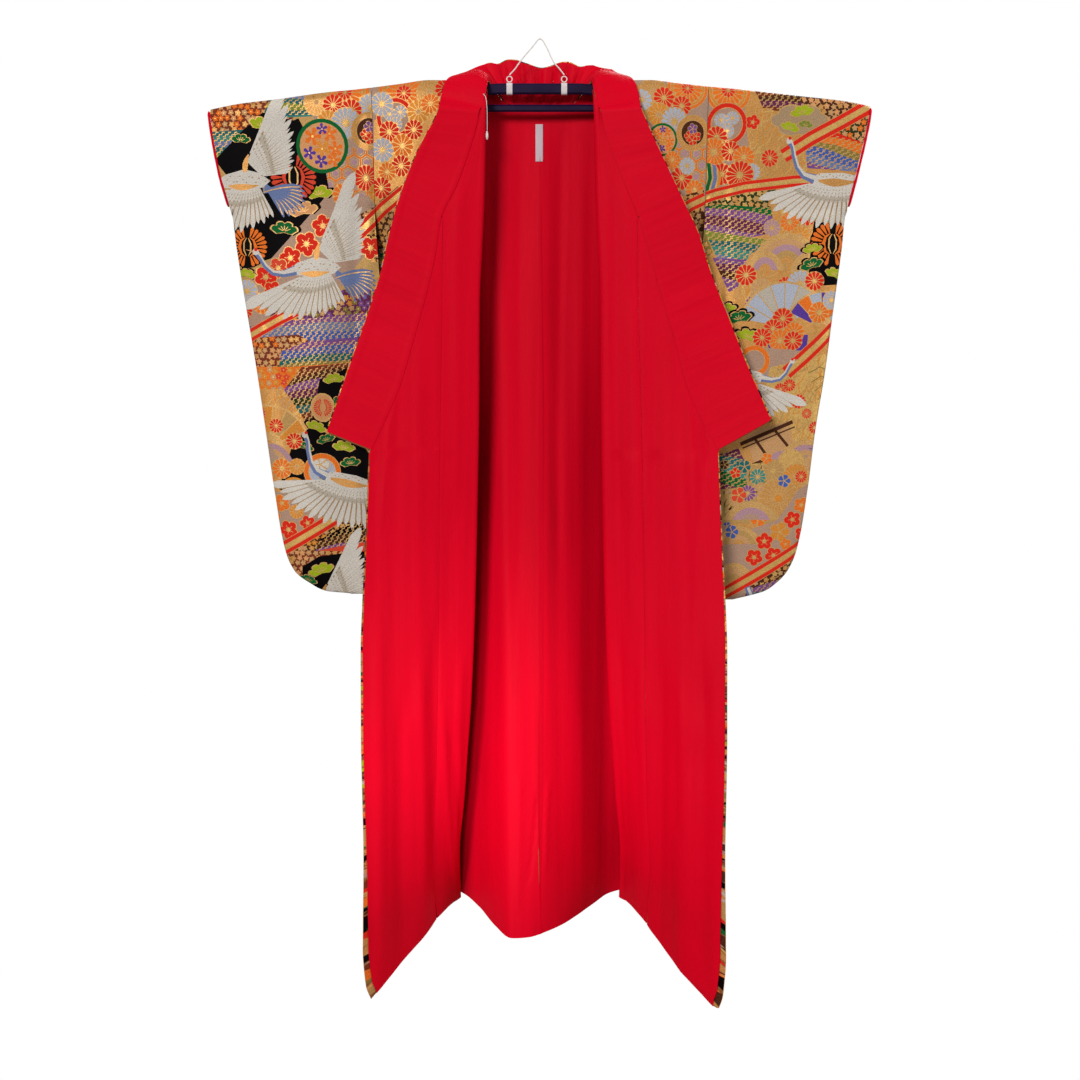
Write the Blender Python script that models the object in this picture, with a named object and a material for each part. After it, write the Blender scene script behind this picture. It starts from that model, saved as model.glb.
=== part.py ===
"""Uchikake wedding kimono hung open on its two-bar kimono hanger.

Metres, +Z up.  The origin is the hang point: the apex of the hanger's white cord.
+X is the viewer's right, and the garment's open front faces -Y.
Every cloth piece is a closed wall of its own, a small gap from its neighbours.
"""

import math

import bpy
import numpy as np

# ---------------------------------------------------------------- named sizes
OUTER_T = 0.0015            # brocade wall
LINING_T = 0.0010           # red silk lining wall
LAYER_GAP = 0.0003          # air between a wall and the next layer
SEAM_GAP = 0.0004           # air between two pieces along a seam
LINING_OFF = OUTER_T / 2 + LAYER_GAP + LINING_T / 2
EDGE_REVEAL = 0.005         # brocade left bare beside the lining at an edge

BODY_SIDE_X = 0.343         # sleeve seam on the shoulder
SLEEVE_IN_X = 0.3440
SLEEVE_OUT_X = 0.677
NECK_X = 0.107              # neck point on the shoulder
ARMHOLE_Z = -0.34
OKUMI_TOP_Z = -0.3552       # where the overlap panel's seam meets the collar
COLLAR_END_Z = -0.83
YOKE_Z = -0.42
HEM_Z = -1.95
TIP_Z = -1.971
FOLD_R = 0.008
SHOULDER_EASE = 0.008       # how fast the cloth leaves the shoulder ridge

# shoulder line, seen from the front: distance from centre, height of the ridge
SHOULDER = {
    -1: [(0.100, -0.0830), (0.225, -0.0815), (0.287, -0.0890), (0.336, -0.0950),
         (0.385, -0.1005), (0.435, -0.1050), (0.534, -0.1180), (0.620, -0.1280),
         (0.683, -0.1400)],
    1: [(0.100, -0.0830), (0.225, -0.0815), (0.287, -0.0880), (0.336, -0.0930),
        (0.385, -0.0972), (0.435, -0.1023), (0.534, -0.1127), (0.620, -0.1217),
        (0.683, -0.1330)],
}

# turned-back front: height, fold distance from centre, fold y
FOLD = [
    (-0.083, 0.1085, -0.010), (-0.120, 0.1095, -0.036), (-0.144, 0.1102, -0.045),
    (-0.221, 0.1120, -0.045), (-0.320, 0.1149, -0.048), (-0.420, 0.1205, -0.050),
    (-0.521, 0.1262, -0.052), (-0.729, 0.1293, -0.056), (-0.945, 0.1352, -0.060),
    (-1.168, 0.1427, -0.060), (-1.402, 0.1547, -0.055), (-1.528, 0.1650, -0.040),
    (-1.660, 0.1759, -0.020), (-1.796, 0.1896, 0.004), (-1.944, 0.1926, 0.058),
    (-1.975, 0.1926, 0.062),
]

# how steeply the turned-back front comes forward from its fold: height, dy/dx
FLAP_SLOPE = [
    (-0.150, -0.030), (-0.300, -0.048), (-0.500, -0.070), (-0.700, -0.110),
    (-0.830, -0.155), (-0.934, -0.205), (-1.040, -0.262), (-1.146, -0.322),
    (-1.252, -0.405), (-1.358, -0.496), (-1.464, -0.620), (-1.570, -0.817),
    (-1.673, -1.060), (-1.774, -1.370), (-1.873, -1.740), (-1.971, -2.360),
]

# front edge of the overlap panel below the collar: height, distance from centre
OKUMI_EDGE = [
    (-0.829, 0.3670), (-0.934, 0.3728), (-1.040, 0.3786), (-1.146, 0.3853),
    (-1.252, 0.3898), (-1.358, 0.3907), (-1.464, 0.3913), (-1.570, 0.3895),
    (-1.673, 0.3869), (-1.774, 0.3861), (-1.873, 0.3858), (-1.941, 0.3770),
    (-1.971, 0.3664),
]

# how far the turned-back hem rises above an even line: distance from centre, lift
HEM_LIFT = {
    -1: [(0.190, 0.0), (0.205, 0.005), (0.225, 0.0075), (0.280, 0.0035), (0.335, 0.0),
         (0.370, 0.0), (0.390, 0.004)],
    1: [(0.190, 0.0), (0.205, 0.008), (0.235, 0.0105), (0.262, 0.0), (0.290, -0.006),
        (0.325, -0.008), (0.355, -0.006), (0.375, -0.002), (0.390, 0.003)],
}

# seam between the front panel and the overlap panel: height, distance from centre
OKUMI_SEAM = [
    (-0.355, 0.1985), (-0.420, 0.2010), (-0.484, 0.2025), (-0.623, 0.2069),
    (-0.930, 0.2172), (-1.378, 0.2280), (-1.660, 0.2400), (-1.800, 0.2480),
    (-1.971, 0.2440),
]

# collar seam on the turned-back front: height, distance from centre, left and right
COLLAR_SEAM = {
    -1: [(-0.150, 0.1250), (-0.165, 0.1275), (-0.212, 0.1415), (-0.290, 0.1710),
         (-0.355, 0.2035), (-0.420, 0.2150), (-0.500, 0.2340), (-0.600, 0.2640),
         (-0.700, 0.2960), (-0.830, 0.3570)],
    1: [(-0.150, 0.1250), (-0.165, 0.1280), (-0.212, 0.1440), (-0.290, 0.1760),
        (-0.355, 0.2040), (-0.420, 0.2260), (-0.500, 0.2500), (-0.600, 0.2820),
        (-0.700, 0.3110), (-0.830, 0.3770)],
}

# free edge of the collar opposite each seam station: distance from centre, y, height
COLLAR_EDGE = {
    -1: [(0.2060, -0.040, -0.143), (0.2080, -0.041, -0.149), (0.2125, -0.043, -0.160),
         (0.2340, -0.049, -0.196), (0.2640, -0.053, -0.256), (0.2880, -0.057, -0.317),
         (0.3080, -0.060, -0.380), (0.3280, -0.066, -0.459), (0.3600, -0.071, -0.553),
         (0.3960, -0.081, -0.648), (0.4486, -0.100, -0.7914)],
    1: [(0.2050, -0.040, -0.143), (0.2080, -0.041, -0.149), (0.2130, -0.043, -0.160),
        (0.2310, -0.048, -0.198), (0.2615, -0.053, -0.258), (0.2910, -0.057, -0.317),
        (0.3230, -0.061, -0.380), (0.3505, -0.066, -0.458), (0.3910, -0.071, -0.553),
        (0.4315, -0.081, -0.649), (0.4853, -0.099, -0.7661)],
}

# collar over the shoulder, from neck point forward: seam point and free edge point
NECK_FRONT = [
    ((0.1070, 0.000, -0.0830), (0.1520, 0.033, -0.0640)),
    ((0.1080, -0.009, -0.0850), (0.1640, 0.027, -0.0680)),
    ((0.1090, -0.018, -0.0900), (0.1750, 0.018, -0.0725)),
    ((0.1100, -0.027, -0.0980), (0.1850, 0.006, -0.0770)),
    ((0.1120, -0.036, -0.1100), (0.1930, -0.010, -0.0860)),
    ((0.1150, -0.043, -0.1240), (0.1985, -0.024, -0.1010)),
    ((0.1190, -0.048, -0.1380), (0.2030, -0.034, -0.1220)),
]

# back neckline: distance from centre, y, height
NECK_BACK = [
    (0.1070, 0.000, -0.0830), (0.0790, 0.027, -0.1170), (0.0515, 0.033, -0.1310),
    (0.0257, 0.035, -0.1370), (0.0, 0.035, -0.1390),
]

# top edge of the gathered collar behind the neck: x, height
NAPE_TOP = [
    (-0.152, -0.0640), (-0.128, -0.0515), (-0.103, -0.0420), (-0.091, -0.0440),
    (-0.066, -0.0355), (-0.050, -0.0355), (-0.029, -0.0420), (-0.012, -0.0480),
    (0.008, -0.0510), (0.033, -0.0430), (0.058, -0.0390), (0.083, -0.0490),
    (0.107, -0.0470), (0.132, -0.0560), (0.152, -0.0600),
]

# back panel: height, y of the centre ridge, y of the valleys, y of the side
BACK = [
    (-0.083, 0.035, 0.026, 0.018), (-0.300, 0.032, 0.030, 0.018),
    (-0.340, 0.031, 0.031, 0.014), (-0.420, 0.026, 0.036, 0.003),
    (-0.700, 0.006, 0.048, 0.010), (-1.000, -0.020, 0.060, 0.022),
    (-1.400, -0.056, 0.078, 0.050), (-1.700, -0.086, 0.092, 0.082),
    (-1.975, -0.118, 0.100, 0.112),
]

# shape of the centre ridge across the back: x, share of its height
RIDGE = [
    (-0.205, 0.00), (-0.175, 0.14), (-0.143, 0.40), (-0.102, 0.78), (-0.064, 1.00),
    (-0.028, 0.99), (0.009, 0.89), (0.047, 0.77), (0.085, 0.57), (0.125, 0.34),
    (0.166, 0.09), (0.205, 0.00),
]

# side seam: height, distance from centre
SIDE = [
    (-0.083, 0.343), (-0.340, 0.343), (-0.420, 0.340), (-0.600, 0.335),
    (-1.000, 0.326), (-1.400, 0.320), (-1.975, 0.316),
]

# sleeve: height, outer edge (left, right), inner edge, middle y, half hollow
SLEEVE = [
    (-0.140, 0.6770, 0.6750, 0.3440, 0.000, 0.0180),
    (-0.180, 0.6735, 0.6700, 0.3440, 0.000, 0.0180),
    (-0.258, 0.6630, 0.6555, 0.3440, 0.000, 0.0180),
    (-0.338, 0.6455, 0.6400, 0.3440, 0.000, 0.0160),
    (-0.420, 0.6347, 0.6315, 0.3450, -0.014, 0.0120),
    (-0.543, 0.6179, 0.6178, 0.3300, -0.027, 0.0110),
    (-0.669, 0.6014, 0.6057, 0.3080, -0.034, 0.0110),
    (-0.797, 0.5874, 0.5896, 0.2860, -0.040, 0.0110),
    (-0.927, 0.5733, 0.5776, 0.2640, -0.046, 0.0110),
    (-1.060, 0.5548, 0.5588, 0.2450, -0.050, 0.0110),
    (-1.105, 0.5367, 0.5411, 0.2400, -0.050, 0.0110),
    (-1.133, 0.5027, 0.5170, 0.2360, -0.050, 0.0110),
    (-1.150, 0.4680, 0.4930, 0.2340, -0.050, 0.0110),
    (-1.156, 0.4150, 0.4750, 0.2330, -0.050, 0.0110),
    (-1.169, 0.4150, 0.4245, 0.2330, -0.050, 0.0110),
]
SLEEVE_BOTTOM = {-1: -1.156, 1: -1.169}
CUFF_Z = -0.338             # lower end of the wrist opening
CUFF_R = 0.0028             # red padded roll along the wrist opening

BAR_TOP = -0.0875
BAR_HEIGHT = 0.0213
BAR_DEPTH = 0.012
ARM_END_X = 0.600
LOWER_BAR = (0.185, -0.1285, 0.0145, 0.010)     # half length, top, height, depth
POST_X = 0.150
TAPE_X = (-0.0625, 0.0495)
TAPE_W = 0.012
RING_R = 0.0055
CORD_R = 0.0013
THREAD_R = 0.0007

COLOURS = {
    "brocade": (0.330, 0.130, 0.050),
    "lining": (0.620, 0.006, 0.022),
    "hanger": (0.012, 0.008, 0.022),
    "white": (0.720, 0.700, 0.690),
}


# ---------------------------------------------------------------- small helpers
def clear_scene():
    for obj in list(bpy.data.objects):
        bpy.data.objects.remove(obj, do_unlink=True)


def material(name, rough):
    found = bpy.data.materials.get(name)
    if found:
        return found
    made = bpy.data.materials.new(name)
    made.use_nodes = True
    shader = made.node_tree.nodes["Principled BSDF"]
    shader.inputs["Base Color"].default_value = (*COLOURS[name], 1.0)
    shader.inputs["Roughness"].default_value = rough
    made.diffuse_color = (*COLOURS[name], 1.0)
    return made


def at(table, key, column=1):
    """Value of one column of a table at a key, straight between its rows."""
    keys = np.array([row[0] for row in table])
    values = np.array([row[column] for row in table])
    if keys[0] > keys[-1]:
        keys, values = keys[::-1], values[::-1]
    return float(np.interp(key, keys, values))


def unit(vector):
    length = np.linalg.norm(vector)
    return vector / length if length > 1e-12 else vector


def mesh_object(name, points, faces, kind, rough=0.6):
    """One closed solid from points and faces, turned outward."""
    points = np.asarray(points, float)
    volume = 0.0
    for face in faces:
        for k in range(1, len(face) - 1):
            a, b, c = points[face[0]], points[face[k]], points[face[k + 1]]
            volume += float(np.dot(a, np.cross(b, c)))
    if volume < 0:
        faces = [tuple(reversed(face)) for face in faces]
    mesh = bpy.data.meshes.new(name)
    mesh.from_pydata([tuple(p) for p in points], [], [tuple(f) for f in faces])
    mesh.materials.append(material(kind, rough))
    mesh.validate()
    obj = bpy.data.objects.new(name, mesh)
    bpy.context.scene.collection.objects.link(obj)
    return obj


class Cloth:
    """A cloth surface: shared points and four-sided patches, facing its lining."""

    def __init__(self):
        self.points = []
        self.patches = []
        self.fixed = {}

    def add(self, point):
        self.points.append(np.asarray(point, float))
        return len(self.points) - 1

    def patch_grid(self, grid, flip=False):
        for i in range(len(grid) - 1):
            for j in range(len(grid[0]) - 1):
                quad = (grid[i][j], grid[i + 1][j], grid[i + 1][j + 1], grid[i][j + 1])
                turned = (quad[0], quad[3], quad[2], quad[1])
                self.patches.append(turned if flip else quad)

    def normals(self):
        found = np.zeros((len(self.points), 3))
        for quad in self.patches:
            a, b, c, d = (self.points[k] for k in quad)
            normal = np.cross(c - a, d - b)
            for k in quad:
                found[k] += normal
        for k, keep in self.fixed.items():
            found[k] = found[k] * keep
        return np.array([unit(n) for n in found])


def wall(name, points, normals, patches, thickness, offset, kind):
    """A closed wall of one thickness around a cloth surface."""
    used = sorted({k for quad in patches for k in quad})
    index = {k: n for n, k in enumerate(used)}
    count = len(used)
    low = [points[k] + normals[k] * (offset - thickness / 2) for k in used]
    high = [points[k] + normals[k] * (offset + thickness / 2) for k in used]
    faces = []
    edges = {}
    for quad in patches:
        ring = [index[k] for k in quad]
        a, b, c, d = ring
        faces.append((a + count, b + count, c + count))
        faces.append((a + count, c + count, d + count))
        faces.append((c, b, a))
        faces.append((d, c, a))
        for a, b in zip(ring, ring[1:] + ring[:1]):
            if (b, a) in edges:
                del edges[(b, a)]
            else:
                edges[(a, b)] = True
    for a, b in edges:
        faces.append((a, b, b + count, a + count))
    return mesh_object(name, low + high, faces, kind)


def grid_patches(grid, keep=None):
    """Patches of a grid, or of the rows and columns of it that are kept."""
    patches = []
    for i in range(len(grid) - 1):
        for j in range(len(grid[0]) - 1):
            if keep is None or keep(i, j):
                patches.append(
                    (grid[i][j], grid[i + 1][j], grid[i + 1][j + 1], grid[i][j + 1]))
    return patches


def tube(name, path, radius, kind, sides=6, closed=False, start_r=None, end_r=None):
    """A round tube along a path, its ends capped unless it is a ring."""
    path = [np.asarray(p, float) for p in path]
    count = len(path)
    points, faces = [], []
    side = None
    for k, here in enumerate(path):
        if closed:
            along = unit(path[(k + 1) % count] - path[k - 1])
        else:
            along = unit(path[min(k + 1, count - 1)] - path[max(k - 1, 0)])
        if side is None:
            helper = np.array([0.0, 1.0, 0.0])
            if abs(along[1]) > 0.9:
                helper = np.array([1.0, 0.0, 0.0])
            side = unit(np.cross(along, helper))
        else:
            side = unit(side - along * np.dot(side, along))
        other = np.cross(along, side)
        reach = radius
        if start_r is not None and k == 0:
            reach = start_r
        if end_r is not None and k == count - 1:
            reach = end_r
        for n in range(sides):
            turn = 2 * math.pi * n / sides
            points.append(here + reach * (math.cos(turn) * side + math.sin(turn) * other))
    rings = count if closed else count - 1
    for k in range(rings):
        after = (k + 1) % count
        for n in range(sides):
            m = (n + 1) % sides
            faces.append((k * sides + n, k * sides + m, after * sides + m, after * sides + n))
    if not closed:
        faces.append(tuple(reversed(range(sides))))
        faces.append(tuple(range((count - 1) * sides, count * sides)))
    return mesh_object(name, points, faces, kind, 0.5)


def sections(name, rings, kind, rough=0.35):
    """A solid lofted through equal closed rings, with flat ends."""
    sides = len(rings[0])
    points = [p for ring in rings for p in ring]
    faces = []
    for k in range(len(rings) - 1):
        for n in range(sides):
            m = (n + 1) % sides
            faces.append((k * sides + n, k * sides + m, (k + 1) * sides + m, (k + 1) * sides + n))
    faces.append(tuple(reversed(range(sides))))
    faces.append(tuple(range((len(rings) - 1) * sides, len(rings) * sides)))
    return mesh_object(name, points, faces, kind, rough)


# ---------------------------------------------------------------- body surfaces
YOKE_SHARES = [0.0, 0.015, 0.055, 0.23, 0.52, 0.76, 1.0]
LOWER_ROWS = [-0.50, -0.60, -0.70, -0.83, -0.96, -1.10, -1.25, -1.40, -1.55, -1.70, -1.83]
ROWS = len(YOKE_SHARES) + len(LOWER_ROWS) + 2
HEM_FACING = 0.005          # the lining stops this far above the hem
BACK_SHARES = [0.0, 0.03, 0.13, 0.24, 0.355, 0.47, 0.58, 0.688, 0.77, 0.85, 0.925, 1.0]
SIDE_COLS = 7
ARC_COLS = 4
FLAP_COLS = 3


def row_height(row, top, hem):
    """Height of a row of a column that starts at its own top and ends at its own hem."""
    if row < len(YOKE_SHARES):
        return top + (YOKE_Z - top) * YOKE_SHARES[row]
    if row < ROWS - 2:
        return LOWER_ROWS[row - len(YOKE_SHARES)]
    return hem + (HEM_FACING if row == ROWS - 2 else 0.0)


def back_y(x, z):
    ridge, valley, side = (at(BACK, z, k) for k in (1, 2, 3))
    edge = at(SIDE, z)
    rest = valley
    if abs(x) > 0.2:
        share = (abs(x) - 0.2) / (edge - 0.2)
        rest = valley + (side + 0.00095 - valley) * share ** 1.5
    return rest + (ridge - valley) * at(RIDGE, x)


def side_front(z):
    """Side edge of the front panel in plan."""
    if z > ARMHOLE_Z:
        return at(SIDE, z), -at(BACK, z, 3)
    armhole = -at(BACK, ARMHOLE_Z, 3)
    seam = at(BACK, z, 3) - 0.00095
    share = min(1.0, (ARMHOLE_Z - z) / (ARMHOLE_Z - YOKE_Z))
    return at(SIDE, z), armhole + (seam - armhole) * share


def fold_plan(z):
    """Peg that the front cloth turns round, and the way it leaves, at one height."""
    centre = np.array([at(FOLD, z, 1) + FOLD_R + LINING_OFF, at(FOLD, z, 2)])
    leave = math.atan(at(FLAP_SLOPE, z))
    side = np.array(side_front(z))
    gap = side - centre
    come = math.atan2(gap[1], gap[0]) - math.asin(FOLD_R / np.linalg.norm(gap))
    return centre, leave, come, side


def flap_point(x, z, shift=0.0):
    """Point of the turned-back front at a distance x from the centre."""
    centre, leave, _, _ = fold_plan(z)
    turn = leave + 1.5 * math.pi
    start = centre + FOLD_R * np.array([math.cos(turn), math.sin(turn)])
    reach = max(x - start[0], 0.0)
    belly = 0.006 * math.sin(math.pi * min(reach / 0.25, 1.0))
    return np.array([x, start[1] + math.tan(leave) * reach - belly + shift, z])


def front_boundary(hand, z):
    """Where the front panel ends on the turned-back part: collar seam, then overlap seam."""
    collar = at(COLLAR_SEAM[hand], z)
    if z > OKUMI_TOP_Z + 0.002:
        return collar - SEAM_GAP
    return min(collar - SEAM_GAP, at(OKUMI_SEAM, z)) + 0.004 * hand * smooth_low(z)


def smooth_low(z):
    return min(1.0, max(0.0, (-0.5 - z) / 0.8))


def front_plan(hand, z, column):
    """Plan point of one column of the front panel: side, round the fold, onto the flap."""
    centre, leave, come, side = fold_plan(z)
    first = come + 0.5 * math.pi
    last = leave + 1.5 * math.pi
    if column <= SIDE_COLS:
        start = centre + FOLD_R * np.array([math.cos(first), math.sin(first)])
        return side + (start - side) * (BACK_SHARES[column] / BACK_SHARES[SIDE_COLS])
    if column <= SIDE_COLS + ARC_COLS:
        turn = first + (last - first) * (column - SIDE_COLS) / ARC_COLS
        return centre + FOLD_R * np.array([math.cos(turn), math.sin(turn)])
    start = centre + FOLD_R * np.array([math.cos(last), math.sin(last)])
    share = (column - SIDE_COLS - ARC_COLS) / FLAP_COLS
    x = start[0] + (max(front_boundary(hand, z), start[0] + 0.004) - start[0]) * share
    return flap_point(x, z)[:2]


def hem_height(x, y):
    """The hem dips where the cloth swings forward, in an uneven line."""
    dip = (TIP_Z - HEM_Z) * min(1.0, max(0.0, -y / 0.34))
    forward = min(1.0, max(0.0, (0.055 - y) / 0.03))
    return HEM_Z + dip + forward * at(HEM_LIFT[1 if x > 0 else -1], abs(x))


def build_body(hand, tag):
    """Body of one side: the back, and the front from the shoulder round its fold and out."""
    cloth = Cloth()
    front_cols = SIDE_COLS + ARC_COLS + FLAP_COLS
    front = [[None] * (front_cols + 1) for _ in range(ROWS)]
    tops = []
    for column in range(front_cols + 1):
        if column <= SIDE_COLS:
            x = BODY_SIDE_X - BACK_SHARES[column] * BODY_SIDE_X
            tops.append(np.array([x, 0.0, at(SHOULDER[hand], x)]))
        else:
            tops.append(np.array(NECK_FRONT[min(column - SIDE_COLS, 6)][0]))
    neck_end = np.array([*front_plan(hand, -0.150, front_cols), -0.150])
    tops[-1] = neck_end
    for column in range(front_cols + 1):
        top = tops[column]
        plan_top = front_plan(hand, top[2], column)
        slip = top[:2] - plan_top
        for row in range(ROWS):
            low = front_plan(hand, HEM_Z, column)
            hem = hem_height(hand * low[0], low[1])
            z = row_height(row, top[2], hem)
            drop = top[2] - z
            ease = SHOULDER_EASE if column <= SIDE_COLS else 0.03
            fade = math.exp(-drop / ease)
            wide = math.exp(-drop / 0.08)
            plan = front_plan(hand, z, column)
            x = plan[0] + slip[0] * wide
            y = plan[1] + slip[1] * fade
            front[row][column] = cloth.add((hand * x, y, z))
    back = [[None] * len(BACK_SHARES) for _ in range(ROWS)]
    neck = {0.107: 0}
    for column, share in enumerate(BACK_SHARES):
        if column <= SIDE_COLS:
            top = tops[column]
        else:
            top = np.array(NECK_BACK[column - SIDE_COLS])
        for row in range(ROWS):
            if row == 0 and column <= SIDE_COLS:
                back[0][column] = front[0][column]
                continue
            x_low = at(SIDE, row_height(row, top[2], HEM_Z)) * (1 - share)
            x_here = max(x_low, SEAM_GAP / 2) * hand
            hem = hem_height(x_here, back_y(x_here, HEM_Z))
            z = row_height(row, top[2], hem)
            drop = top[2] - z
            x = top[0] + (x_low - top[0]) * (1 - math.exp(-drop / 0.08))
            x = max(x, SEAM_GAP / 2)
            y = back_y(hand * x, z)
            y += (top[1] - back_y(hand * top[0], top[2])) * math.exp(-drop / SHOULDER_EASE)
            key = cloth.add((hand * x, y, z))
            back[row][column] = key
            if column == len(BACK_SHARES) - 1:
                cloth.fixed[key] = np.array([0.0, 1.0, 1.0])
    cloth.patch_grid(front, flip=hand < 0)
    cut = len(cloth.patches)
    cloth.patch_grid(back, flip=hand > 0)
    normals = cloth.normals()
    # Two walls that meet along the top of the shoulder, one seam gap apart.
    for word, patches, shift in (("front", cloth.patches[:cut], 0.0),
                                 ("back", cloth.patches[cut:], SEAM_GAP)):
        points = [p.copy() for p in cloth.points]
        for key in front[0][:SIDE_COLS]:
            points[key][1] += shift
        points[front[0][SIDE_COLS]][1] += -0.0002 + shift / 2
        wall(f"body_{word}_{tag}", points, normals, patches, OUTER_T, 0.0, "brocade")

    # Lining of the back, from under the shoulder and the neckline to the hem.
    patches = grid_patches(
        back, lambda i, j: 1 <= j and i < ROWS - 2 and (i > 0 or j > SIDE_COLS))
    wall(f"back_lining_{tag}", cloth.points, normals, patches, LINING_T, LINING_OFF, "lining")

    # Lining of the front, from just behind the fold to the seam.
    patches = grid_patches(
        front, lambda i, j: j >= SIDE_COLS - 1 and i < ROWS - 2 and (i > 1 or j > SIDE_COLS + 5))
    wall(f"front_lining_{tag}", cloth.points, normals, patches, LINING_T, LINING_OFF, "lining")
    return cloth, front, back


OKUMI_SHARES = [0.0, 0.33, 0.66, 0.965, 1.0]
OKUMI_ROWS = [OKUMI_TOP_Z, YOKE_Z] + LOWER_ROWS + [HEM_Z + HEM_FACING, HEM_Z]
EDGE_SHIFT = {-1: -0.0075, 1: 0.0085}


def okumi_edge(hand, z):
    if z >= COLLAR_END_Z:
        return at(COLLAR_SEAM[hand], z) - SEAM_GAP
    return at(OKUMI_EDGE, z) + EDGE_SHIFT[hand]


def build_okumi(hand, tag):
    """Overlap panel: from its seam on the flap out to the collar seam and the front edge."""
    cloth = Cloth()
    grid = []
    for z in OKUMI_ROWS:
        start = front_boundary(hand, z) + SEAM_GAP
        end = okumi_edge(hand, z)
        end = max(end, start + 0.004)
        row = []
        for share in OKUMI_SHARES:
            x = start + (end - start) * share
            point = flap_point(x, z)
            if z < HEM_Z + 2 * HEM_FACING:
                point[2] = hem_height(hand * x, point[1]) + z - HEM_Z
                point[:2] = flap_point(x, point[2])[:2]
            row.append(cloth.add((hand * point[0], point[1], point[2])))
        grid.append(row)
    cloth.patch_grid(grid, flip=hand < 0)
    normals = cloth.normals()
    wall(f"okumi_{tag}", cloth.points, normals, cloth.patches, OUTER_T, 0.0, "brocade")
    last = len(OKUMI_SHARES) - 2
    patches = grid_patches(grid, lambda i, j: i < len(grid) - 2 and j < last)
    wall(f"okumi_lining_{tag}", cloth.points, normals, patches, LINING_T, LINING_OFF, "lining")
    return cloth, grid


# ---------------------------------------------------------------- collar
NAPE_STEPS = 28
GATHERS = 9                 # soft ruches across the nape
GATHER_DEPTH = 0.0035
COLLAR_SHARES = [0.0, 0.32, 0.64, 0.95, 1.0]


def neck_back_point(x):
    """Point of the back neckline at x, on the straight runs between its stations."""
    rows = NECK_BACK[::-1]
    key = [r[0] for r in rows]
    y = np.interp(abs(x), key, [r[1] for r in rows])
    z = np.interp(abs(x), key, [r[2] for r in rows])
    return np.array([x, y, z])


def collar_stations():
    """Seam point and free edge point of each collar section, left end to right end."""
    stations = []
    side_rows = {}
    for hand in (-1, 1):
        rows = []
        heights = [-0.150 + (YOKE_Z + 0.150) * s for s in YOKE_SHARES]
        heights += [z for z in LOWER_ROWS if z >= COLLAR_END_Z]
        for z, edge in zip(heights, COLLAR_EDGE[hand]):
            x = at(COLLAR_SEAM[hand], z)
            seam = flap_point(x, z)
            free = flap_point(edge[0], edge[2])
            rows.append((seam * [hand, 1, 1], free * [hand, 1, 1]))
        for share in range(6, -1, -1):
            seam, free = NECK_FRONT[share]
            seam = np.array(seam) * [hand, 1, 1]
            free = np.array(free) * [hand, 1, 1]
            rows.insert(0, (seam, free))
        side_rows[hand] = rows[::-1]
    stations += side_rows[-1]
    neck = stations.pop()
    nape = []
    for step in range(NAPE_STEPS + 1):
        share = step / NAPE_STEPS
        x = -NECK_X + 2 * NECK_X * share
        seam = neck_back_point(x)
        top_x = -0.152 + 0.304 * share
        top = np.array([top_x, 0.040 + 0.004 * math.cos(math.pi * (share - 0.5)), 0.0])
        top[1] -= 0.009 * abs(2 * share - 1) ** 3
        top[2] = at(NAPE_TOP, top_x)
        bump = GATHER_DEPTH * math.sin(2 * math.pi * GATHERS * share + 1.2 * math.sin(9 * share))
        top[1] += bump * math.sin(math.pi * share)
        nape.append((seam, top, bump * math.sin(math.pi * share)))
    stations += nape
    tail = side_rows[1][::-1]
    tail.pop(0)
    stations += tail
    return [(s[0], s[1], s[2] if len(s) > 2 else 0.0) for s in stations]


def neck_turn(seam):
    """How much the collar stands up before it folds outward: most at the neck point."""
    ahead = min(1.0, max(0.0, (seam[1] + 0.050) / 0.025))
    return min(1.0, max(0.0, (abs(seam[0]) - 0.060) / 0.030)) * ahead


def blend_station(first, second, share):
    return tuple(a + (b - a) * share for a, b in zip(first, second))


def build_collar():
    """One long band: flap, over the shoulder, gathered behind the neck, and down again."""
    cloth = Cloth()
    grid = []
    stations = collar_stations()
    ends = [stations[0], stations[-1]]
    stations.insert(1, blend_station(ends[0], stations[1], 0.05))
    stations.insert(-1, blend_station(ends[1], stations[-2], 0.05))
    for seam, free, bump in stations:
        turn = neck_turn(seam)
        start = seam + unit(free - seam) * SEAM_GAP * 1.5
        start += turn * np.array([0.0, -0.0004, 0.0020])
        row = []
        for share in COLLAR_SHARES:
            point = start + (free - start) * share
            point[1] += bump * math.sin(math.pi * share)
            stand = turn * math.sin(math.pi * share ** 0.6)
            point += stand * np.array([0.0, -0.004, 0.011])
            row.append(cloth.add(point))
        grid.append(row)
    cloth.patch_grid(grid)
    normals = cloth.normals()
    middle = normals[grid[len(grid) // 2][1]]
    if middle[1] > 0:
        normals = -normals
    wall("collar", cloth.points, normals, cloth.patches, OUTER_T, 0.0, "brocade")
    last = len(COLLAR_SHARES) - 2
    patches = grid_patches(grid, lambda i, j: 0 < i < len(grid) - 2 and j < last)
    lift = LINING_OFF + LAYER_GAP
    wall("collar_lining", cloth.points, normals, patches, LINING_T, lift, "lining")
    return cloth, grid, normals


# ---------------------------------------------------------------- sleeves
SLEEVE_SHARES = [0.0, 0.25, 0.5, 0.75, 0.94, 1.0]
SLEEVE_SWELL = [1.0, 1.0, 1.0, 1.0, 0.75, 0.0]
SLEEVE_ROWS = [-0.44, -0.56, -0.70, -0.85, -1.00, -1.06, -1.105, -1.133, -1.150]


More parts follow.
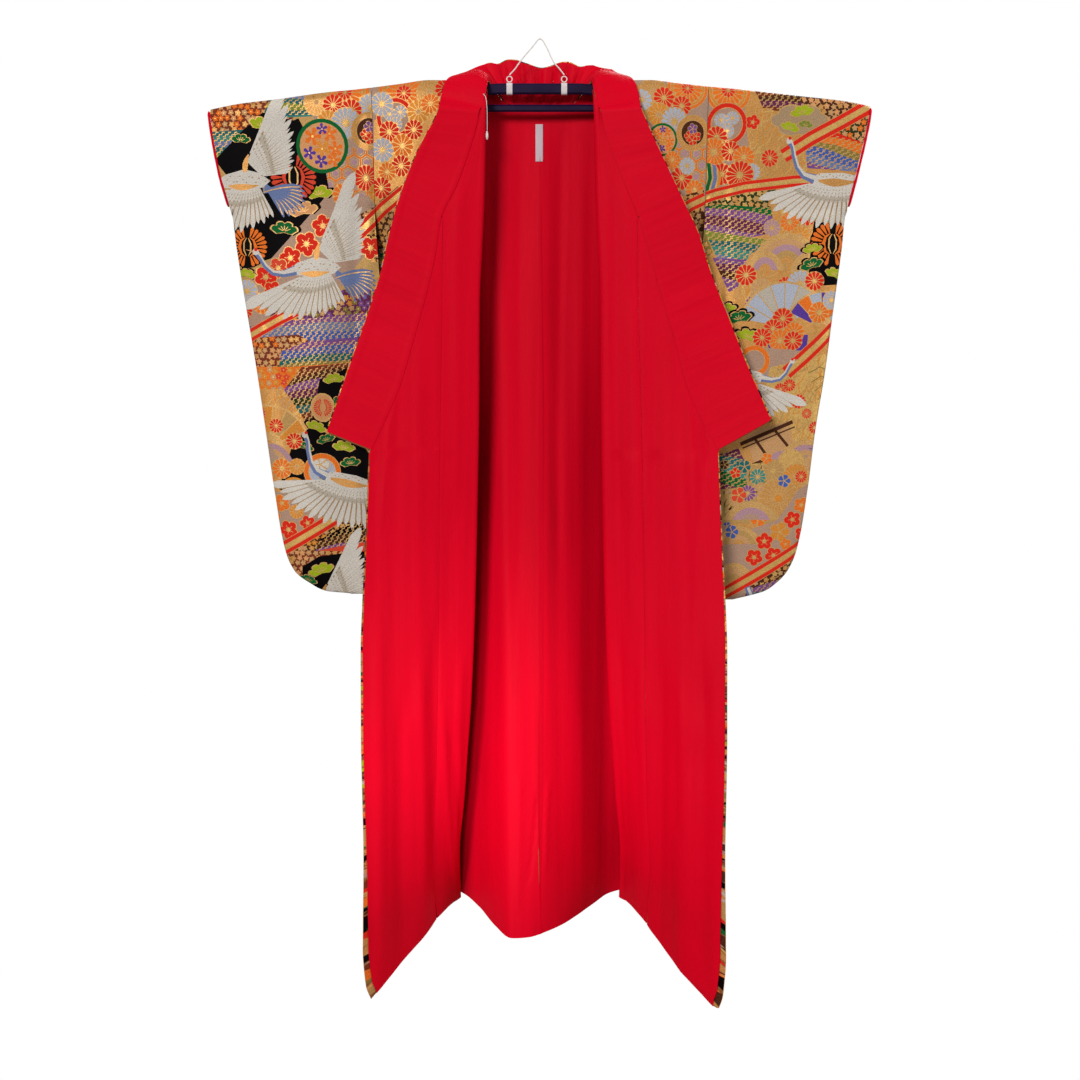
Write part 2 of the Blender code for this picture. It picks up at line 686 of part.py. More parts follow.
def build_sleeve(hand, tag):
    """Long hanging sleeve: front and back faces, joined at the top, cuff side and bottom."""
    column_out = 1 if hand < 0 else 2
    top_rows = [0.0, 0.02, 0.07, 0.32, 0.66, 0.97]
    rows = len(top_rows) + len(SLEEVE_ROWS) + 1
    bottom = SLEEVE_BOTTOM[hand]
    cloth = Cloth()
    faces = {}
    for face in (-1, 1):
        grid = [[None] * len(SLEEVE_SHARES) for _ in range(rows)]
        for column, share in enumerate(SLEEVE_SHARES):
            x_top = SLEEVE_IN_X + (SLEEVE_OUT_X - SLEEVE_IN_X) * share
            z_top = at(SHOULDER[hand], x_top)
            for row in range(rows):
                joined = row == rows - 1
                if row < len(top_rows):
                    z = z_top + (CUFF_Z - z_top) * top_rows[row]
                elif row < rows - 1:
                    z = SLEEVE_ROWS[row - len(top_rows)]
                    if hand > 0 and z < -1.02:
                        z = -1.02 + (z + 1.02) * 1.115
                else:
                    z = bottom
                outer = at(SLEEVE, z, column_out)
                inner = at(SLEEVE, z, 3)
                x = x_top if row == 0 else inner + (outer - inner) * share
                half = at(SLEEVE, z, 5) * (1 - math.exp(-(z_top - z) / SHOULDER_EASE))
                if row < len(top_rows):
                    half *= 1 - 0.35 * share
                    if row == len(top_rows) - 1:
                        half *= 1 if column < len(SLEEVE_SHARES) - 1 else 0.35
                else:
                    half *= SLEEVE_SWELL[column]
                    half *= math.sqrt(min(1.0, max(0.0, (z - bottom) / 0.06)))
                    joined = joined or column == len(SLEEVE_SHARES) - 1
                joined = joined or row == 0
                if joined and face > 0:
                    grid[row][column] = faces[-1][row][column]
                    continue
                y = at(SLEEVE, z, 4) + (0.0 if joined else face * half)
                grid[row][column] = cloth.add((hand * x, y, z))
        faces[face] = grid
    cloth.patch_grid(faces[-1], flip=hand > 0)
    cloth.patch_grid(faces[1], flip=hand < 0)
    for face in (-1, 1):
        for row in faces[face]:
            cloth.fixed[row[0]] = np.array([0.0, 1.0, 1.0])
    normals = cloth.normals()
    wall(f"sleeve_{tag}", cloth.points, normals, cloth.patches, OUTER_T, 0.0, "brocade")
    # Red padded roll along both lips of the wrist opening.
    for face, word in ((-1, "front"), (1, "back")):
        path = []
        for row in range(1, len(top_rows)):
            point = cloth.points[faces[face][row][-1]].copy()
            point[0] += hand * (CUFF_R + SEAM_GAP)
            point[1] += face * 0.0012
            path.append(point)
        tube(f"cuff_roll_{tag}_{word}", path, CUFF_R, "lining", 6)


# ---------------------------------------------------------------- hanger and trims
def bar_ring(x, top, height, depth, y=0.0, cut=0.0035):
    """Eight-sided section of a hanger bar at x."""
    half = depth / 2
    low = top - height
    return [
        np.array([x, y - half + cut, top]), np.array([x, y + half - cut, top]),
        np.array([x, y + half, top - cut]), np.array([x, y + half, low + cut]),
        np.array([x, y + half - cut, low]), np.array([x, y - half + cut, low]),
        np.array([x, y - half, low + cut]), np.array([x, y - half, top - cut]),
    ]


def arm_section(x):
    """Top, height and depth of the hanger's upper bar at x."""
    spread = max(0.0, (abs(x) - 0.12) / (ARM_END_X - 0.12))
    slim = min(1.0, spread * 3)
    clear = 0.0045 + 0.0030 * min(1.0, max(0.0, abs(x) - 0.085) / 0.035)
    top = min(BAR_TOP, at(SHOULDER[-1], abs(x)) - clear)
    return top, BAR_HEIGHT - (BAR_HEIGHT - 0.013) * slim, BAR_DEPTH - (BAR_DEPTH - 0.009) * slim


def build_hanger():
    stations = [0.085, 0.12, 0.19, 0.26, 0.36, 0.48, ARM_END_X]
    stations = [-x for x in stations[::-1]] + stations
    rings = [bar_ring(x, *arm_section(x)) for x in stations]
    sections("hanger_arm", rings, "hanger")
    half, top, height, depth = LOWER_BAR
    rings = [bar_ring(x, top, height, depth) for x in (-half, half)]
    sections("hanger_lower_bar", rings, "hanger")
    for x, word in ((-POST_X, "left"), (POST_X, "right")):
        arm_top, arm_height, _ = arm_section(abs(x) + 0.008)
        upper = arm_top - arm_height - 0.0012
        lower = top + LAYER_GAP
        points = []
        for z in (lower, upper):
            for dx, dy in ((-0.006, -0.003), (0.006, -0.003), (0.006, 0.003), (-0.006, 0.003)):
                points.append((x + dx, dy, z))
        faces = [(0, 1, 2, 3), (7, 6, 5, 4), (0, 4, 5, 1), (1, 5, 6, 2), (2, 6, 7, 3), (3, 7, 4, 0)]
        mesh_object(f"hanger_post_{word}", points, faces, "hanger", 0.35)


def build_tape(x, word):
    """White tape looped round the upper bar."""
    gap = 0.0004
    thick = 0.0008
    top, low = BAR_TOP + gap, BAR_TOP - BAR_HEIGHT - gap
    half = BAR_DEPTH / 2 + gap
    cut = 0.0035
    inner = [
        (-half + cut, top), (half - cut, top), (half, top - cut), (half, low + cut),
        (half - cut, low), (-half + cut, low), (-half, low + cut), (-half, top - cut),
    ]
    outer = [(y + math.copysign(thick, y), z + math.copysign(thick, z - (top + low) / 2))
             for y, z in inner]
    points, faces = [], []
    for side in (-TAPE_W / 2, TAPE_W / 2):
        for ring in (inner, outer):
            points += [(x + side, y, z) for y, z in ring]
    for n in range(8):
        m = (n + 1) % 8
        faces.append((n, m, m + 8, n + 8))
        faces.append((n + 16, n + 24, m + 24, m + 16))
        faces.append((n, n + 16, m + 16, m))
        faces.append((n + 8, m + 8, m + 24, n + 24))
    mesh_object(f"tape_{word}", points, faces, "white", 0.7)


def build_ring(x, word):
    """Small white ring standing on the tape, in the plane of the hanger."""
    centre_z = BAR_TOP + 0.0004 + 0.0008 + 0.0004 + RING_R + 0.0012
    path = []
    for n in range(12):
        turn = 2 * math.pi * n / 12
        path.append((x + RING_R * math.cos(turn), 0.0, centre_z + RING_R * math.sin(turn)))
    tube(f"ring_{word}", path, 0.0011, "white", 6, closed=True)
    return centre_z + RING_R


def build_cord(tops):
    """White hanging cord from ring to ring over the hang point."""
    left = np.array([TAPE_X[0], 0.0, tops + 0.0011 + CORD_R + LAYER_GAP])
    right = np.array([TAPE_X[1], 0.0, tops + 0.0011 + CORD_R + LAYER_GAP])
    path = [
        left, left + [0.010, 0, 0.010], (-0.038, 0, -0.042), (-0.012, 0, -0.013),
        (-0.004, 0, -0.0035), (0.0, 0, -CORD_R), (0.004, 0, -0.0035), (0.012, 0, -0.015),
        (0.028, 0, -0.046), right + [-0.008, 0, 0.010], right,
    ]
    tube("hang_cord", path, CORD_R, "white", 6)


def build_label(cloth, back):
    """Blank white label lying on the back lining below the neck, moved out from it."""
    rows, cols = 4, 2
    face = LINING_OFF + LINING_T / 2 + LAYER_GAP + 0.0004
    points = []
    for i in range(rows + 1):
        z = -0.1644 - (0.2391 - 0.1644) * i / rows
        for j in range(cols + 1):
            x = -0.0094 + 0.0155 * j / cols
            y = back_y(x, z) - face - 0.0006
            points.append(np.array([x, y, z]))
    normals = np.tile([0.0, 1.0, 0.0], (len(points), 1))
    patches = [
        (i * 3 + j, i * 3 + j + 1, (i + 1) * 3 + j + 1, (i + 1) * 3 + j)
        for i in range(rows) for j in range(cols)
    ]
    wall("label", points, normals, patches, 0.0006, 0.0, "white")


def front_surface(objects, x, z):
    """Smallest y at which the given solids are met at x and z."""
    found = []
    for obj in objects:
        points = np.array([v.co for v in obj.data.vertices])
        for face in obj.data.polygons:
            for k in range(1, len(face.vertices) - 1):
                corners = points[[face.vertices[0], face.vertices[k], face.vertices[k + 1]]]
                edges = (corners[1:] - corners[0])[:, [0, 2]]
                area = edges[0][0] * edges[1][1] - edges[0][1] * edges[1][0]
                if abs(area) < 1e-12:
                    continue
                gap = np.array([x, z]) - corners[0][[0, 2]]
                u = (gap[0] * edges[1][1] - gap[1] * edges[1][0]) / area
                v = (edges[0][0] * gap[1] - edges[0][1] * gap[0]) / area
                if u >= 0 and v >= 0 and u + v <= 1:
                    run = corners[1:, 1] - corners[0][1]
                    found.append(corners[0][1] + u * run[0] + v * run[1])
    return min(found)


def build_thread():
    """White pull thread hanging beside the left fold, with a small knot at its end."""
    cloth = [bpy.data.objects[name] for name in ("collar_lining", "front_lining_left")]
    path = []
    for x, z in ((-0.1300, -0.1110), (-0.1240, -0.1085), (-0.1190, -0.1095)):
        path.append((x, front_surface(cloth, x, z) - LAYER_GAP - THREAD_R - 0.0002, z))
    fall = path[-1][1] - 0.0015
    path += [
        (-0.1150, fall, -0.1120),
        (-0.1095, fall - 0.0055, -0.1200), (-0.1075, fall - 0.0070, -0.1330),
        (-0.1068, fall - 0.0070, -0.1500), (-0.1070, fall - 0.0070, -0.1840),
    ]
    hang = fall - 0.0070
    tube("pull_thread", path, THREAD_R, "white", 5)
    knot = [(-0.1075, hang, z) for z in (-0.1845, -0.1870, -0.1930, -0.1990, -0.2015)]
    sides = 6
    rings = []
    for point, radius in zip(knot, (0.0008, 0.0020, 0.0026, 0.0018, 0.0007)):
        rings.append([
            np.array(point) + radius * np.array([
                math.cos(2 * math.pi * n / sides), math.sin(2 * math.pi * n / sides), 0.0])
            for n in range(sides)
        ])
    sections("thread_knot", rings, "white", 0.8)


def main():
    clear_scene()
    bodies = {}
    for hand, tag in ((-1, "left"), (1, "right")):
        bodies[hand] = build_body(hand, tag)
        build_okumi(hand, tag)
        build_sleeve(hand, tag)
    build_collar()
    build_hanger()
    ring_top = 0.0
    for x, word in zip(TAPE_X, ("left", "right")):
        build_tape(x, word)
        ring_top = build_ring(x, word)
    build_cord(ring_top)
    build_label(bodies[1][0], bodies[1][2])
    build_thread()


main()
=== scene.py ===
"""Uchikake wedding kimono on its hanger: the visual model.

Metres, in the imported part's own frame: +Z up, the open front faces -Y and +X is the
viewer's right.  Every cloth skin is laid on the same tables as the part's solids.
"""

import math

import bpy
import numpy as np
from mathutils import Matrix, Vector
from mathutils.geometry import delaunay_2d_cdt


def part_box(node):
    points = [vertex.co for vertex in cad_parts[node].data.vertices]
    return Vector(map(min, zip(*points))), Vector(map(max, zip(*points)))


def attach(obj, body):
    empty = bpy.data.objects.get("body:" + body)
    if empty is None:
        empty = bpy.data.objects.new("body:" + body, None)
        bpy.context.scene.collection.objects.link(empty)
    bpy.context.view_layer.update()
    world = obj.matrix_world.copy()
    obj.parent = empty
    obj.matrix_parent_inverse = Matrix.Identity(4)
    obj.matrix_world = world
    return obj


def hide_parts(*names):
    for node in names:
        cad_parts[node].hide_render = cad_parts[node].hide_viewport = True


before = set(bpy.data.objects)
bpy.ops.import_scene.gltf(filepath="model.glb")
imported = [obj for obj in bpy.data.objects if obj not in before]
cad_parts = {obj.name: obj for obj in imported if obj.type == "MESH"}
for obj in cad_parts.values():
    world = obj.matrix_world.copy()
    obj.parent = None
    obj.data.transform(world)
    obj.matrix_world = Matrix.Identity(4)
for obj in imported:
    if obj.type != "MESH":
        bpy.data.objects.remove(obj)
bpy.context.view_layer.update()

# ---------------------------------------------------------------- sizes and tables
OUTER_T = 0.0015            # brocade wall
LINING_T = 0.0010           # red silk lining wall
LAYER_GAP = 0.0003
SEAM_GAP = 0.0004
LINING_OFF = OUTER_T / 2 + LAYER_GAP + LINING_T / 2
BODY_SIDE_X = 0.343
SLEEVE_IN_X = 0.3440
SLEEVE_OUT_X = 0.677
NECK_X = 0.107
ARMHOLE_Z = -0.34
OKUMI_TOP_Z = -0.3552
COLLAR_END_Z = -0.83
YOKE_Z = -0.42
HEM_Z = -1.95
TIP_Z = -1.971
HEM_FACING = 0.0006
FOLD_R = 0.008
SHOULDER_EASE = 0.008
CUFF_Z = -0.338
CUFF_R = 0.0028
EDGE_SHIFT = {-1: -0.0075, 1: 0.0085}      # front edge, left and right, from its table
EDGE_SHARE = (0.40, 0.25, 0.75)             # how the lining keeps back from it, going down
COLLAR_W = 0.100
NECK_END_Z = -0.150         # the collar's seam comes off the neck here
SIDE_SEAM_Y = 0.00095       # half the gap between back and front at the side seam
FLAP_BELLY = 0.006
SEAM_LOW = 0.004            # shift of the overlap seam towards the hem
DRAWN_IN = 0.0028           # how far a stitched seam pulls the cloth in
LABEL_OFF = 0.0057
LABEL_T = 0.0006
CAMERA = (0.0, -2.7043, -0.4225)
PITCH = math.radians(-13.0)
LENS, SENSOR = 41.667, 36.0                 # millimetres
SKY_LIGHT = 0.19
FLOOR_Z = -1.995
FLOOR_HALF = (1.5, 1.0)
FLAP_AIM = (0.0, 0.0, -0.95)
LAMPS = [                   # name, kind, place, aim, power, other settings
    ("key", "SUN", (-1.2, -2.6, 0.30), FLAP_AIM, 2.40, {"angle": math.radians(18)}),
    ("fill", "SUN", (4.4, -2.5, 0.40), FLAP_AIM, 1.00, {"angle": math.radians(30)}),
    ("behind", "SUN", (1.2, 2.6, 0.4), FLAP_AIM, 2.1, {"angle": math.radians(40)}),
    ("left_side", "SUN", (-3.0, 0.7, 0.4), FLAP_AIM, 0.9, {"angle": math.radians(40)}),
    ("right_side", "SUN", (3.0, 0.7, 0.4), FLAP_AIM, 0.9, {"angle": math.radians(40)}),
    ("low", "SPOT", (-0.45, -2.6, -1.30), (-0.11, 0.05, -1.53), 185.0,
     {"spot_size": math.radians(22), "spot_blend": 1.0, "shadow_soft_size": 0.25}),
]

# shoulder line, seen from the front: distance from centre, height of the ridge
SHOULDER = {
    -1: [(0.100, -0.0830), (0.225, -0.0815), (0.287, -0.0890), (0.336, -0.0950),
         (0.385, -0.1005), (0.435, -0.1050), (0.534, -0.1180), (0.620, -0.1280),
         (0.683, -0.1400)],
    1: [(0.100, -0.0830), (0.225, -0.0815), (0.287, -0.0880), (0.336, -0.0930),
        (0.385, -0.0972), (0.435, -0.1023), (0.534, -0.1127), (0.620, -0.1217),
        (0.683, -0.1330)],
}

# turned-back front: height, fold distance from centre, fold y
FOLD = [
    (-0.083, 0.1085, -0.010), (-0.120, 0.1095, -0.036), (-0.144, 0.1102, -0.045),
    (-0.221, 0.1120, -0.045), (-0.320, 0.1149, -0.048), (-0.420, 0.1205, -0.050),
    (-0.521, 0.1262, -0.052), (-0.729, 0.1293, -0.056), (-0.945, 0.1352, -0.060),
    (-1.168, 0.1427, -0.060), (-1.402, 0.1547, -0.055), (-1.528, 0.1650, -0.040),
    (-1.660, 0.1759, -0.020), (-1.796, 0.1896, 0.004), (-1.944, 0.1926, 0.058),
    (-1.975, 0.1926, 0.062),
]

# how steeply the turned-back front comes forward from its fold: height, dy/dx
FLAP_SLOPE = [
    (-0.150, -0.030), (-0.300, -0.048), (-0.500, -0.070), (-0.700, -0.110),
    (-0.830, -0.155), (-0.934, -0.205), (-1.040, -0.262), (-1.146, -0.322),
    (-1.252, -0.405), (-1.358, -0.496), (-1.464, -0.620), (-1.570, -0.817),
    (-1.673, -1.060), (-1.774, -1.370), (-1.873, -1.740), (-1.971, -2.360),
]

# front edge of the overlap panel below the collar: height, distance from centre
OKUMI_EDGE = [
    (-0.829, 0.3670), (-0.934, 0.3728), (-1.040, 0.3786), (-1.146, 0.3853),
    (-1.252, 0.3898), (-1.358, 0.3907), (-1.464, 0.3913), (-1.570, 0.3895),
    (-1.673, 0.3869), (-1.774, 0.3861), (-1.873, 0.3858), (-1.941, 0.3770),
    (-1.971, 0.3664),
]

# how far the turned-back hem rises above an even line: distance from centre, lift
HEM_LIFT = {
    -1: [(0.190, 0.0), (0.205, 0.005), (0.225, 0.0075), (0.280, 0.0035), (0.335, 0.0),
         (0.370, 0.0), (0.390, 0.004)],
    1: [(0.190, 0.0), (0.205, 0.008), (0.235, 0.0105), (0.262, 0.0), (0.290, -0.006),
        (0.325, -0.008), (0.355, -0.006), (0.375, -0.002), (0.390, 0.003)],
}

# seam between the front panel and the overlap panel: height, distance from centre
OKUMI_SEAM = [
    (-0.355, 0.1985), (-0.420, 0.2010), (-0.484, 0.2025), (-0.623, 0.2069),
    (-0.930, 0.2172), (-1.378, 0.2280), (-1.660, 0.2400), (-1.800, 0.2480),
    (-1.971, 0.2440),
]

# collar seam on the turned-back front: height, distance from centre, left and right
COLLAR_SEAM = {
    -1: [(-0.150, 0.1250), (-0.165, 0.1275), (-0.212, 0.1415), (-0.290, 0.1710),
         (-0.355, 0.2035), (-0.420, 0.2150), (-0.500, 0.2340), (-0.600, 0.2640),
         (-0.700, 0.2960), (-0.830, 0.3570)],
    1: [(-0.150, 0.1250), (-0.165, 0.1280), (-0.212, 0.1440), (-0.290, 0.1760),
        (-0.355, 0.2040), (-0.420, 0.2260), (-0.500, 0.2500), (-0.600, 0.2820),
        (-0.700, 0.3110), (-0.830, 0.3770)],
}

# free edge of the collar opposite each seam station: distance from centre, y, height
COLLAR_EDGE = {
    -1: [(0.2060, -0.040, -0.143), (0.2080, -0.041, -0.149), (0.2125, -0.043, -0.160),
         (0.2340, -0.049, -0.196), (0.2640, -0.053, -0.256), (0.2880, -0.057, -0.317),
         (0.3080, -0.060, -0.380), (0.3280, -0.066, -0.459), (0.3600, -0.071, -0.553),
         (0.3960, -0.081, -0.648), (0.4486, -0.100, -0.7914)],
    1: [(0.2050, -0.040, -0.143), (0.2080, -0.041, -0.149), (0.2130, -0.043, -0.160),
        (0.2310, -0.048, -0.198), (0.2615, -0.053, -0.258), (0.2910, -0.057, -0.317),
        (0.3230, -0.061, -0.380), (0.3505, -0.066, -0.458), (0.3910, -0.071, -0.553),
        (0.4315, -0.081, -0.649), (0.4853, -0.099, -0.7661)],
}

# collar over the shoulder, from neck point forward: seam point and free edge point
NECK_FRONT = [
    ((0.1070, 0.000, -0.0830), (0.1520, 0.033, -0.0640)),
    ((0.1080, -0.009, -0.0850), (0.1640, 0.027, -0.0680)),
    ((0.1090, -0.018, -0.0900), (0.1750, 0.018, -0.0725)),
    ((0.1100, -0.027, -0.0980), (0.1850, 0.006, -0.0770)),
    ((0.1120, -0.036, -0.1100), (0.1930, -0.010, -0.0860)),
    ((0.1150, -0.043, -0.1240), (0.1985, -0.024, -0.1010)),
    ((0.1190, -0.048, -0.1380), (0.2030, -0.034, -0.1220)),
]

# back neckline: distance from centre, y, height
NECK_BACK = [
    (0.1070, 0.000, -0.0830), (0.0790, 0.027, -0.1170), (0.0515, 0.033, -0.1310),
    (0.0257, 0.035, -0.1370), (0.0, 0.035, -0.1390),
]

# top edge of the gathered collar behind the neck: x, height
NAPE_TOP = [
    (-0.152, -0.0640), (-0.128, -0.0515), (-0.103, -0.0420), (-0.091, -0.0440),
    (-0.066, -0.0355), (-0.050, -0.0355), (-0.029, -0.0420), (-0.012, -0.0480),
    (0.008, -0.0510), (0.033, -0.0430), (0.058, -0.0390), (0.083, -0.0490),
    (0.107, -0.0470), (0.132, -0.0560), (0.152, -0.0600),
]

# back panel: height, y of the centre ridge, y of the valleys, y of the side
BACK = [
    (-0.083, 0.035, 0.026, 0.018), (-0.300, 0.032, 0.030, 0.018),
    (-0.340, 0.031, 0.031, 0.014), (-0.420, 0.026, 0.036, 0.003),
    (-0.700, 0.006, 0.048, 0.010), (-1.000, -0.020, 0.060, 0.022),
    (-1.400, -0.056, 0.078, 0.050), (-1.700, -0.086, 0.092, 0.082),
    (-1.975, -0.118, 0.100, 0.112),
]

# shape of the centre ridge across the back: x, share of its height
RIDGE = [
    (-0.205, 0.00), (-0.175, 0.14), (-0.143, 0.40), (-0.102, 0.78), (-0.064, 1.00),
    (-0.028, 0.99), (0.009, 0.89), (0.047, 0.77), (0.085, 0.57), (0.125, 0.34),
    (0.166, 0.09), (0.205, 0.00),
]

# side seam: height, distance from centre
SIDE = [
    (-0.083, 0.343), (-0.340, 0.343), (-0.420, 0.340), (-0.600, 0.335),
    (-1.000, 0.326), (-1.400, 0.320), (-1.975, 0.316),
]

# sleeve: height, outer edge (left, right), inner edge, middle y, half hollow
SLEEVE = [
    (-0.140, 0.6770, 0.6750, 0.3440, 0.000, 0.0180),
    (-0.180, 0.6735, 0.6700, 0.3440, 0.000, 0.0180),
    (-0.258, 0.6630, 0.6555, 0.3440, 0.000, 0.0180),
    (-0.338, 0.6455, 0.6400, 0.3440, 0.000, 0.0160),
    (-0.420, 0.6347, 0.6315, 0.3392, -0.014, 0.0120),
    (-0.543, 0.6179, 0.6178, 0.3300, -0.027, 0.0110),
    (-0.669, 0.6014, 0.6057, 0.3080, -0.034, 0.0110),
    (-0.797, 0.5874, 0.5896, 0.2860, -0.040, 0.0110),
    (-0.927, 0.5733, 0.5776, 0.2640, -0.046, 0.0110),
    (-1.060, 0.5548, 0.5588, 0.2450, -0.050, 0.0110),
    (-1.105, 0.5367, 0.5411, 0.2400, -0.050, 0.0110),
    (-1.133, 0.5027, 0.5170, 0.2360, -0.050, 0.0110),
    (-1.150, 0.4680, 0.4930, 0.2340, -0.050, 0.0110),
    (-1.156, 0.4150, 0.4750, 0.2330, -0.050, 0.0110),
    (-1.169, 0.4150, 0.4245, 0.2330, -0.050, 0.0110),
]
SLEEVE_BOTTOM = {-1: -1.156, 1: -1.169}


# ---------------------------------------------------------------- smooth tables
_lines = {}


def spline(keys, values, count=1500):
    """Smooth line through the rows of a table that doesn't overshoot them."""
    k, v = np.asarray(keys, float), np.asarray(values, float)
    if k[0] > k[-1]:
        k, v = k[::-1], v[::-1]
    h = np.diff(k)
    d = np.diff(v) / h
    m = np.zeros(len(k))
    m[0], m[-1] = d[0], d[-1]
    for n in range(1, len(k) - 1):
        if d[n - 1] * d[n] > 0:
            a, b = 2 * h[n] + h[n - 1], h[n] + 2 * h[n - 1]
            m[n] = (a + b) / (a / d[n - 1] + b / d[n])
    x = np.unique(np.concatenate([np.linspace(k[0], k[-1], count), k]))
    i = np.clip(np.searchsorted(k, x, side="right") - 1, 0, len(k) - 2)
    t = (x - k[i]) / h[i]
    y = ((2 * t**3 - 3 * t**2 + 1) * v[i] + (t**3 - 2 * t**2 + t) * h[i] * m[i]
         + (3 * t**2 - 2 * t**3) * v[i + 1] + (t**3 - t**2) * h[i] * m[i + 1])
    return x, y


def at(table, key, column=1):
    """Value of one column of a table at any number of keys."""
    name = (id(table), column)
    if name not in _lines:
        _lines[name] = spline([row[0] for row in table], [row[column] for row in table])
    return np.interp(key, *_lines[name])


def ramp(value, low, high):
    """0 at low, 1 at high, smooth between."""
    t = np.clip((value - low) / (high - low), 0.0, 1.0)
    return t * t * (3 - 2 * t)


def unit_rows(v):
    return v / np.maximum(np.linalg.norm(v, axis=-1, keepdims=True), 1e-12)


# ---------------------------------------------------------------- creases
def crease_field(rows, p, q):
    """Sum of soft troughs and ridges.

    Each row: start p, q, end p, q, half width, height, and bow to one side.
    """
    out = np.zeros(np.broadcast(p, q).shape)
    for p0, q0, p1, q1, wide, high, bow in rows:
        t = (q - q0) / (q1 - q0)
        inside = ramp(t, -0.10, 0.12) * ramp(1 - t, -0.10, 0.12)
        t = np.clip(t, 0, 1)
        line = p0 + (p1 - p0) * t + bow * np.sin(math.pi * t)
        out += high * inside * np.exp(-((p - line) / wide) ** 2)
    return out


def uneven(seed, p, q, size=0.16, count=7):
    """Gentle waves of several lengths and directions, between about -1 and 1."""
    rng = np.random.default_rng(seed)
    out = np.zeros(np.broadcast(p, q).shape)
    for _ in range(count):
        turn = rng.uniform(-0.5, 0.5)
        wave = size * rng.uniform(0.6, 1.8)
        phase = rng.uniform(0, 2 * math.pi)
        out += np.sin(2 * math.pi * (p * math.cos(turn) + 0.45 * q * math.sin(turn)) / wave + phase)
    return out / count * 1.6


# ---------------------------------------------------------------- surfaces
def back_y(x, z):
    ridge, valley, side = (at(BACK, z, k) for k in (1, 2, 3))
    share = np.clip((np.abs(x) - 0.2) / (at(SIDE, z) - 0.2), 0, None)
    rest = valley + (side + SIDE_SEAM_Y - valley) * share**1.5
    return rest + (ridge - valley) * at(RIDGE, x)


def side_front(z):
    armhole = -at(BACK, ARMHOLE_Z, 3)
    share = np.clip((ARMHOLE_Z - z) / (ARMHOLE_Z - YOKE_Z), 0, 1)
    y = np.where(z > ARMHOLE_Z, -at(BACK, z, 3),
                 armhole + (at(BACK, z, 3) - SIDE_SEAM_Y - armhole) * share)
    return at(SIDE, z), y


def fold_plan(z):
    """Peg that the front cloth turns round, and the way it comes and leaves."""
    cx, cy = at(FOLD, z, 1) + FOLD_R + LINING_OFF, at(FOLD, z, 2)
    leave = np.arctan(at(FLAP_SLOPE, z))
    sx, sy = side_front(z)
    gx, gy = sx - cx, sy - cy
    come = np.arctan2(gy, gx) - np.arcsin(FOLD_R / np.hypot(gx, gy))
    return cx, cy, leave, come, sx, sy


def flap_start(z):
    cx, cy, leave, _, _, _ = fold_plan(z)
    turn = leave + 1.5 * math.pi
    return cx + FOLD_R * np.cos(turn), cy + FOLD_R * np.sin(turn), leave


def flap_y(x, z):
    """y of the turned-back front at a distance x from the centre."""
    sx, sy, leave = flap_start(z)
    reach = np.maximum(x - sx, 0.0)
    belly = FLAP_BELLY * np.sin(math.pi * np.minimum(reach / 0.25, 1.0))
    return sy + np.tan(leave) * reach - belly


def smooth_low(z):
    return np.clip((-0.5 - z) / 0.8, 0, 1)


def front_boundary(hand, z):
    """Where the front panel ends on the turned-back part: collar seam, then overlap seam."""
    collar = at(COLLAR_SEAM[hand], z)
    low = np.minimum(collar - SEAM_GAP, at(OKUMI_SEAM, z)) + SEAM_LOW * hand * smooth_low(z)
    return np.where(z > OKUMI_TOP_Z + 0.002, collar - SEAM_GAP, low)


def hem_height(x, y):
    dip = (TIP_Z - HEM_Z) * np.clip(-y / 0.34, 0, 1)
    forward = np.clip((0.055 - y) / 0.03, 0, 1)
    lift = np.where(x > 0, at(HEM_LIFT[1], np.abs(x)), at(HEM_LIFT[-1], np.abs(x)))
    return HEM_Z + dip + forward * lift


# The front panel is laid out flat as (s, z): s runs in from the side seam, round the
# fold, and out again to its seam.
S_SIDE, S_FOLD, S_FLAP = 0.236, 0.0251, 0.105
S_END = S_SIDE + S_FOLD + S_FLAP


def front_plan(hand, z, s):
    cx, cy, leave, come, side_x, side_y = fold_plan(z)
    first, last = come + 0.5 * math.pi, leave + 1.5 * math.pi
    a = np.clip(s / S_SIDE, 0, 1)
    b = np.clip((s - S_SIDE) / S_FOLD, 0, 1)
    c = np.clip((s - S_SIDE - S_FOLD) / S_FLAP, 0, 1)
    x0, y0 = cx + FOLD_R * np.cos(first), cy + FOLD_R * np.sin(first)
    turn = first + (last - first) * b
    x1, y1 = cx + FOLD_R * np.cos(turn), cy + FOLD_R * np.sin(turn)
    fx = cx + FOLD_R * np.cos(last)
    end = np.maximum(front_boundary(hand, z), fx + 0.004)
    x2 = fx + (end - fx) * c
    x = np.where(s <= S_SIDE, side_x + (x0 - side_x) * a, np.where(c > 0, x2, x1))
    y = np.where(s <= S_SIDE, side_y + (y0 - side_y) * a, np.where(c > 0, flap_y(x2, z), y1))
    return x, y


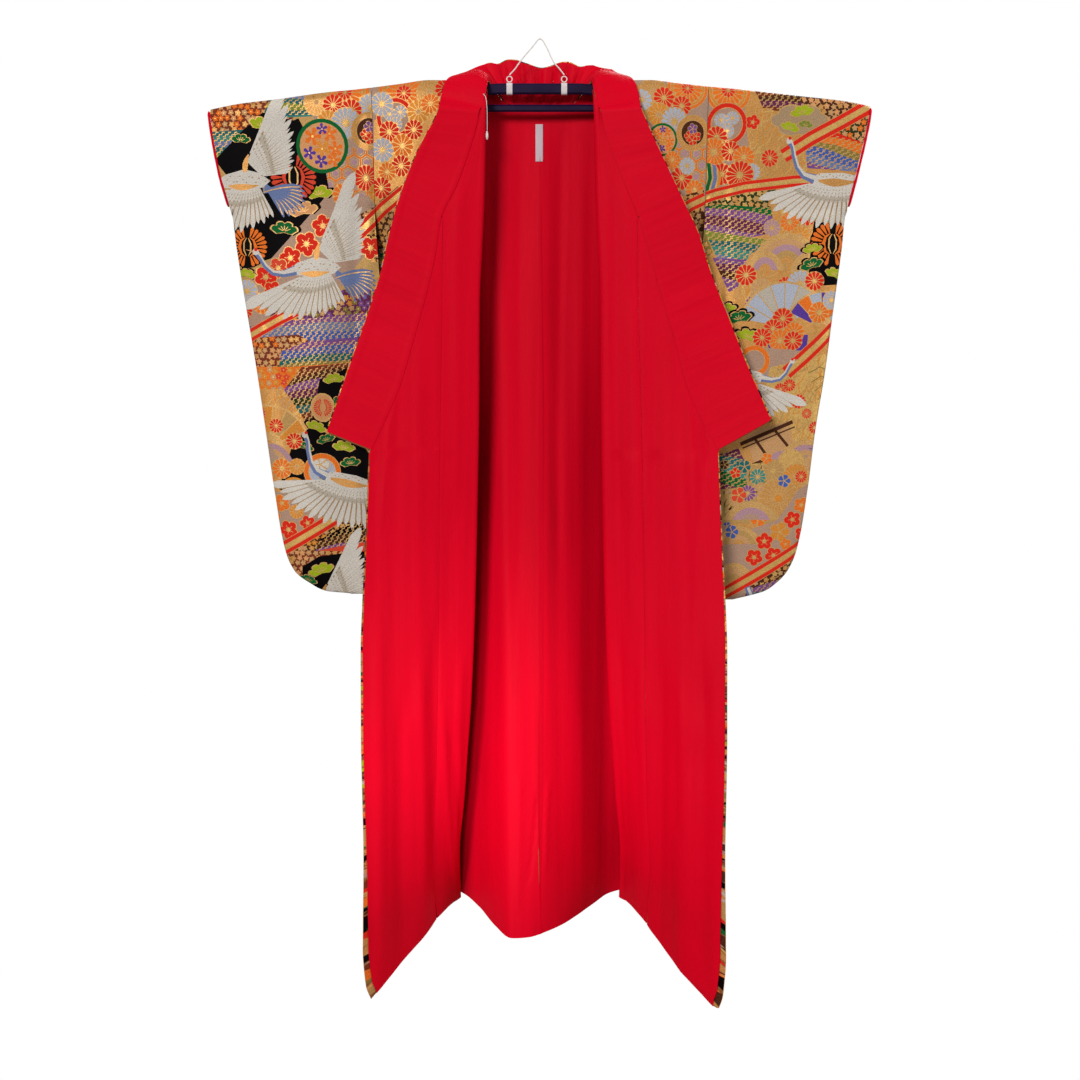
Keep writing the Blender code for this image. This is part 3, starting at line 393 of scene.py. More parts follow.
def front_top(hand, s):
    """Top edge of the front panel: shoulder ridge, then the neck seam down the flap."""
    a = np.clip(s / S_SIDE, 0, 1)
    x = BODY_SIDE_X + (NECK_X - BODY_SIDE_X) * a
    y, z = np.zeros_like(x), at(SHOULDER[hand], x)
    step = np.where(s < S_SIDE + S_FOLD, 4 * (s - S_SIDE) / S_FOLD,
                    4 + 3 * (s - S_SIDE - S_FOLD) / S_FLAP)
    end = front_plan(hand, np.float64(NECK_END_Z), np.float64(S_END))
    rows = [r[0] for r in NECK_FRONT] + [(float(end[0]), float(end[1]), NECK_END_Z)]
    rows[0] = (NECK_X, 0.0, float(at(SHOULDER[hand], NECK_X)))
    for axis, low in enumerate((x, y, z)):
        line = np.interp(step, range(8), [r[axis] for r in rows])
        low[:] = np.where(s > S_SIDE, line, low)
    return x, y, z


def front_surface(hand):
    tops = np.linspace(0, S_END, 1200)
    tx, ty, tz = front_top(hand, tops)
    px, py = front_plan(hand, tz, tops)

    def surface(s, z):
        top = np.interp(s, tops, tz)
        drop = np.maximum(top - z, 0)
        x, y = front_plan(hand, np.minimum(z, top), s)
        ease = SHOULDER_EASE + 0.022 * ramp(s, S_SIDE, S_SIDE + S_FOLD / 4)
        x = x + np.interp(s, tops, tx - px) * np.exp(-drop / 0.08)
        y = y + np.interp(s, tops, ty - py) * np.exp(-drop / ease)
        return np.stack([hand * x, y, z + 0 * x], -1)

    return surface, (lambda s: np.interp(s, tops, tz))


def back_top(hand, x):
    """Top edge of the back panel at a distance x from the centre: its y and height."""
    rows = NECK_BACK[::-1]
    keys = [r[0] for r in rows]
    neck = x < NECK_X
    y = np.where(neck, np.interp(x, keys, [r[1] for r in rows]), 0.0)
    z = np.where(neck, np.interp(x, keys, [r[2] for r in rows]), at(SHOULDER[hand], x))
    return y, z


def back_surface(hand):
    def surface(x, z):
        inner = np.minimum(x, BODY_SIDE_X)
        ty, tz = back_top(hand, inner)
        drop = np.maximum(tz - z, 0)
        y = back_y(hand * x, z)
        y = y + (ty - back_y(hand * inner, tz)) * np.exp(-drop / SHOULDER_EASE)
        return np.stack([hand * x, y, z + 0 * x], -1)

    return surface


def okumi_surface(hand):
    def surface(x, z):
        return np.stack([hand * x, flap_y(x, z), z + 0 * x], -1)

    return surface


def sleeve_surface(hand, face):
    column = 1 if hand < 0 else 2
    bottom = SLEEVE_BOTTOM[hand]

    def surface(x, z):
        inner, outer = at(SLEEVE, z, 3), at(SLEEVE, z, column)
        share = np.clip((x - inner) / np.maximum(outer - inner, 1e-4), 0, 1)
        x_top = np.clip(x, SLEEVE_IN_X, SLEEVE_OUT_X)
        drop = np.maximum(at(SHOULDER[hand], x_top) - z, 0)
        half = at(SLEEVE, z, 5) * (1 - np.exp(-drop / SHOULDER_EASE))
        cuff = 1 - 0.35 * share
        swell = np.sqrt(np.clip((1 - share) / 0.12, 0, 1))
        low = np.sqrt(np.clip((z - bottom) / 0.06, 0, 1))
        bag = ramp(z, CUFF_Z - 0.016, CUFF_Z)
        half = half * (cuff * bag + swell * low * (1 - bag))
        y = at(SLEEVE, z, 4) + face * half
        return np.stack([hand * x, y, z + 0 * x], -1)

    return surface


# ---------------------------------------------------------------- laying out a skin
def outline(points):
    """Closed border without repeated points."""
    kept = [points[0]]
    for point in points[1:]:
        if math.dist(point, kept[-1]) > 2e-5:
            kept.append(point)
    if math.dist(kept[0], kept[-1]) < 2e-5:
        kept.pop()
    return np.array(kept, float)


def area_of(border):
    x, y = border[:, 0], border[:, 1]
    return 0.5 * float(np.sum(x * np.roll(y, -1) - y * np.roll(x, -1)))


def outward(border):
    """Outward direction at each border point."""
    along = np.roll(border, -1, 0) - np.roll(border, 1, 0)
    found = np.stack([along[:, 1], -along[:, 0]], -1) * (1 if area_of(border) > 0 else -1)
    return unit_rows(found)


def inside_points(border, step_p, step_q, insets):
    """Points that fill a border: an even staggered grid, and rows close to the border."""
    low, high = border.min(0), border.max(0)
    cols = max(2, round((high[0] - low[0]) / step_p))
    rows = max(2, round((high[1] - low[1]) / step_q))
    gp = (high[0] - low[0]) / cols
    gq = (high[1] - low[1]) / rows
    p, q = np.meshgrid(np.arange(cols) + 0.25, np.arange(rows) + 0.5)
    p = p + 0.5 * (np.arange(rows)[:, None] % 2)
    grid = np.stack([low[0] + p.ravel() * gp, low[1] + q.ravel() * gq], -1)
    away = outward(border)
    rings = [border - away * d for d in insets]
    deep = max(insets) if insets else 0.0
    keep = border_gap(border, grid) > deep + 0.35 * step_p
    found = [grid[keep]]
    for ring, d in zip(rings, insets):
        found.append(ring[border_gap(border, ring) > 0.8 * d])
    return np.concatenate(found)


def border_gap(border, points):
    """Distance from each point to the nearest border segment."""
    a, b = border, np.roll(border, -1, 0)
    best = np.full(len(points), 1e9)
    for k in range(len(a)):
        d = b[k] - a[k]
        t = np.clip(((points - a[k]) @ d) / max(d @ d, 1e-16), 0, 1)
        best = np.minimum(best, np.linalg.norm(points - a[k] - t[:, None] * d, axis=1))
    return best


def triangulate(border, points, shapes=()):
    """Triangles inside a border, each with the number of the topmost shape over it.

    A shape is (outline, dye, scope): it shows only inside the shape numbered scope.
    """
    flat, faces = [], []
    for ring in (border, *(s[0] for s in shapes)):
        start = len(flat)
        ring = ring if area_of(ring) > 0 else ring[::-1]
        flat.extend(Vector((float(p[0]), float(p[1]))) for p in ring)
        faces.append(list(range(start, len(flat))))
    flat.extend(Vector(p) for p in points)
    verts, _, tris, _, _, source = delaunay_2d_cdt(flat, [], faces, 0, 2e-6, True)
    flat = np.array([tuple(v) for v in verts])
    scope = [-1] + [-1 if s[2] is None else s[2] + 1 for s in shapes]
    # A figure whose outline crosses itself floods the panel; it is left out.
    corner = flat[np.array(tris)]
    across, up = corner[:, 1] - corner[:, 0], corner[:, 2] - corner[:, 0]
    size = 0.5 * np.abs(across[:, 0] * up[:, 1] - across[:, 1] * up[:, 0])
    cover = np.zeros(len(faces))
    for k, found in enumerate(source):
        cover[found] += size[k]
    sound = [True] + [cover[k + 1] < 1.2 * abs(area_of(s[0])) + 1e-6 for k, s in enumerate(shapes)]
    kept, top = [], []
    for tri, found in zip(tris, source):
        if 0 not in found:
            continue
        over = [f for f in found if sound[f] and (scope[f] < 0 or scope[f] in found)]
        kept.append(tri)
        top.append(max(over) - 1)
    kept, top = np.array(kept), np.array(top)
    used = np.unique(kept)
    index = np.full(len(flat), -1)
    index[used] = np.arange(len(used))
    return flat[used], index[kept], top


def rim_of(tris):
    """Border edges of a set of counter-clockwise triangles, as ordered pairs."""
    edges = np.concatenate([tris[:, [0, 1]], tris[:, [1, 2]], tris[:, [2, 0]]])
    size = edges.max() + 1
    code, back = edges[:, 0] * size + edges[:, 1], edges[:, 1] * size + edges[:, 0]
    return edges[~np.isin(code, back)]


def loop_of(edges):
    """Point numbers once round a closed run of directed edges."""
    after = {int(a): int(b) for a, b in edges}
    loop = [int(edges[0][0])]
    while after[loop[-1]] != loop[0]:
        loop.append(after[loop[-1]])
    return loop


def crossed(border, shapes):
    """The border with a point wherever a shape's outline crosses it."""
    flat, tris, _ = triangulate(border, np.zeros((0, 2)), shapes)
    return flat[loop_of(rim_of(tris))]


class Piece:
    """Gathers closed shells into one mesh with cloth coordinates, dyes and true normals."""

    def __init__(self, name):
        self.name, self.cut = name, None
        self.verts, self.faces, self.normals = [], [], []
        self.uvs, self.dyes, self.kinds = [], [], []
        self.count = 0

    def add(self, verts, faces, normals, uvs, dyes, kind=0):
        """Triangles or quads with one normal and cloth coordinate for each corner."""
        for face in faces:
            self.faces.append([int(k) + self.count for k in face])
        self.verts.append(verts)
        self.normals.append(normals)
        self.uvs.append(uvs)
        self.dyes.append(dyes)
        self.kinds += [kind] * len(faces)
        self.count += len(verts)

    def shell(self, surface, border, step=(0.008, 0.010), insets=(0.0015, 0.004, 0.008),
              thick=OUTER_T, offset=0.0, shapes=(), back_shapes=(), back_dye=0, ground=0,
              probe=None, ridge=None, extra=None, sparse=1, kind=0, back_kind=0,
              uv_shift=(0.0, 0.0)):
        """A closed wall of one thickness laid on a surface inside a border.

        probe is (p, q, direction): the patterned side faces that way there.
        ridge(p, q) gives 3-D normals that replace the surface's own where they aren't nan.
        """
        where = np.array([[probe[0], probe[1]]], float)
        turn = 1 if float(lay(surface, where, 1)[1][0] @ np.array(probe[2], float)) > 0 else -1
        self.cut = cut_size(surface, border)
        if back_shapes:
            border = crossed(border, back_shapes)
        points = inside_points(border, *step, insets)
        if extra is not None:
            inside = within(border, extra) & (border_gap(border, extra) > 0.0012)
            points = np.concatenate([points, extra[inside]])
        flat, tris, top = triangulate(border, points, shapes)
        place, normal = lay(surface, flat, turn)
        set_rim(normal, ridge, flat)
        high = place + normal * (offset + thick / 2)
        low = place + normal * (offset - thick / 2)
        count = len(flat)
        # The hidden side is laid out again without the pattern, on the same rim.
        edges = rim_of(tris)
        back_top = None
        if shapes:
            plain, back_tris, back_place, back_top = self.plain_side(
                surface, flat, edges, points[::sparse], low, normal, offset - thick / 2, turn,
                ridge,
                back_shapes)
        else:
            plain, back_tris, back_place = flat, tris, low
        flip = facing(high, tris, normal)
        front = tris if flip > 0 else tris[:, ::-1]
        back_n = normal if not shapes else self.back_normal
        rear = back_tris[:, ::-1] if flip > 0 else back_tris
        shift = np.array(uv_shift)
        dye = [ground if t < 0 else shapes[t][1] for t in top]
        base = self.count
        self.add(high, front, normal[front.reshape(-1)], flat[front.reshape(-1)] + shift, dye, kind)
        self.add(back_place, rear, -back_n[rear.reshape(-1)], plain[rear.reshape(-1)] + shift,
                 [back_dye if back_top is None or t < 0 else back_shapes[t][1]
                  for t in (back_top if back_top is not None else [0] * len(rear))], back_kind)
        quads = []
        for a, b in edges:
            a2, b2 = (a, b) if not shapes else (self.rim_map[a], self.rim_map[b])
            quad = [base + b, base + a, base + count + a2, base + count + b2]
            if flip < 0:
                quad.reverse()
            quads.append(quad)
        rim_normals, rim_uvs, rim_dyes = [], [], []
        every = np.concatenate([high, back_place])
        for quad, (a, b) in zip(quads, edges):
            corner = [every[k - base] for k in quad]
            n = np.cross(corner[2] - corner[0], corner[3] - corner[1])
            n = n / max(np.linalg.norm(n), 1e-12)
            rim_normals += [n] * 4
            rim_uvs += [flat[a] + shift, flat[b] + shift, flat[b] + shift, flat[a] + shift]
            rim_dyes.append(ground)
        self.faces += quads
        self.normals.append(rim_normals)
        self.uvs.append(rim_uvs)
        self.dyes.append(rim_dyes)
        self.kinds += [kind] * len(quads)
        return self

    def plain_side(self, surface, flat, edges, points, low, normal, offset, turn, ridge, shapes):
        """The reverse of a patterned skin: same rim, fewer triangles."""
        loop = loop_of(edges)
        ring = flat[loop]
        plain, tris, top = triangulate(ring, points, shapes)
        place, n = lay(surface, plain, turn)
        set_rim(n, ridge, plain)
        back = place + n * offset
        # Rim points keep the very places of the patterned side's rim.
        order = {tuple(np.round(p, 6)): k for k, p in enumerate(plain)}
        self.rim_map = {}
        for k in loop:
            key = tuple(np.round(flat[k], 6))
            found = order.get(key)
            if found is None:
                found = int(np.argmin(np.linalg.norm(plain - flat[k], axis=1)))
            self.rim_map[k] = found
            back[found] = low[k]
            n[found] = normal[k]
        self.back_normal = n
        return plain, tris, back, top

    def build(self, materials, replaces, dye_table):
        mesh = bpy.data.meshes.new(self.name)
        verts = np.concatenate(self.verts)
        mesh.from_pydata(verts.tolist(), [], self.faces)
        for found in materials:
            mesh.materials.append(found)
        mesh.polygons.foreach_set("material_index", np.array(self.kinds, np.int32))
        mesh.polygons.foreach_set("use_smooth", np.ones(len(self.faces), bool))
        uv = mesh.uv_layers.new(name="cloth")
        flat = np.concatenate([np.asarray(u, float).reshape(-1, 2) for u in self.uvs])
        uv.data.foreach_set("uv", flat.astype(np.float32).ravel())
        if dye_table is not None:
            dyes = mesh.color_attributes.new(name="dye", type="FLOAT_COLOR", domain="CORNER")
            index = np.concatenate([np.asarray(d, int) for d in self.dyes])
            sizes = np.array([len(f) for f in self.faces])
            colour = np.asarray(dye_table, np.float32)[np.repeat(index, sizes)]
            dyes.data.foreach_set("color", colour.ravel())
        normals = np.concatenate([np.asarray(n, float).reshape(-1, 3) for n in self.normals])
        mesh.normals_split_custom_set(normals.tolist())
        obj = bpy.data.objects.new(self.name, mesh)
        bpy.context.scene.collection.objects.link(obj)
        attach(obj, "root")
        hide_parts(*replaces)
        return obj


def cut_size(surface, border):
    """Widest and longest run over the cloth inside a border."""
    low, high = border.min(0), border.max(0)
    runs = []
    for k in (0, 1):
        best = 0.0
        for share in np.linspace(0.04, 0.96, 12):
            line = np.full((160, 2), low[1 - k] + (high[1 - k] - low[1 - k]) * share)
            line[:, k] = np.linspace(low[k], high[k], 160)
            on = within(border, line)
            place = surface(line[:, 0], line[:, 1])
            pieces = np.linalg.norm(np.diff(place, axis=0), axis=1)
            best = max(best, float(pieces[on[1:] & on[:-1]].sum())
                       + 2 * float(high[k] - low[k]) / 160)
        runs.append(best)
    return runs


def lay(surface, flat, turn):
    """3-D places and unit normals of flat points on a surface."""
    p, q = flat[:, 0], flat[:, 1]
    step = 2e-4
    place = surface(p, q)
    dp = surface(p + step, q) - surface(p - step, q)
    dq = surface(p, q + step) - surface(p, q - step)
    normal = unit_rows(np.cross(dp, dq)) * turn
    return place, normal


def set_rim(normal, ridge, flat):
    """Puts in the normals that ridge gives; where it gives nan they stay."""
    if ridge is not None:
        fixed = ridge(flat[:, 0], flat[:, 1])
        good = ~np.isnan(fixed[:, 0])
        normal[good] = fixed[good]


def facing(verts, tris, normal):
    """+1 where the triangles' own order already faces along the normals."""
    a, b, c = (verts[tris[:, k]] for k in range(3))
    own = np.cross(b - a, c - a)
    return 1 if float(np.sum(own * normal[tris[:, 0]])) > 0 else -1


# ---------------------------------------------------------------- folds laid one by one
# start p, q, end p, q, half width, height towards +Y, bow
BACK_FOLDS = [
    (0.000, -0.16, 0.006, -1.96, 0.020, -0.0041, 0.004),
    (-0.042, -0.20, -0.050, -1.20, 0.014, 0.0041, 0.003),
    (-0.030, -0.75, -0.022, -1.96, 0.018, 0.0038, 0.003),
    (0.046, -0.18, 0.040, -1.10, 0.013, 0.0035, -0.004),
    (0.030, -0.80, 0.052, -1.96, 0.018, 0.0041, 0.004),
    (-0.085, -0.25, -0.090, -1.90, 0.014, -0.0030, 0.006),
    (0.088, -0.24, 0.098, -1.92, 0.015, -0.0032, -0.005),
    (-0.006, -1.62, -0.028, -1.83, 0.006, 0.0026, 0.003),
    (0.018, -1.60, 0.012, -1.80, 0.006, -0.0024, -0.002),
    (-0.048, -1.58, -0.052, -1.88, 0.008, -0.0024, 0.002),
    (-0.150, -0.18, -0.205, -1.40, 0.022, 0.0061, 0.010),
    (0.160, -0.17, 0.215, -1.50, 0.024, 0.0061, -0.010),
    (-0.245, -0.13, -0.262, -0.95, 0.020, -0.0054, 0.008),
    (0.250, -0.13, 0.275, -1.00, 0.020, -0.0054, -0.008),
    (-0.285, -0.60, -0.292, -1.94, 0.018, 0.0047, 0.004),
    (0.290, -0.65, 0.285, -1.94, 0.018, 0.0047, -0.004),
    (-0.200, -1.20, -0.170, -1.95, 0.026, -0.0068, 0.004),
    (0.195, -1.15, 0.165, -1.95, 0.026, -0.0068, -0.004),
]

# on the turned-back fronts, in distance from the centre and height
FLAP_FOLDS = {
    -1: [
        (0.196, -1.48, 0.178, -1.86, 0.008, 0.0026, 0.003),
        (0.215, -1.42, 0.205, -1.90, 0.007, -0.0024, 0.002),
        (0.240, -1.60, 0.246, -1.96, 0.007, 0.0022, 0.002),
        (0.165, -0.30, 0.185, -0.95, 0.013, -0.0032, 0.003),
        (0.185, -0.50, 0.205, -1.30, 0.016, 0.0035, -0.004),
        (0.250, -0.62, 0.262, -1.45, 0.015, -0.0026, 0.004),
        (0.300, -0.72, 0.318, -1.50, 0.018, 0.0029, 0.003),
        (0.225, -1.20, 0.238, -1.93, 0.013, 0.0046, 0.004),
        (0.262, -1.30, 0.272, -1.94, 0.012, -0.0043, -0.003),
        (0.300, -1.38, 0.308, -1.95, 0.014, 0.0046, 0.004),
        (0.345, -1.20, 0.348, -1.96, 0.013, -0.0038, 0.003),
        (0.175, -1.30, 0.200, -1.92, 0.010, -0.0043, 0.004),
        (0.345, -0.85, 0.352, -1.15, 0.014, 0.0023, 0.000),
        (0.322, -0.60, 0.348, -0.86, 0.006, 0.0030, 0.003),
        (0.300, -0.66, 0.336, -0.98, 0.007, -0.0024, 0.002),
    ],
    1: [
        (0.182, -1.46, 0.196, -1.86, 0.008, -0.0026, 0.003),
        (0.222, -1.50, 0.236, -1.92, 0.008, 0.0024, 0.002),
        (0.300, -1.66, 0.312, -1.98, 0.009, -0.0024, 0.002),
        (0.155, -0.28, 0.170, -1.00, 0.013, 0.0032, -0.003),
        (0.190, -0.55, 0.200, -1.20, 0.015, -0.0035, 0.004),
        (0.238, -0.60, 0.255, -1.50, 0.017, 0.0032, 0.003),
        (0.300, -0.80, 0.305, -1.50, 0.018, -0.0032, 0.004),
        (0.335, -0.90, 0.345, -1.40, 0.016, 0.0026, -0.003),
        (0.175, -1.25, 0.195, -1.92, 0.012, 0.0049, 0.003),
        (0.220, -1.30, 0.235, -1.94, 0.011, -0.0041, 0.003),
        (0.268, -1.32, 0.275, -1.95, 0.015, 0.0049, -0.003),
        (0.310, -1.35, 0.318, -1.95, 0.012, -0.0043, 0.004),
        (0.352, -1.30, 0.352, -1.96, 0.014, 0.0038, 0.003),
        (0.325, -0.58, 0.352, -0.86, 0.006, 0.0030, 0.003),
        (0.300, -0.62, 0.332, -0.96, 0.007, -0.0024, 0.002),
    ],
}

SLEEVE_FOLDS = [
    (0.365, -0.13, 0.385, -0.60, 0.016, 0.0050, 0.006),
    (0.372, -0.45, 0.330, -1.05, 0.018, -0.0030, 0.004),
    (0.455, -0.14, 0.470, -0.75, 0.030, -0.0022, -0.010),
    (0.540, -0.15, 0.520, -0.90, 0.034, 0.0024, 0.012),
    (0.600, -0.18, 0.575, -0.62, 0.022, -0.0020, 0.006),
    (0.470, -0.70, 0.440, -1.12, 0.026, 0.0026, -0.006),
    (0.400, -0.80, 0.370, -1.13, 0.020, -0.0026, 0.004),
    (0.300, -0.85, 0.290, -1.13, 0.018, 0.0024, 0.003),
]


def waves(seed, p, q, high):
    return high * uneven(seed, p, q)


def back_folds(hand):
    def field(x, z):
        sx = hand * x
        drop = back_top(hand, np.minimum(x, BODY_SIDE_X))[1] - z
        calm = ramp(drop, 0.004, 0.07)
        seam = DRAWN_IN * np.exp(-((x - BODY_SIDE_X) / 0.010) ** 2) * ramp(drop, 0.01, 0.05)
        seam = seam * (1 - ramp(-z, 0.36, 0.46))
        middle = -0.0010 * np.exp(-(x / 0.0035) ** 2)
        d = (crease_field(BACK_FOLDS, sx, z) + waves(11, sx, z, 0.0016)
             + waves(12, sx, z * 2, 0.0007))
        return calm * d - seam * calm + middle * calm
    return field


def flap_folds(hand):
    """Folds of the turned-back front, zero along the collar so that every layer agrees."""
    seed = 21 if hand < 0 else 31

    def field(x, z):
        collar = at(COLLAR_SEAM[hand], np.maximum(z, COLLAR_END_Z))
        calm = np.where(z > COLLAR_END_Z, ramp(collar - x, 0.0, 0.02), 1.0)
        calm = np.where(z > COLLAR_END_Z, calm, ramp(COLLAR_END_Z - z, -0.01, 0.03))
        calm = calm * ramp(-z, 0.16, 0.26)
        d = crease_field(FLAP_FOLDS[hand], x, z) + waves(seed, x, z, 0.0010)
        d = d + waves(seed + 1, x, z * 2, 0.0005)
        # Stitching draws the cloth in a little along the overlap seam.
        seam = at(OKUMI_SEAM, z) + SEAM_LOW * hand * smooth_low(z)
        d = d + 0.0009 * np.exp(-((x - seam) / 0.004) ** 2) * ramp(-z, 0.40, 0.46)
        return calm * d
    return field


def flap_moved(hand, surface, field, weight):
    """The flap's surface with its folds pushed out square to it."""
    def moved(p, z):
        place = surface(p, z)
        w = weight(p)
        leave = np.arctan(at(FLAP_SLOPE, z))
        d = field(hand * place[..., 0], z) * w
        place[..., 0] += -hand * np.sin(leave) * d
        place[..., 1] += np.cos(leave) * d
        return place
    return moved


def front_moved(hand):
    surface, top = front_surface(hand)
    on_flap = flap_moved(hand, surface, flap_folds(hand),
                         lambda s: ramp(s, S_SIDE + S_FOLD * 0.7, S_SIDE + S_FOLD + 0.012))

    def moved(s, z):
        place = on_flap(s, z)
        drop = top(s) - z
        side = 1 - ramp(s, S_SIDE - 0.03, S_SIDE)
        calm = ramp(drop, 0.004, 0.07) * side
        folds = [
            (0.030, -0.13, 0.060, -1.80, 0.020, 0.0030, 0.010),
            (0.095, -0.14, 0.120, -1.85, 0.024, -0.0035, 0.008),
            (0.170, -0.12, 0.180, -1.80, 0.018, 0.0025, 0.006),
        ]
        d = crease_field(folds, s, z) + waves(41, hand * s, z, 0.0012)
        seam = DRAWN_IN * np.exp(-(s / 0.010) ** 2) * ramp(drop, 0.01, 0.05)
        seam = seam * (1 - ramp(-z, 0.36, 0.46))
        place[..., 1] += calm * (d + seam)
        return place

    return moved, top


def back_moved(hand):
    surface, field = back_surface(hand), back_folds(hand)

    def moved(x, z):
        place = surface(x, z)
        place[..., 1] += field(x, z)
        return place
    return moved


def okumi_moved(hand):
    return flap_moved(hand, okumi_surface(hand), flap_folds(hand), lambda x: 1.0)


def sleeve_moved(hand, face):
    surface = sleeve_surface(hand, face)
    column = 1 if hand < 0 else 2
    bottom = SLEEVE_BOTTOM[hand]

    def moved(x, z):
        place = surface(x, z)
        inner, outer = at(SLEEVE, z, 3), at(SLEEVE, z, column)
        top = at(SHOULDER[hand], np.clip(x, SLEEVE_IN_X, SLEEVE_OUT_X))
        calm = ramp(top - z, 0.006, 0.06) * ramp(z - bottom, 0.004, 0.05)
        calm = calm * np.where(z < CUFF_Z, ramp(outer - x, 0.003, 0.035), 1.0)
        seed = 51 + (hand > 0) * 2 + (face > 0)
        d = crease_field(SLEEVE_FOLDS, x, z) * (1.0 if face < 0 else 0.8)
        d = d + waves(seed, hand * x, z, 0.0014) + waves(seed + 9, hand * x, 2 * z, 0.0005)
        # The seam to the body is drawn in between the two panels.
        seam = np.exp(-((x - inner) / 0.009) ** 2) * (1 - ramp(-z, 0.36, 0.46))
        d = d - face * 0.0030 * seam
        # Puckers run in from the seam stitching.
        fine = np.sin(2 * math.pi * z / 0.031 + 1.7 * np.sin(z * 37)) * np.exp(-(x - inner) / 0.03)
        d = d + 0.0006 * fine * ramp(x - inner, 0.0, 0.004)
        place[..., 1] += calm * d
        return place
    return moved


# ---------------------------------------------------------------- collar surface
def collar_lines():
    """Seam line, free edge line, ruche height and arc length of the collar, end to end."""
    sides = {}
    heights = [NECK_END_Z + (YOKE_Z - NECK_END_Z) * s
               for s in (0.0, 0.015, 0.055, 0.23, 0.52, 0.76, 1.0)]
    heights += [-0.50, -0.60, -0.70, -0.83]
    for hand in (-1, 1):
        rows = [(*seam, *free) for seam, free in NECK_FRONT]
        for z, edge in zip(heights, COLLAR_EDGE[hand]):
            x = float(at(COLLAR_SEAM[hand], z))
            rows.append((x, float(flap_y(np.float64(x), np.float64(z))), z,
                         edge[0], float(flap_y(np.float64(edge[0]), np.float64(edge[2]))), edge[2]))
        rows = np.array(rows)
        run = np.concatenate([[0], np.cumsum(np.linalg.norm(np.diff(rows[:, 3:], axis=0), axis=1))])
        fine = np.linspace(0, run[-1], 150)
        dense = np.stack([np.interp(fine, *spline(run, rows[:, k])) for k in range(6)], -1)
        low = dense[:, 2] < NECK_END_Z
        dense[low, 1] = flap_y(dense[low, 0], dense[low, 2])
        low = dense[:, 5] < NECK_END_Z
        dense[low, 4] = flap_y(dense[low, 3], dense[low, 5])
        sides[hand] = dense * np.array([hand, 1, 1, hand, 1, 1])
    share = np.linspace(0, 1, 260)
    x = -NECK_X + 2 * NECK_X * share
    rows = NECK_BACK[::-1]
    keys = [r[0] for r in rows]
    seam = np.stack([x, np.interp(np.abs(x), keys, [r[1] for r in rows]),
                     np.interp(np.abs(x), keys, [r[2] for r in rows])], -1)
    top_x = -0.152 + 0.304 * share
    top_y = 0.040 + 0.004 * np.cos(math.pi * (share - 0.5)) - 0.009 * np.abs(2 * share - 1) ** 3
    free = np.stack([top_x, top_y, at(NAPE_TOP, top_x)], -1)
    ruche = 0.0035 * np.sin(2 * math.pi * 9 * share + 1.2 * np.sin(9 * share))
    ruche = ruche * np.sin(math.pi * share)
    fine = 0.0016 * np.sin(2 * math.pi * 26 * share + 2.2 * np.sin(17 * share + 0.6))
    fine = fine * np.sin(math.pi * share) ** 0.5
    nape = np.concatenate([seam, free], -1)
    line = np.concatenate([sides[-1][::-1][:-1], nape, sides[1][1:]])
    zero = np.zeros(len(sides[-1]) - 1)
    bump = np.concatenate([zero, ruche, zero])
    crimp = np.concatenate([zero, fine, zero])
    middle = 0.5 * (line[:, :3] + line[:, 3:])
    run = np.concatenate([[0], np.cumsum(np.linalg.norm(np.diff(middle, axis=0), axis=1))])
    return run, line, bump, crimp



def neck_turn(x, y):
    """1 where the band turns round the side of the neck, 0 away from there."""
    return np.clip((np.abs(x) - 0.060) / 0.030, 0, 1) * np.clip((y + 0.050) / 0.025, 0, 1)


def collar_surface():
    run, line, bump, crimp = collar_lines()
    length = run[-1]

    def surface(p, q):
        """p runs along the band from its left end, q from its seam to its free edge."""
        p = np.clip(p, 0, length)
        seam = np.stack([np.interp(p, run, line[:, k]) for k in range(3)], -1)
        free = np.stack([np.interp(p, run, line[:, 3 + k]) for k in range(3)], -1)
        share = np.clip(q / COLLAR_W, -0.05, 1)[..., None]
        turn = neck_turn(seam[..., 0], seam[..., 1])[..., None]
        start = seam + unit_rows(free - seam) * SEAM_GAP * 1.5
        start = start + turn * np.array([0.0, -0.0004, 0.0020])
        place = start + (free - start) * share
        share = np.clip(share, 0, 1)
        s = share[..., 0]
        b, c = np.interp(p, run, bump), np.interp(p, run, crimp)
        place[..., 1] += (b * s + b * np.sin(math.pi * s)
                          + c * np.sin(math.pi * np.clip(s, 0, 1)) * (1 - 0.4 * s))
        place = place + turn * np.sin(math.pi * share**0.6) * np.array([0.0, -0.004, 0.011])
        # Small puckers where the band turns over the shoulder, and a faint wave down the flaps.
        end = np.minimum(p, length - p)
        flat = 1 - ramp(end, 0.62, 0.74)
        wave = 0.0004 * np.sin(2 * math.pi * p / 0.083 + 2 * np.sin(p * 19)) * np.sin(math.pi * s)
        # The padded band stands a little proud along its seam.
        wave = (wave + 0.0006 * np.exp(-((q - 0.004) / 0.005) ** 2)
                + 0.0008 * np.exp(-((q - 0.092) / 0.006) ** 2))
        place[..., 1] -= wave * flat * ramp(end, 0.02, 0.08)
        return place

    return surface, length


# ---------------------------------------------------------------- borders
def steps(a, b, size):
    return np.linspace(a, b, max(2, int(abs(b - a) / size) + 2))


def joined(*runs):
    return outline([tuple(p) for run in runs for p in run])


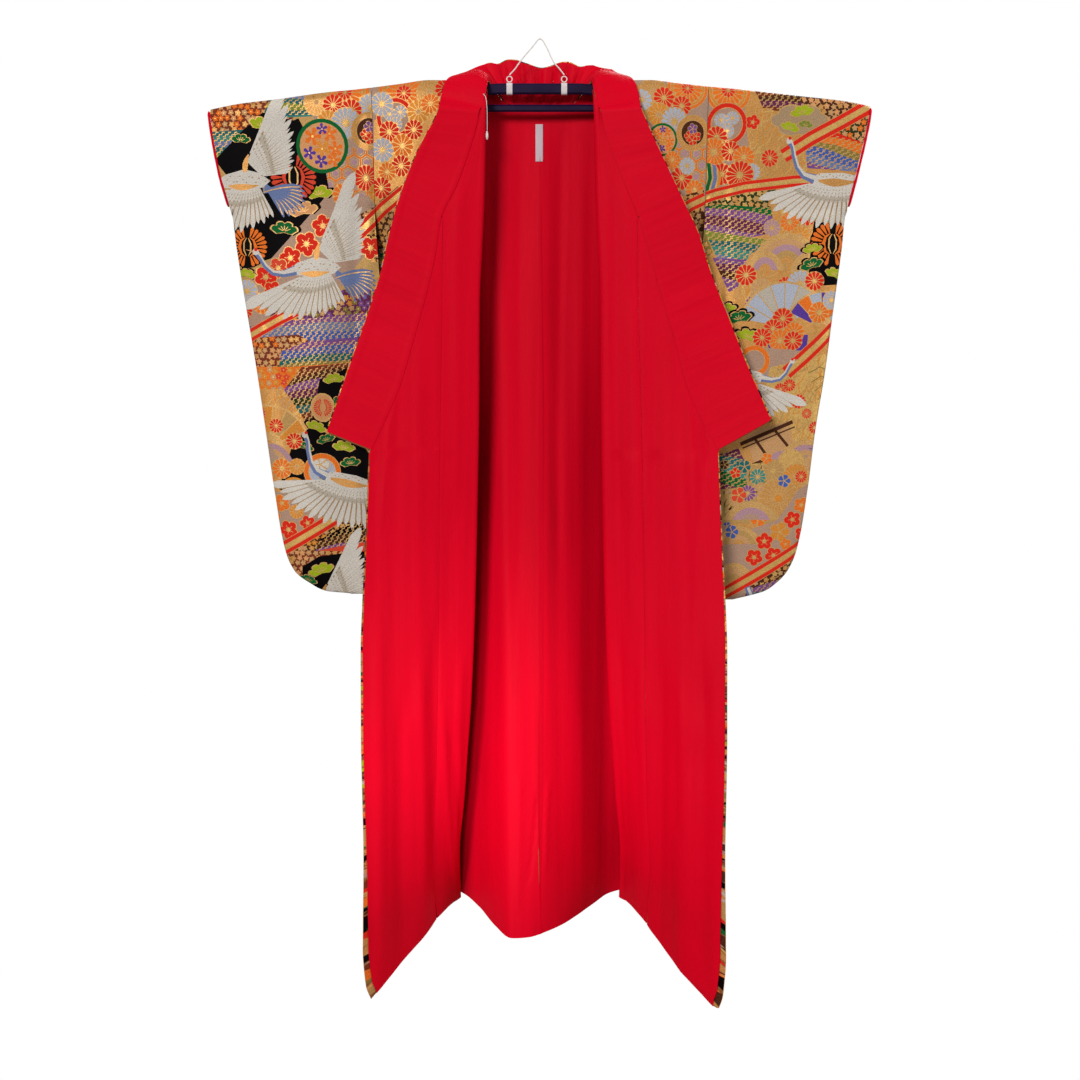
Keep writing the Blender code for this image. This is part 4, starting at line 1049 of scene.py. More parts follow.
def back_border(hand, top_gap=0.0, hem_gap=0.0, side_gap=0.0):
    middle = 0.0 if top_gap else SEAM_GAP / 2
    x = steps(middle, BODY_SIDE_X, 0.005)
    x = np.unique(np.append(x, NECK_X))
    top = [(a, float(back_top(hand, a)[1]) - top_gap * float(ramp(a, 0.095, 0.115))) for a in x]
    z = steps(top[-1][1], HEM_Z, 0.010)[1:]
    side = [(float(at(SIDE, b)), b) for b in z]
    low = side[-1][0]
    xs = steps(low, middle, 0.004)
    hem = [(a, float(hem_height(hand * a, back_y(hand * a, HEM_Z)))) for a in xs]
    side = [(a - side_gap, b) for a, b in side if b > hem[0][1] + 0.004]
    if side_gap:
        top = [(a, b) for a, b in top if a < BODY_SIDE_X - side_gap]
    hem = [(a, b + hem_gap) for a, b in hem if a < low - side_gap + 1e-6]
    return joined(top, side, hem)


def front_border(hand, top, s0=0.0, s1=S_END, top_gap=0.0, hem_gap=0.0):
    s = np.unique(np.concatenate([steps(s0, s1, 0.004), [max(s0, S_SIDE)],
                                  np.linspace(S_SIDE, S_SIDE + S_FOLD, 14)]))
    s = s[(s >= s0) & (s <= s1)]
    short = S_SIDE + S_FOLD + 0.020
    up = [(a, float(top(a)) - top_gap * (1 - float(ramp(a, short, short + 0.025)))) for a in s]
    down = []
    for a in s[::-1]:
        x, y = front_plan(hand, np.float64(HEM_Z), np.float64(a))
        down.append((a, float(hem_height(np.float64(hand * x), y)) + hem_gap))
    left = [(s[-1], b) for b in steps(up[-1][1], down[0][1], 0.010)[1:-1]]
    right = [(s[0], b) for b in steps(down[-1][1], up[0][1], 0.010)[1:-1]]
    return joined(up, left, down, right)


def okumi_hem(hand, x):
    z = HEM_Z
    for _ in range(30):
        z = 0.5 * (z + float(hem_height(np.float64(hand * x),
                                        flap_y(np.float64(x), np.float64(z)))))
    return z


def okumi_edge(hand, z):
    low = at(OKUMI_EDGE, z) + EDGE_SHIFT[hand]
    return np.where(z >= COLLAR_END_Z, at(COLLAR_SEAM[hand], z) - SEAM_GAP, low)


def okumi_border(hand, inset=0.0, hem_gap=0.0):
    """The lining's front edge keeps back by a share of inset, more towards the hem."""
    end = float(okumi_edge(hand, np.float64(-1.93)))
    zs = np.unique(np.concatenate([steps(OKUMI_TOP_Z, -1.90, 0.008),
                                   [COLLAR_END_Z, COLLAR_END_Z + 1e-4]]))[::-1]
    inner = [(float(front_boundary(hand, z)) + SEAM_GAP, z) for z in zs]

    def back(z):
        return inset * float(EDGE_SHARE[0] * ramp(-z, 0.83, 0.834)
                             + EDGE_SHARE[1] * ramp(-z, 0.90, 1.40)
                             + EDGE_SHARE[2] * ramp(-z, 1.60, 1.90))

    edge = [(max(float(okumi_edge(hand, np.float64(z))) - back(z), a + 0.004), z) for a, z in inner]
    hem = [(x, okumi_hem(hand, x)) for x in steps(inner[-1][0], end, 0.005)]
    tip_z = hem[-1][1]
    # The corner of the front edge is a small round one.
    corner = [(float(okumi_edge(hand, np.float64(z))), float(z))
              for z in np.linspace(-1.90, tip_z, 14)[1:]]
    ex = corner[-1][0]
    hem_line = [(x, z + hem_gap) for x, z in hem if x < ex - 0.006]
    corner = [(x - back(z), z + (hem_gap if k > 8 else 0)) for k, (x, z) in enumerate(corner)]
    if inset:
        corner = corner[:-1]
    return joined(edge, corner, hem_line[::-1], inner[::-1])



def sleeve_border(hand):
    column = 1 if hand < 0 else 2
    bottom = SLEEVE_BOTTOM[hand]
    top = [(x, float(at(SHOULDER[hand], x))) for x in steps(SLEEVE_IN_X, SLEEVE_OUT_X, 0.006)]
    z = np.concatenate([steps(top[-1][1], -1.05, 0.008)[1:], np.linspace(-1.05, -1.130, 22)[1:],
                        np.linspace(-1.130, bottom, 34)[1:]])
    side = [(float(at(SLEEVE, b, column)), b) for b in z]
    low = [(x, bottom) for x in steps(side[-1][0], float(at(SLEEVE, bottom, 3)), 0.006)[1:]]
    up = [(float(at(SLEEVE, b, 3)), b) for b in steps(bottom, top[0][1], 0.010)[1:-1]]
    return joined(top, side, low, up)


# ---------------------------------------------------------------- rims that two skins share
def shoulder_up(hand, x, on):
    """Where on is true, the direction straight up from the shoulder's ridge; else nan."""
    out = np.full((len(x), 3), np.nan)
    slope = (at(SHOULDER[hand], x + 1e-3) - at(SHOULDER[hand], x - 1e-3)) / 2e-3
    out[on] = unit_rows(np.stack([-hand * slope, 0 * x, np.ones_like(x)], -1))[on]
    return out


def back_ridge(hand):
    """Along the top of the shoulder both skins point straight up from it."""
    def found(x, z):
        on = (np.abs(at(SHOULDER[hand], x) - z) < 2e-5) & (x > NECK_X - 1e-6)
        return shoulder_up(hand, x, on)
    return found


def front_ridge(hand, top):
    def found(s, z):
        on = (np.abs(top(s) - z) < 2e-5) & (s <= S_SIDE + 1e-6)
        return shoulder_up(hand, BODY_SIDE_X + (NECK_X - BODY_SIDE_X) * s / S_SIDE, on)
    return found


def sleeve_ridge(hand, border):
    away = outward(border)

    def found(p, q):
        out = np.full((len(p), 3), np.nan)
        flat = np.stack([p, q], -1)
        gap = border_gap(border, flat)
        inner = at(SLEEVE, q, 3)
        top = at(SHOULDER[hand], np.clip(p, SLEEVE_IN_X, SLEEVE_OUT_X))
        open_cuff = (q > CUFF_Z - 0.001) & (q < top - 0.002) & (p > 0.6)
        on = (gap < 2e-5) & ~open_cuff & ~((p < inner + 2e-4) & (q < top - 1e-3))
        for k in np.nonzero(on)[0]:
            n = away[int(np.argmin(np.linalg.norm(border - flat[k], axis=1)))]
            out[k] = (hand * n[0], 0.0, n[1])
        return out
    return found


# ---------------------------------------------------------------- cloth pieces
VIEWER, BEHIND = (0, -1, 0), (0, 1, 0)
BODY_STEP = (0.0085, 0.012)
BODY_INSETS = (0.0015, 0.005)
FLAP_PROBE = (S_END - 0.03, -0.5)
WALL = {"thick": 0.0011, "offset": 0.0002}     # outer face where the solid has it
SILK_OFF = LINING_OFF + 0.0005


def fold_rows():
    """Extra points where the front panel turns back on itself."""
    s, z = np.meshgrid(np.linspace(S_SIDE - 0.012, S_SIDE + S_FOLD + 0.012, 19),
                       np.arange(-1.96, -0.11, 0.012))
    return np.stack([s.ravel(), z.ravel()], -1)


def build_body(hand, tag, mats, dyes, patterns):
    brocade, lining = mats["brocade"], mats["lining"]
    surface, top = front_moved(hand)
    piece = Piece(f"front_{tag}")
    piece.shell(surface, front_border(hand, top), BODY_STEP, BODY_INSETS,
                shapes=patterns.get(f"front_{tag}", ()), back_dye=1, extra=fold_rows(), **WALL,
                probe=(*FLAP_PROBE, BEHIND), ridge=front_ridge(hand, top))
    piece.build([brocade], [f"body_front_{tag}"], dyes)
    piece = Piece(f"front_silk_{tag}")
    border = front_border(hand, top, s0=S_SIDE - 0.030, s1=S_END - 0.0002, top_gap=0.017,
                          hem_gap=HEM_FACING)
    piece.shell(surface, border, (0.0070, 0.012), (0.003,), thick=LINING_T, offset=SILK_OFF,
                probe=(*FLAP_PROBE, VIEWER), extra=fold_rows())
    piece.build([lining], [f"front_lining_{tag}"], None)

    surface = back_moved(hand)
    piece = Piece(f"back_{tag}")
    piece.shell(surface, back_border(hand), BODY_STEP, BODY_INSETS,
                shapes=patterns.get(f"back_{tag}", ()), back_dye=1, **WALL,
                probe=(0.15, -0.9, BEHIND), ridge=back_ridge(hand))
    piece.build([brocade], [f"body_back_{tag}"], dyes)
    piece = Piece(f"back_silk_{tag}")
    piece.shell(surface, back_border(hand, 0.006, HEM_FACING, 0.010), (0.0080, 0.012), (0.003,),
                thick=LINING_T, offset=SILK_OFF, probe=(0.15, -0.9, VIEWER))
    piece.build([lining], [f"back_lining_{tag}"], None)


def build_overlap(hand, tag, mats, dyes, patterns):
    surface = okumi_moved(hand)
    piece = Piece(f"overlap_{tag}")
    piece.shell(surface, okumi_border(hand), BODY_STEP, (0.0015, 0.004),
                shapes=patterns.get(f"overlap_{tag}", ()), back_dye=1,
                back_shapes=patterns.get(f"edge_{tag}", ()), **WALL, probe=(0.28, -1.1, BEHIND))
    piece.build([mats["brocade"]], [f"okumi_{tag}"], dyes)
    piece = Piece(f"overlap_silk_{tag}")
    piece.shell(surface, okumi_border(hand, 0.0060, HEM_FACING), (0.007, 0.011), (0.003,),
                thick=LINING_T, offset=SILK_OFF + 0.0003, probe=(0.28, -1.1, VIEWER))
    piece.build([mats["lining"]], [f"okumi_lining_{tag}"], None)


def build_sleeve(hand, tag, mats, dyes, patterns):
    border = sleeve_border(hand)
    piece = Piece(f"long_sleeve_{tag}")
    for face, word, way in ((-1, "front", VIEWER), (1, "back", BEHIND)):
        piece.shell(sleeve_moved(hand, face), border, BODY_STEP, BODY_INSETS,
                    shapes=patterns.get(f"sleeve_{word}_{tag}", ()), back_dye=1, sparse=2,
                    probe=(0.46, -0.5, way), ridge=sleeve_ridge(hand, border))
    piece.build([mats["brocade"]], [f"sleeve_{tag}"], dyes)


def build_collar(mats, dyes, patterns):
    surface, length = collar_surface()
    along = steps(0, length, 0.0055)

    run, line, _, _ = collar_lines()

    def border(a, b, low, high):
        p = along[(along > a + 0.001) & (along < b - 0.001)]
        p = np.concatenate([[a], p, [b]])
        q = np.linspace(low, high, 16)
        # Round the neck the band reaches down past the edge of the body panels.
        dip = 0.0034 * neck_turn(np.interp(p, run, line[:, 0]), np.interp(p, run, line[:, 1]))
        return joined([(x, low - d) for x, d in zip(p, dip)], [(b, y) for y in q[1:-1]],
                      [(x, high) for x in p[::-1]], [(a, y) for y in q[-2:0:-1]])

    middle = length / 2
    piece = Piece("collar_band")
    piece.shell(surface, border(0, length, 0.0, COLLAR_W), (0.0065, 0.009), (0.002,),
                shapes=patterns["collar"], back_shapes=patterns["collar_edge"], back_dye=1,
                probe=(middle, 0.05, BEHIND))
    piece.build([mats["brocade"]], ["collar"], dyes)
    piece = Piece("collar_silk")
    piece.shell(surface, border(0.003, length - 0.003, -0.0020, COLLAR_W * 0.976), (0.0050, 0.008),
                (0.002,), thick=LINING_T, offset=SILK_OFF + LAYER_GAP + 0.0010,
                probe=(middle, 0.05, VIEWER))
    piece.build([mats["lining"]], ["collar_lining"], None)


# ---------------------------------------------------------------- round pieces
def tube(name, path, radius, material, replaces=(), sides=12, closed=False, twist=0.0):
    """A round cord along a path; radius may be one number or one for each point."""
    path = np.asarray(path, float)
    count = len(path)
    radius = np.broadcast_to(np.asarray(radius, float), (count,))
    verts, faces, side = [], [], None
    for k in range(count):
        if closed:
            along = unit_rows(path[(k + 1) % count] - path[k - 1])
        else:
            along = unit_rows(path[min(k + 1, count - 1)] - path[max(k - 1, 0)])
        if side is None:
            helper = np.array([0.0, 1.0, 0.0]) if abs(along[1]) < 0.9 else np.array([1.0, 0, 0])
            side = unit_rows(np.cross(along, helper))
        else:
            side = unit_rows(side - along * np.dot(side, along))
        other = np.cross(along, side)
        for n in range(sides):
            turn = 2 * math.pi * n / sides
            reach = radius[k] * (1 + (twist * math.cos(3 * turn - k * 0.55) if twist else 0))
            verts.append(path[k] + reach * (math.cos(turn) * side + math.sin(turn) * other))
    rings = count if closed else count - 1
    for k in range(rings):
        after = (k + 1) % count
        for n in range(sides):
            m = (n + 1) % sides
            faces.append((k * sides + n, k * sides + m, after * sides + m, after * sides + n))
    if not closed:
        faces.append(tuple(reversed(range(sides))))
        faces.append(tuple(range((count - 1) * sides, count * sides)))
    return plain_piece(name, verts, faces, material, replaces)


def plain_piece(name, verts, faces, material, replaces=()):
    verts = np.asarray(verts, float)
    volume = 0.0
    for face in faces:
        for k in range(1, len(face) - 1):
            a, b, c = verts[face[0]], verts[face[k]], verts[face[k + 1]]
            volume += float(np.dot(a, np.cross(b, c)))
    if volume < 0:
        faces = [tuple(reversed(f)) for f in faces]
    mesh = bpy.data.meshes.new(name)
    mesh.from_pydata([tuple(v) for v in verts], [], [tuple(f) for f in faces])
    mesh.materials.append(material)
    for face in mesh.polygons:
        face.use_smooth = len(face.vertices) < 5
    obj = bpy.data.objects.new(name, mesh)
    bpy.context.scene.collection.objects.link(obj)
    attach(obj, "root")
    if replaces:
        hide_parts(*replaces)
    return obj


def smooth_path(points, step=0.002):
    """Even points on a smooth line through a few."""
    points = np.asarray(points, float)
    run = np.concatenate([[0], np.cumsum(np.linalg.norm(np.diff(points, axis=0), axis=1))])
    n = max(4, int(run[-1] / step))
    key = np.linspace(0, run[-1], n)
    return np.stack([np.interp(key, *spline(run, points[:, k])) for k in range(3)], -1)


# ---------------------------------------------------------------- materials
def linear(code):
    """Linear colour of a #rrggbb code."""
    parts = [int(code[k:k + 2], 16) / 255 for k in (0, 2, 4)]
    return tuple(c / 12.92 if c <= 0.04045 else ((c + 0.055) / 1.055) ** 2.4 for c in parts)


class Nodes:
    """Short helper for building a node material."""

    def __init__(self, name):
        self.mat = bpy.data.materials.new(name)
        self.mat.use_nodes = True
        self.tree = self.mat.node_tree
        self.shader = self.tree.nodes["Principled BSDF"]

    def new(self, kind, **values):
        node = self.tree.nodes.new("ShaderNode" + kind)
        for key, value in values.items():
            if key in node.inputs and not hasattr(type(node), key):
                self.put(node.inputs[key], value)
            elif hasattr(node, key):
                setattr(node, key, value)
            else:
                self.put(node.inputs[key], value)
        return node

    def put(self, socket, value):
        if isinstance(value, bpy.types.NodeSocket):
            self.tree.links.new(value, socket)
        else:
            socket.default_value = value

    def math(self, how, a, b=0.0, c=None):
        node = self.tree.nodes.new("ShaderNodeMath")
        node.operation = how
        self.put(node.inputs[0], a)
        self.put(node.inputs[1], b)
        if c is not None:
            self.put(node.inputs[2], c)
        return node.outputs[0]

    def mix(self, share, a, b, how="MIX"):
        node = self.tree.nodes.new("ShaderNodeMix")
        node.data_type = "RGBA"
        node.blend_type = how
        self.put(node.inputs["Factor"], share)
        for socket, value in ((node.inputs[6], a), (node.inputs[7], b)):
            colour = isinstance(value, tuple) and len(value) == 3
            self.put(socket, (*value, 1.0) if colour else value)
        return node.outputs[2]

    def ramp(self, value, *stops):
        node = self.tree.nodes.new("ShaderNodeValToRGB")
        self.put(node.inputs[0], value)
        row = node.color_ramp.elements
        while len(row) < len(stops):
            row.new(0.5)
        for spot, (where, shade) in zip(row, stops):
            spot.position = where
            shade = shade if isinstance(shade, tuple) else (shade,) * 3
            spot.color = (*shade, 1.0)
        return node.outputs[0]

    def noise(self, where, scale, detail=2.0, stretch=None):
        if stretch is not None:
            move = self.tree.nodes.new("ShaderNodeMapping")
            self.put(move.inputs["Vector"], where)
            move.inputs["Scale"].default_value = stretch
            where = move.outputs[0]
        node = self.tree.nodes.new("ShaderNodeTexNoise")
        self.put(node.inputs["Vector"], where)
        node.inputs["Scale"].default_value = scale
        node.inputs["Detail"].default_value = detail
        return node.outputs[0]

    def net(self, where, scale, wide):
        """Fine lines round uneven cells."""
        node = self.tree.nodes.new("ShaderNodeTexVoronoi")
        node.feature = "DISTANCE_TO_EDGE"
        self.put(node.inputs["Vector"], where)
        node.inputs["Scale"].default_value = scale
        return self.ramp(node.outputs["Distance"], (wide, 1.0), (2 * wide, 0.0))

    def threads(self, where, scale, way="X"):
        node = self.tree.nodes.new("ShaderNodeTexWave")
        node.wave_type = "BANDS"
        node.bands_direction = way
        self.put(node.inputs["Vector"], where)
        node.inputs["Scale"].default_value = scale
        return node.outputs["Fac"]

    def bump(self, height, depth, strength=1.0, below=None):
        node = self.tree.nodes.new("ShaderNodeBump")
        self.put(node.inputs["Height"], height)
        node.inputs["Distance"].default_value = depth
        node.inputs["Strength"].default_value = strength
        if below is not None:
            self.put(node.inputs["Normal"], below)
        return node.outputs[0]

    def cloth(self):
        node = self.tree.nodes.new("ShaderNodeUVMap")
        node.uv_map = "cloth"
        return node.outputs[0]

    def place(self):
        return self.tree.nodes.new("ShaderNodeTexCoord").outputs["Object"]

    def out(self, **values):
        for key, value in values.items():
            name = key.replace("_", " ")
            if isinstance(value, tuple) and len(value) == 3:
                value = (*value, 1.0)
            self.put(self.shader.inputs[name], value)
        return self.mat


def brocade_material():
    n = Nodes("brocade_weave")
    uv = n.cloth()
    dye = n.tree.nodes.new("ShaderNodeAttribute")
    dye.attribute_name = "dye"
    colour, gold = dye.outputs["Color"], dye.outputs["Alpha"]
    weft = n.threads(uv, 240.0, "Y")
    warp = n.threads(uv, 150.0, "X")
    weave = n.math("ADD", n.math("MULTIPLY", weft, 0.65), n.math("MULTIPLY", warp, 0.35))
    slub = n.noise(uv, 900.0, 2.0, (0.35, 1.0, 1.0))
    cloud = n.noise(uv, 26.0, 3.0)
    glint = n.noise(uv, 1500.0, 1.0)
    grain = n.noise(uv, 430.0, 3.0)
    # Speckle noise for painted glints: pale gold specks that stand in for highlights on the gold
    # thread.
    painted_glint = n.ramp(n.noise(uv, 640.0, 1.0), (0.60, 0.0), (0.74, 1.0))
    shade = n.math("ADD", 0.70, n.math("MULTIPLY", weave, 0.26))
    shade = n.math("MULTIPLY", shade, n.math("ADD", 0.82, n.math("MULTIPLY", slub, 0.36)))
    shade = n.math("MULTIPLY", shade, n.math("ADD", 0.90, n.math("MULTIPLY", cloud, 0.20)))
    shade = n.math("MULTIPLY", shade, n.math("ADD", 0.35, n.math("MULTIPLY", grain, 1.30)))
    tone = n.mix(1.0, colour, n.ramp(shade, (0.0, 0.0), (1.0, 1.0)), "MULTIPLY")
    vein = n.math("MULTIPLY", n.net(uv, 95.0, 0.045), n.math("MULTIPLY", cloud, 0.9))
    tone = n.mix(n.math("MULTIPLY", vein, n.math("MULTIPLY", gold, 0.40)), tone, linear("8a5c34"))
    # Painted glints: pale gold specks mixed into the base colour, only where there is gold thread.
    painted_glint = n.math("MULTIPLY", painted_glint, n.math("MULTIPLY", gold, 0.80))
    tone = n.mix(painted_glint, tone, linear("ffdc9c"))
    rough = n.math("SUBTRACT", 0.62, n.math("MULTIPLY", gold, 0.26))
    rough = n.math("ADD", rough, n.math("MULTIPLY", n.math("SUBTRACT", glint, 0.5), 0.35))
    metal = n.math("MULTIPLY", gold, 0.35)
    normal = n.bump(weave, 0.00022, 0.55, n.bump(slub, 0.00030, 0.40))
    return n.out(Base_Color=tone, Roughness=rough, Metallic=metal, Normal=normal,
                 Specular_IOR_Level=0.05)


def silk_material():
    n = Nodes("red_silk")
    uv = n.cloth()
    body = n.noise(uv, 7.0, 3.0, (1.0, 0.35, 1.0))
    slub = n.noise(uv, 420.0, 2.0, (1.0, 0.12, 1.0))
    weft = n.threads(uv, 420.0, "Y")
    warp = n.threads(uv, 420.0, "X")
    weave = n.math("MULTIPLY", weft, warp)
    tone = n.mix(body, linear("cc001c"), linear("e20024"))
    tone = n.mix(n.math("MULTIPLY", slub, 0.28), tone, linear("b80018"))
    rough = n.math("ADD", 0.50, n.math("MULTIPLY", slub, 0.14))
    soft = n.noise(uv, 60.0, 2.0, (1.0, 0.20, 1.0))
    drag = n.noise(uv, 70.0, 3.0, (1.0, 0.035, 1.0))
    tone = n.mix(n.math("MULTIPLY", drag, 0.42), tone, linear("b40018"))
    normal = n.bump(weave, 0.00010, 0.40, n.bump(soft, 0.0006, 0.25, n.bump(drag, 0.0016, 0.50)))
    return n.out(Base_Color=tone, Roughness=rough, Normal=normal, Specular_IOR_Level=0.05)


def lacquer_material():
    n = Nodes("hanger_lacquer")
    where = n.place()
    grain = n.noise(where, 90.0, 3.0, (0.10, 1.0, 1.0))
    wear = n.noise(where, 25.0, 2.0)
    tone = n.mix(grain, linear("100622"), linear("1f0c36"))
    tone = n.mix(n.math("MULTIPLY", wear, 0.15), tone, linear("2e1846"))
    rough = n.math("ADD", 0.26, n.math("MULTIPLY", wear, 0.20))
    return n.out(Base_Color=tone, Roughness=rough, Normal=n.bump(grain, 0.0002, 0.25),
                 Coat_Weight=0.06, Coat_Roughness=0.25, Specular_IOR_Level=0.18)


def cotton_material(name, light, dark, pitch):
    n = Nodes(name)
    where = n.place()
    weave = n.math("MULTIPLY", n.threads(where, pitch, "X"), n.threads(where, pitch, "Z"))
    fuzz = n.noise(where, 700.0, 2.0)
    tone = n.mix(n.math("MULTIPLY", n.math("ADD", weave, fuzz), 0.5), linear(dark), linear(light))
    return n.out(Base_Color=tone, Roughness=0.85, Normal=n.bump(weave, 0.0002, 0.5),
                 Sheen_Weight=0.15)


def make_materials():
    return {
        "brocade": brocade_material(),
        "lining": silk_material(),
        "hanger": lacquer_material(),
        "tape": cotton_material("white_tape", "e9e2df", "c9bcbc", 500.0),
        "cord": cotton_material("white_cord", "f2eeea", "d8d0cc", 650.0),
        "label": cotton_material("label_cloth", "dccfd3", "c2aab3", 550.0),
    }


# ---------------------------------------------------------------- dyes
# name: (colour, share of gold thread)
DYES = {
    "ground": ("d0924e", 0.7), "reverse": ("8c5a34", 0.1),
    "gold": ("d89a54", 0.8), "bright": ("e8b868", 1.0), "tan": ("cc9a68", 0.3),
    "line": ("dcaa68", 0.9), "straw": ("c0965a", 0.5), "olive": ("8d7a3a", 0.3),
    "orange": ("ee7424", 0.2), "amber": ("de8c34", 0.4), "peach": ("dd9c66", 0.1),
    "red": ("e22c1c", 0.0), "deep_red": ("b41c14", 0.0), "coral": ("e04a30", 0.0),
    "brown": ("7c3420", 0.1), "umber": ("4c2818", 0.1),
    "white": ("d9d0c4", 0.0), "silver": ("bdb2a2", 0.1), "gap": ("ab8c68", 0.2),
    "mist": ("b4917c", 0.2), "mauve": ("b58c94", 0.1), "cloud": ("b09270", 0.3),
    "black": ("050203", 0.0), "green": ("0e6530", 0.0), "forest": ("2c3a20", 0.0),
    "lime": ("a5b41f", 0.1), "moss": ("7c8a34", 0.3),
    "teal": ("22686a", 0.0), "sea": ("3a8a80", 0.1), "blue": ("4560a8", 0.0),
    "slate": ("6e7ca6", 0.0), "pale": ("b2b6c2", 0.0), "purple": ("5a3c98", 0.0),
    "violet": ("80508e", 0.0), "plum": ("6a2c50", 0.0),
}
DYE_AT = {name: k for k, name in enumerate(DYES)}
OUTSIDE = -9


# ---------------------------------------------------------------- figures
def disc(radius=1.0, count=16, x=0.0, y=0.0, squash=1.0):
    turn = 2 * math.pi * np.arange(count) / count
    return np.stack([x + radius * np.cos(turn), y + radius * squash * np.sin(turn)], -1)


def lobed(count, depth=0.2, radius=1.0, each=4):
    turn = 2 * math.pi * np.arange(count * each) / (count * each)
    reach = radius * (1 - depth * (1 - np.abs(np.cos(turn * count / 2))) ** 1.5)
    return np.stack([reach * np.cos(turn), reach * np.sin(turn)], -1)


def petal(angle, start, end, wide):
    """A petal from start to end radius, wide being its half angle."""
    r = start + (end - start) * np.array([0.0, 0.80, 1.0, 1.0, 0.80, 0.0])
    a = angle + wide * np.array([-0.45, -0.98, -0.45, 0.45, 0.98, 0.45])
    return np.stack([r * np.cos(a), r * np.sin(a)], -1)


def strip(path, width):
    """A line of varying width along a path."""
    path = np.asarray(path, float)
    width = np.broadcast_to(np.asarray(width, float), (len(path),)) / 2
    along = np.gradient(path, axis=0)
    side = unit_rows(np.stack([-along[:, 1], along[:, 0]], -1)) * width[:, None]
    return np.concatenate([path + side, (path - side)[::-1]])


def bowed(start, end, bow=0.0, count=5):
    start, end = np.asarray(start, float), np.asarray(end, float)
    t = np.linspace(0, 1, count)[:, None]
    run = end - start
    return start + run * t + np.array([-run[1], run[0]]) * bow * 4 * t * (1 - t)


def within(ring, points):
    """Which points lie inside a ring."""
    x, y = points[:, :1], points[:, 1:]
    x0, y0 = ring.T
    x1, y1 = np.roll(ring, -1, 0).T
    rise = np.where(y1 == y0, 1.0, y1 - y0)
    hit = ((y0 > y) != (y1 > y)) & (x < (x1 - x0) / rise * (y - y0) + x0)
    return hit.sum(1) % 2 == 1


LONGEST = 0.020                 # edges are split so that figures follow the cloth


def split_long(ring):
    """The same ring with no edge longer than LONGEST."""
    after = np.roll(ring, -1, 0)
    count = np.ceil(np.linalg.norm(after - ring, axis=1) / LONGEST).astype(int)
    if count.max() < 2:
        return ring
    found = []
    for a, b, n in zip(ring, after, np.maximum(count, 1)):
        found.append(a + (b - a) * (np.arange(n) / n)[:, None])
    return np.concatenate(found)


class Design:
    """Dyed figures woven into one panel, later ones over earlier ones.

    Figures are placed in metres across and up, and turned into panel coordinates.
    """

    def __init__(self, border, turn_in=None):
        self.rows, self.border = [], border
        self.turn_in = turn_in or (lambda p: p)
        self.low, self.high = border.min(0) - 0.001, border.max(0) + 0.001
        self.at(0, 0)

    def at(self, x, y, size=1.0, angle=0.0, flip=1):
        self.spot = (x, y, size, math.radians(angle), flip)
        return self

    def world(self, ring):
        x, y, size, angle, flip = self.spot
        p, q = np.asarray(ring, float)[:, 0] * size * flip, np.asarray(ring, float)[:, 1] * size
        c, s = math.cos(angle), math.sin(angle)
        return np.stack([x + c * p - s * q, y + s * p + c * q], -1)

    def put(self, ring, dye, scope=None):
        if scope == OUTSIDE:
            return OUTSIDE
        ring = self.turn_in(split_long(self.world(ring)))
        if (ring.max(0) < self.low).any() or (ring.min(0) > self.high).any():
            return OUTSIDE
        if abs(area_of(ring)) < 4e-7:
            return OUTSIDE
        self.rows.append((ring, DYE_AT[dye], scope))
        return len(self.rows) - 1

    def shown(self):
        """The figures that show: not outside the panel or their scope, nor under a later one."""
        rings = [row[0] for row in self.rows]
        low = np.array([ring.min(0) for ring in rings])
        high = np.array([ring.max(0) for ring in rings])
        size = np.array([abs(area_of(ring)) for ring in rings])
        free = np.array([row[2] is None for row in self.rows])
        gone = np.zeros(len(rings), bool)
        for k, (ring, _, scope) in enumerate(self.rows):
            home = self.border if scope is None else rings[scope]
            if scope is not None and gone[scope]:
                gone[k] = True
            elif not within(home, ring).any() and not within(ring, home).any():
                gone[k] = True
            elif not within(self.border, ring).any() and not within(ring, self.border).any():
                gone[k] = True
            else:
                over = (free & (low <= low[k]).all(1) & (high >= high[k]).all(1)
                        & (size > 1.3 * size[k]))
                over[:k + 1] = False
                gone[k] = any(within(rings[j], ring).all() for j in np.nonzero(over)[0])
        place = np.cumsum(~gone) - 1
        return [(ring, dye, None if scope is None else int(place[scope]))
                for k, (ring, dye, scope) in enumerate(self.rows) if not gone[k]]


def chrysanthemum(d, x, y, r, dye="red", rim="line", heart="bright", petals=13, scope=None,
                  turn=0.0):
    d.at(x, y, r, turn)
    d.put(disc(1.05, petals), rim, scope)
    wide = math.pi / petals * 0.86
    for k in range(petals):
        d.put(petal(2 * math.pi * (k + 0.5) / petals, 0.24, 1.0, wide), dye, scope)
    d.put(disc(0.21, 6), heart, scope)


def plum_blossom(d, x, y, r, dye="red", rim="line", heart="bright", scope=None, turn=18.0):
    d.at(x, y, r, turn)
    for k in range(5):
        a = 2 * math.pi * k / 5
        d.put(disc(0.50, 8, 0.56 * math.cos(a), 0.56 * math.sin(a)), rim, scope)
    for k in range(5):
        a = 2 * math.pi * k / 5
        d.put(disc(0.40, 8, 0.58 * math.cos(a), 0.58 * math.sin(a)), dye, scope)
    for k in range(5):
        a = 2 * math.pi * k / 5
        d.put(strip([(0.12 * math.cos(a), 0.12 * math.sin(a)),
                     (0.52 * math.cos(a), 0.52 * math.sin(a))],
                    0.06), rim, scope)
    d.put(disc(0.17, 7), heart, scope)


def cherry(d, x, y, r, dye="pale", rim="line", scope=None, turn=0.0):
    d.at(x, y, r, turn)
    d.put(lobed(5, 0.35, 1.08, 5), rim, scope)
    for k in range(5):
        d.put(petal(2 * math.pi * k / 5, 0.12, 0.98, 0.52), dye, scope)
    d.put(disc(0.16, 6), "bright", scope)


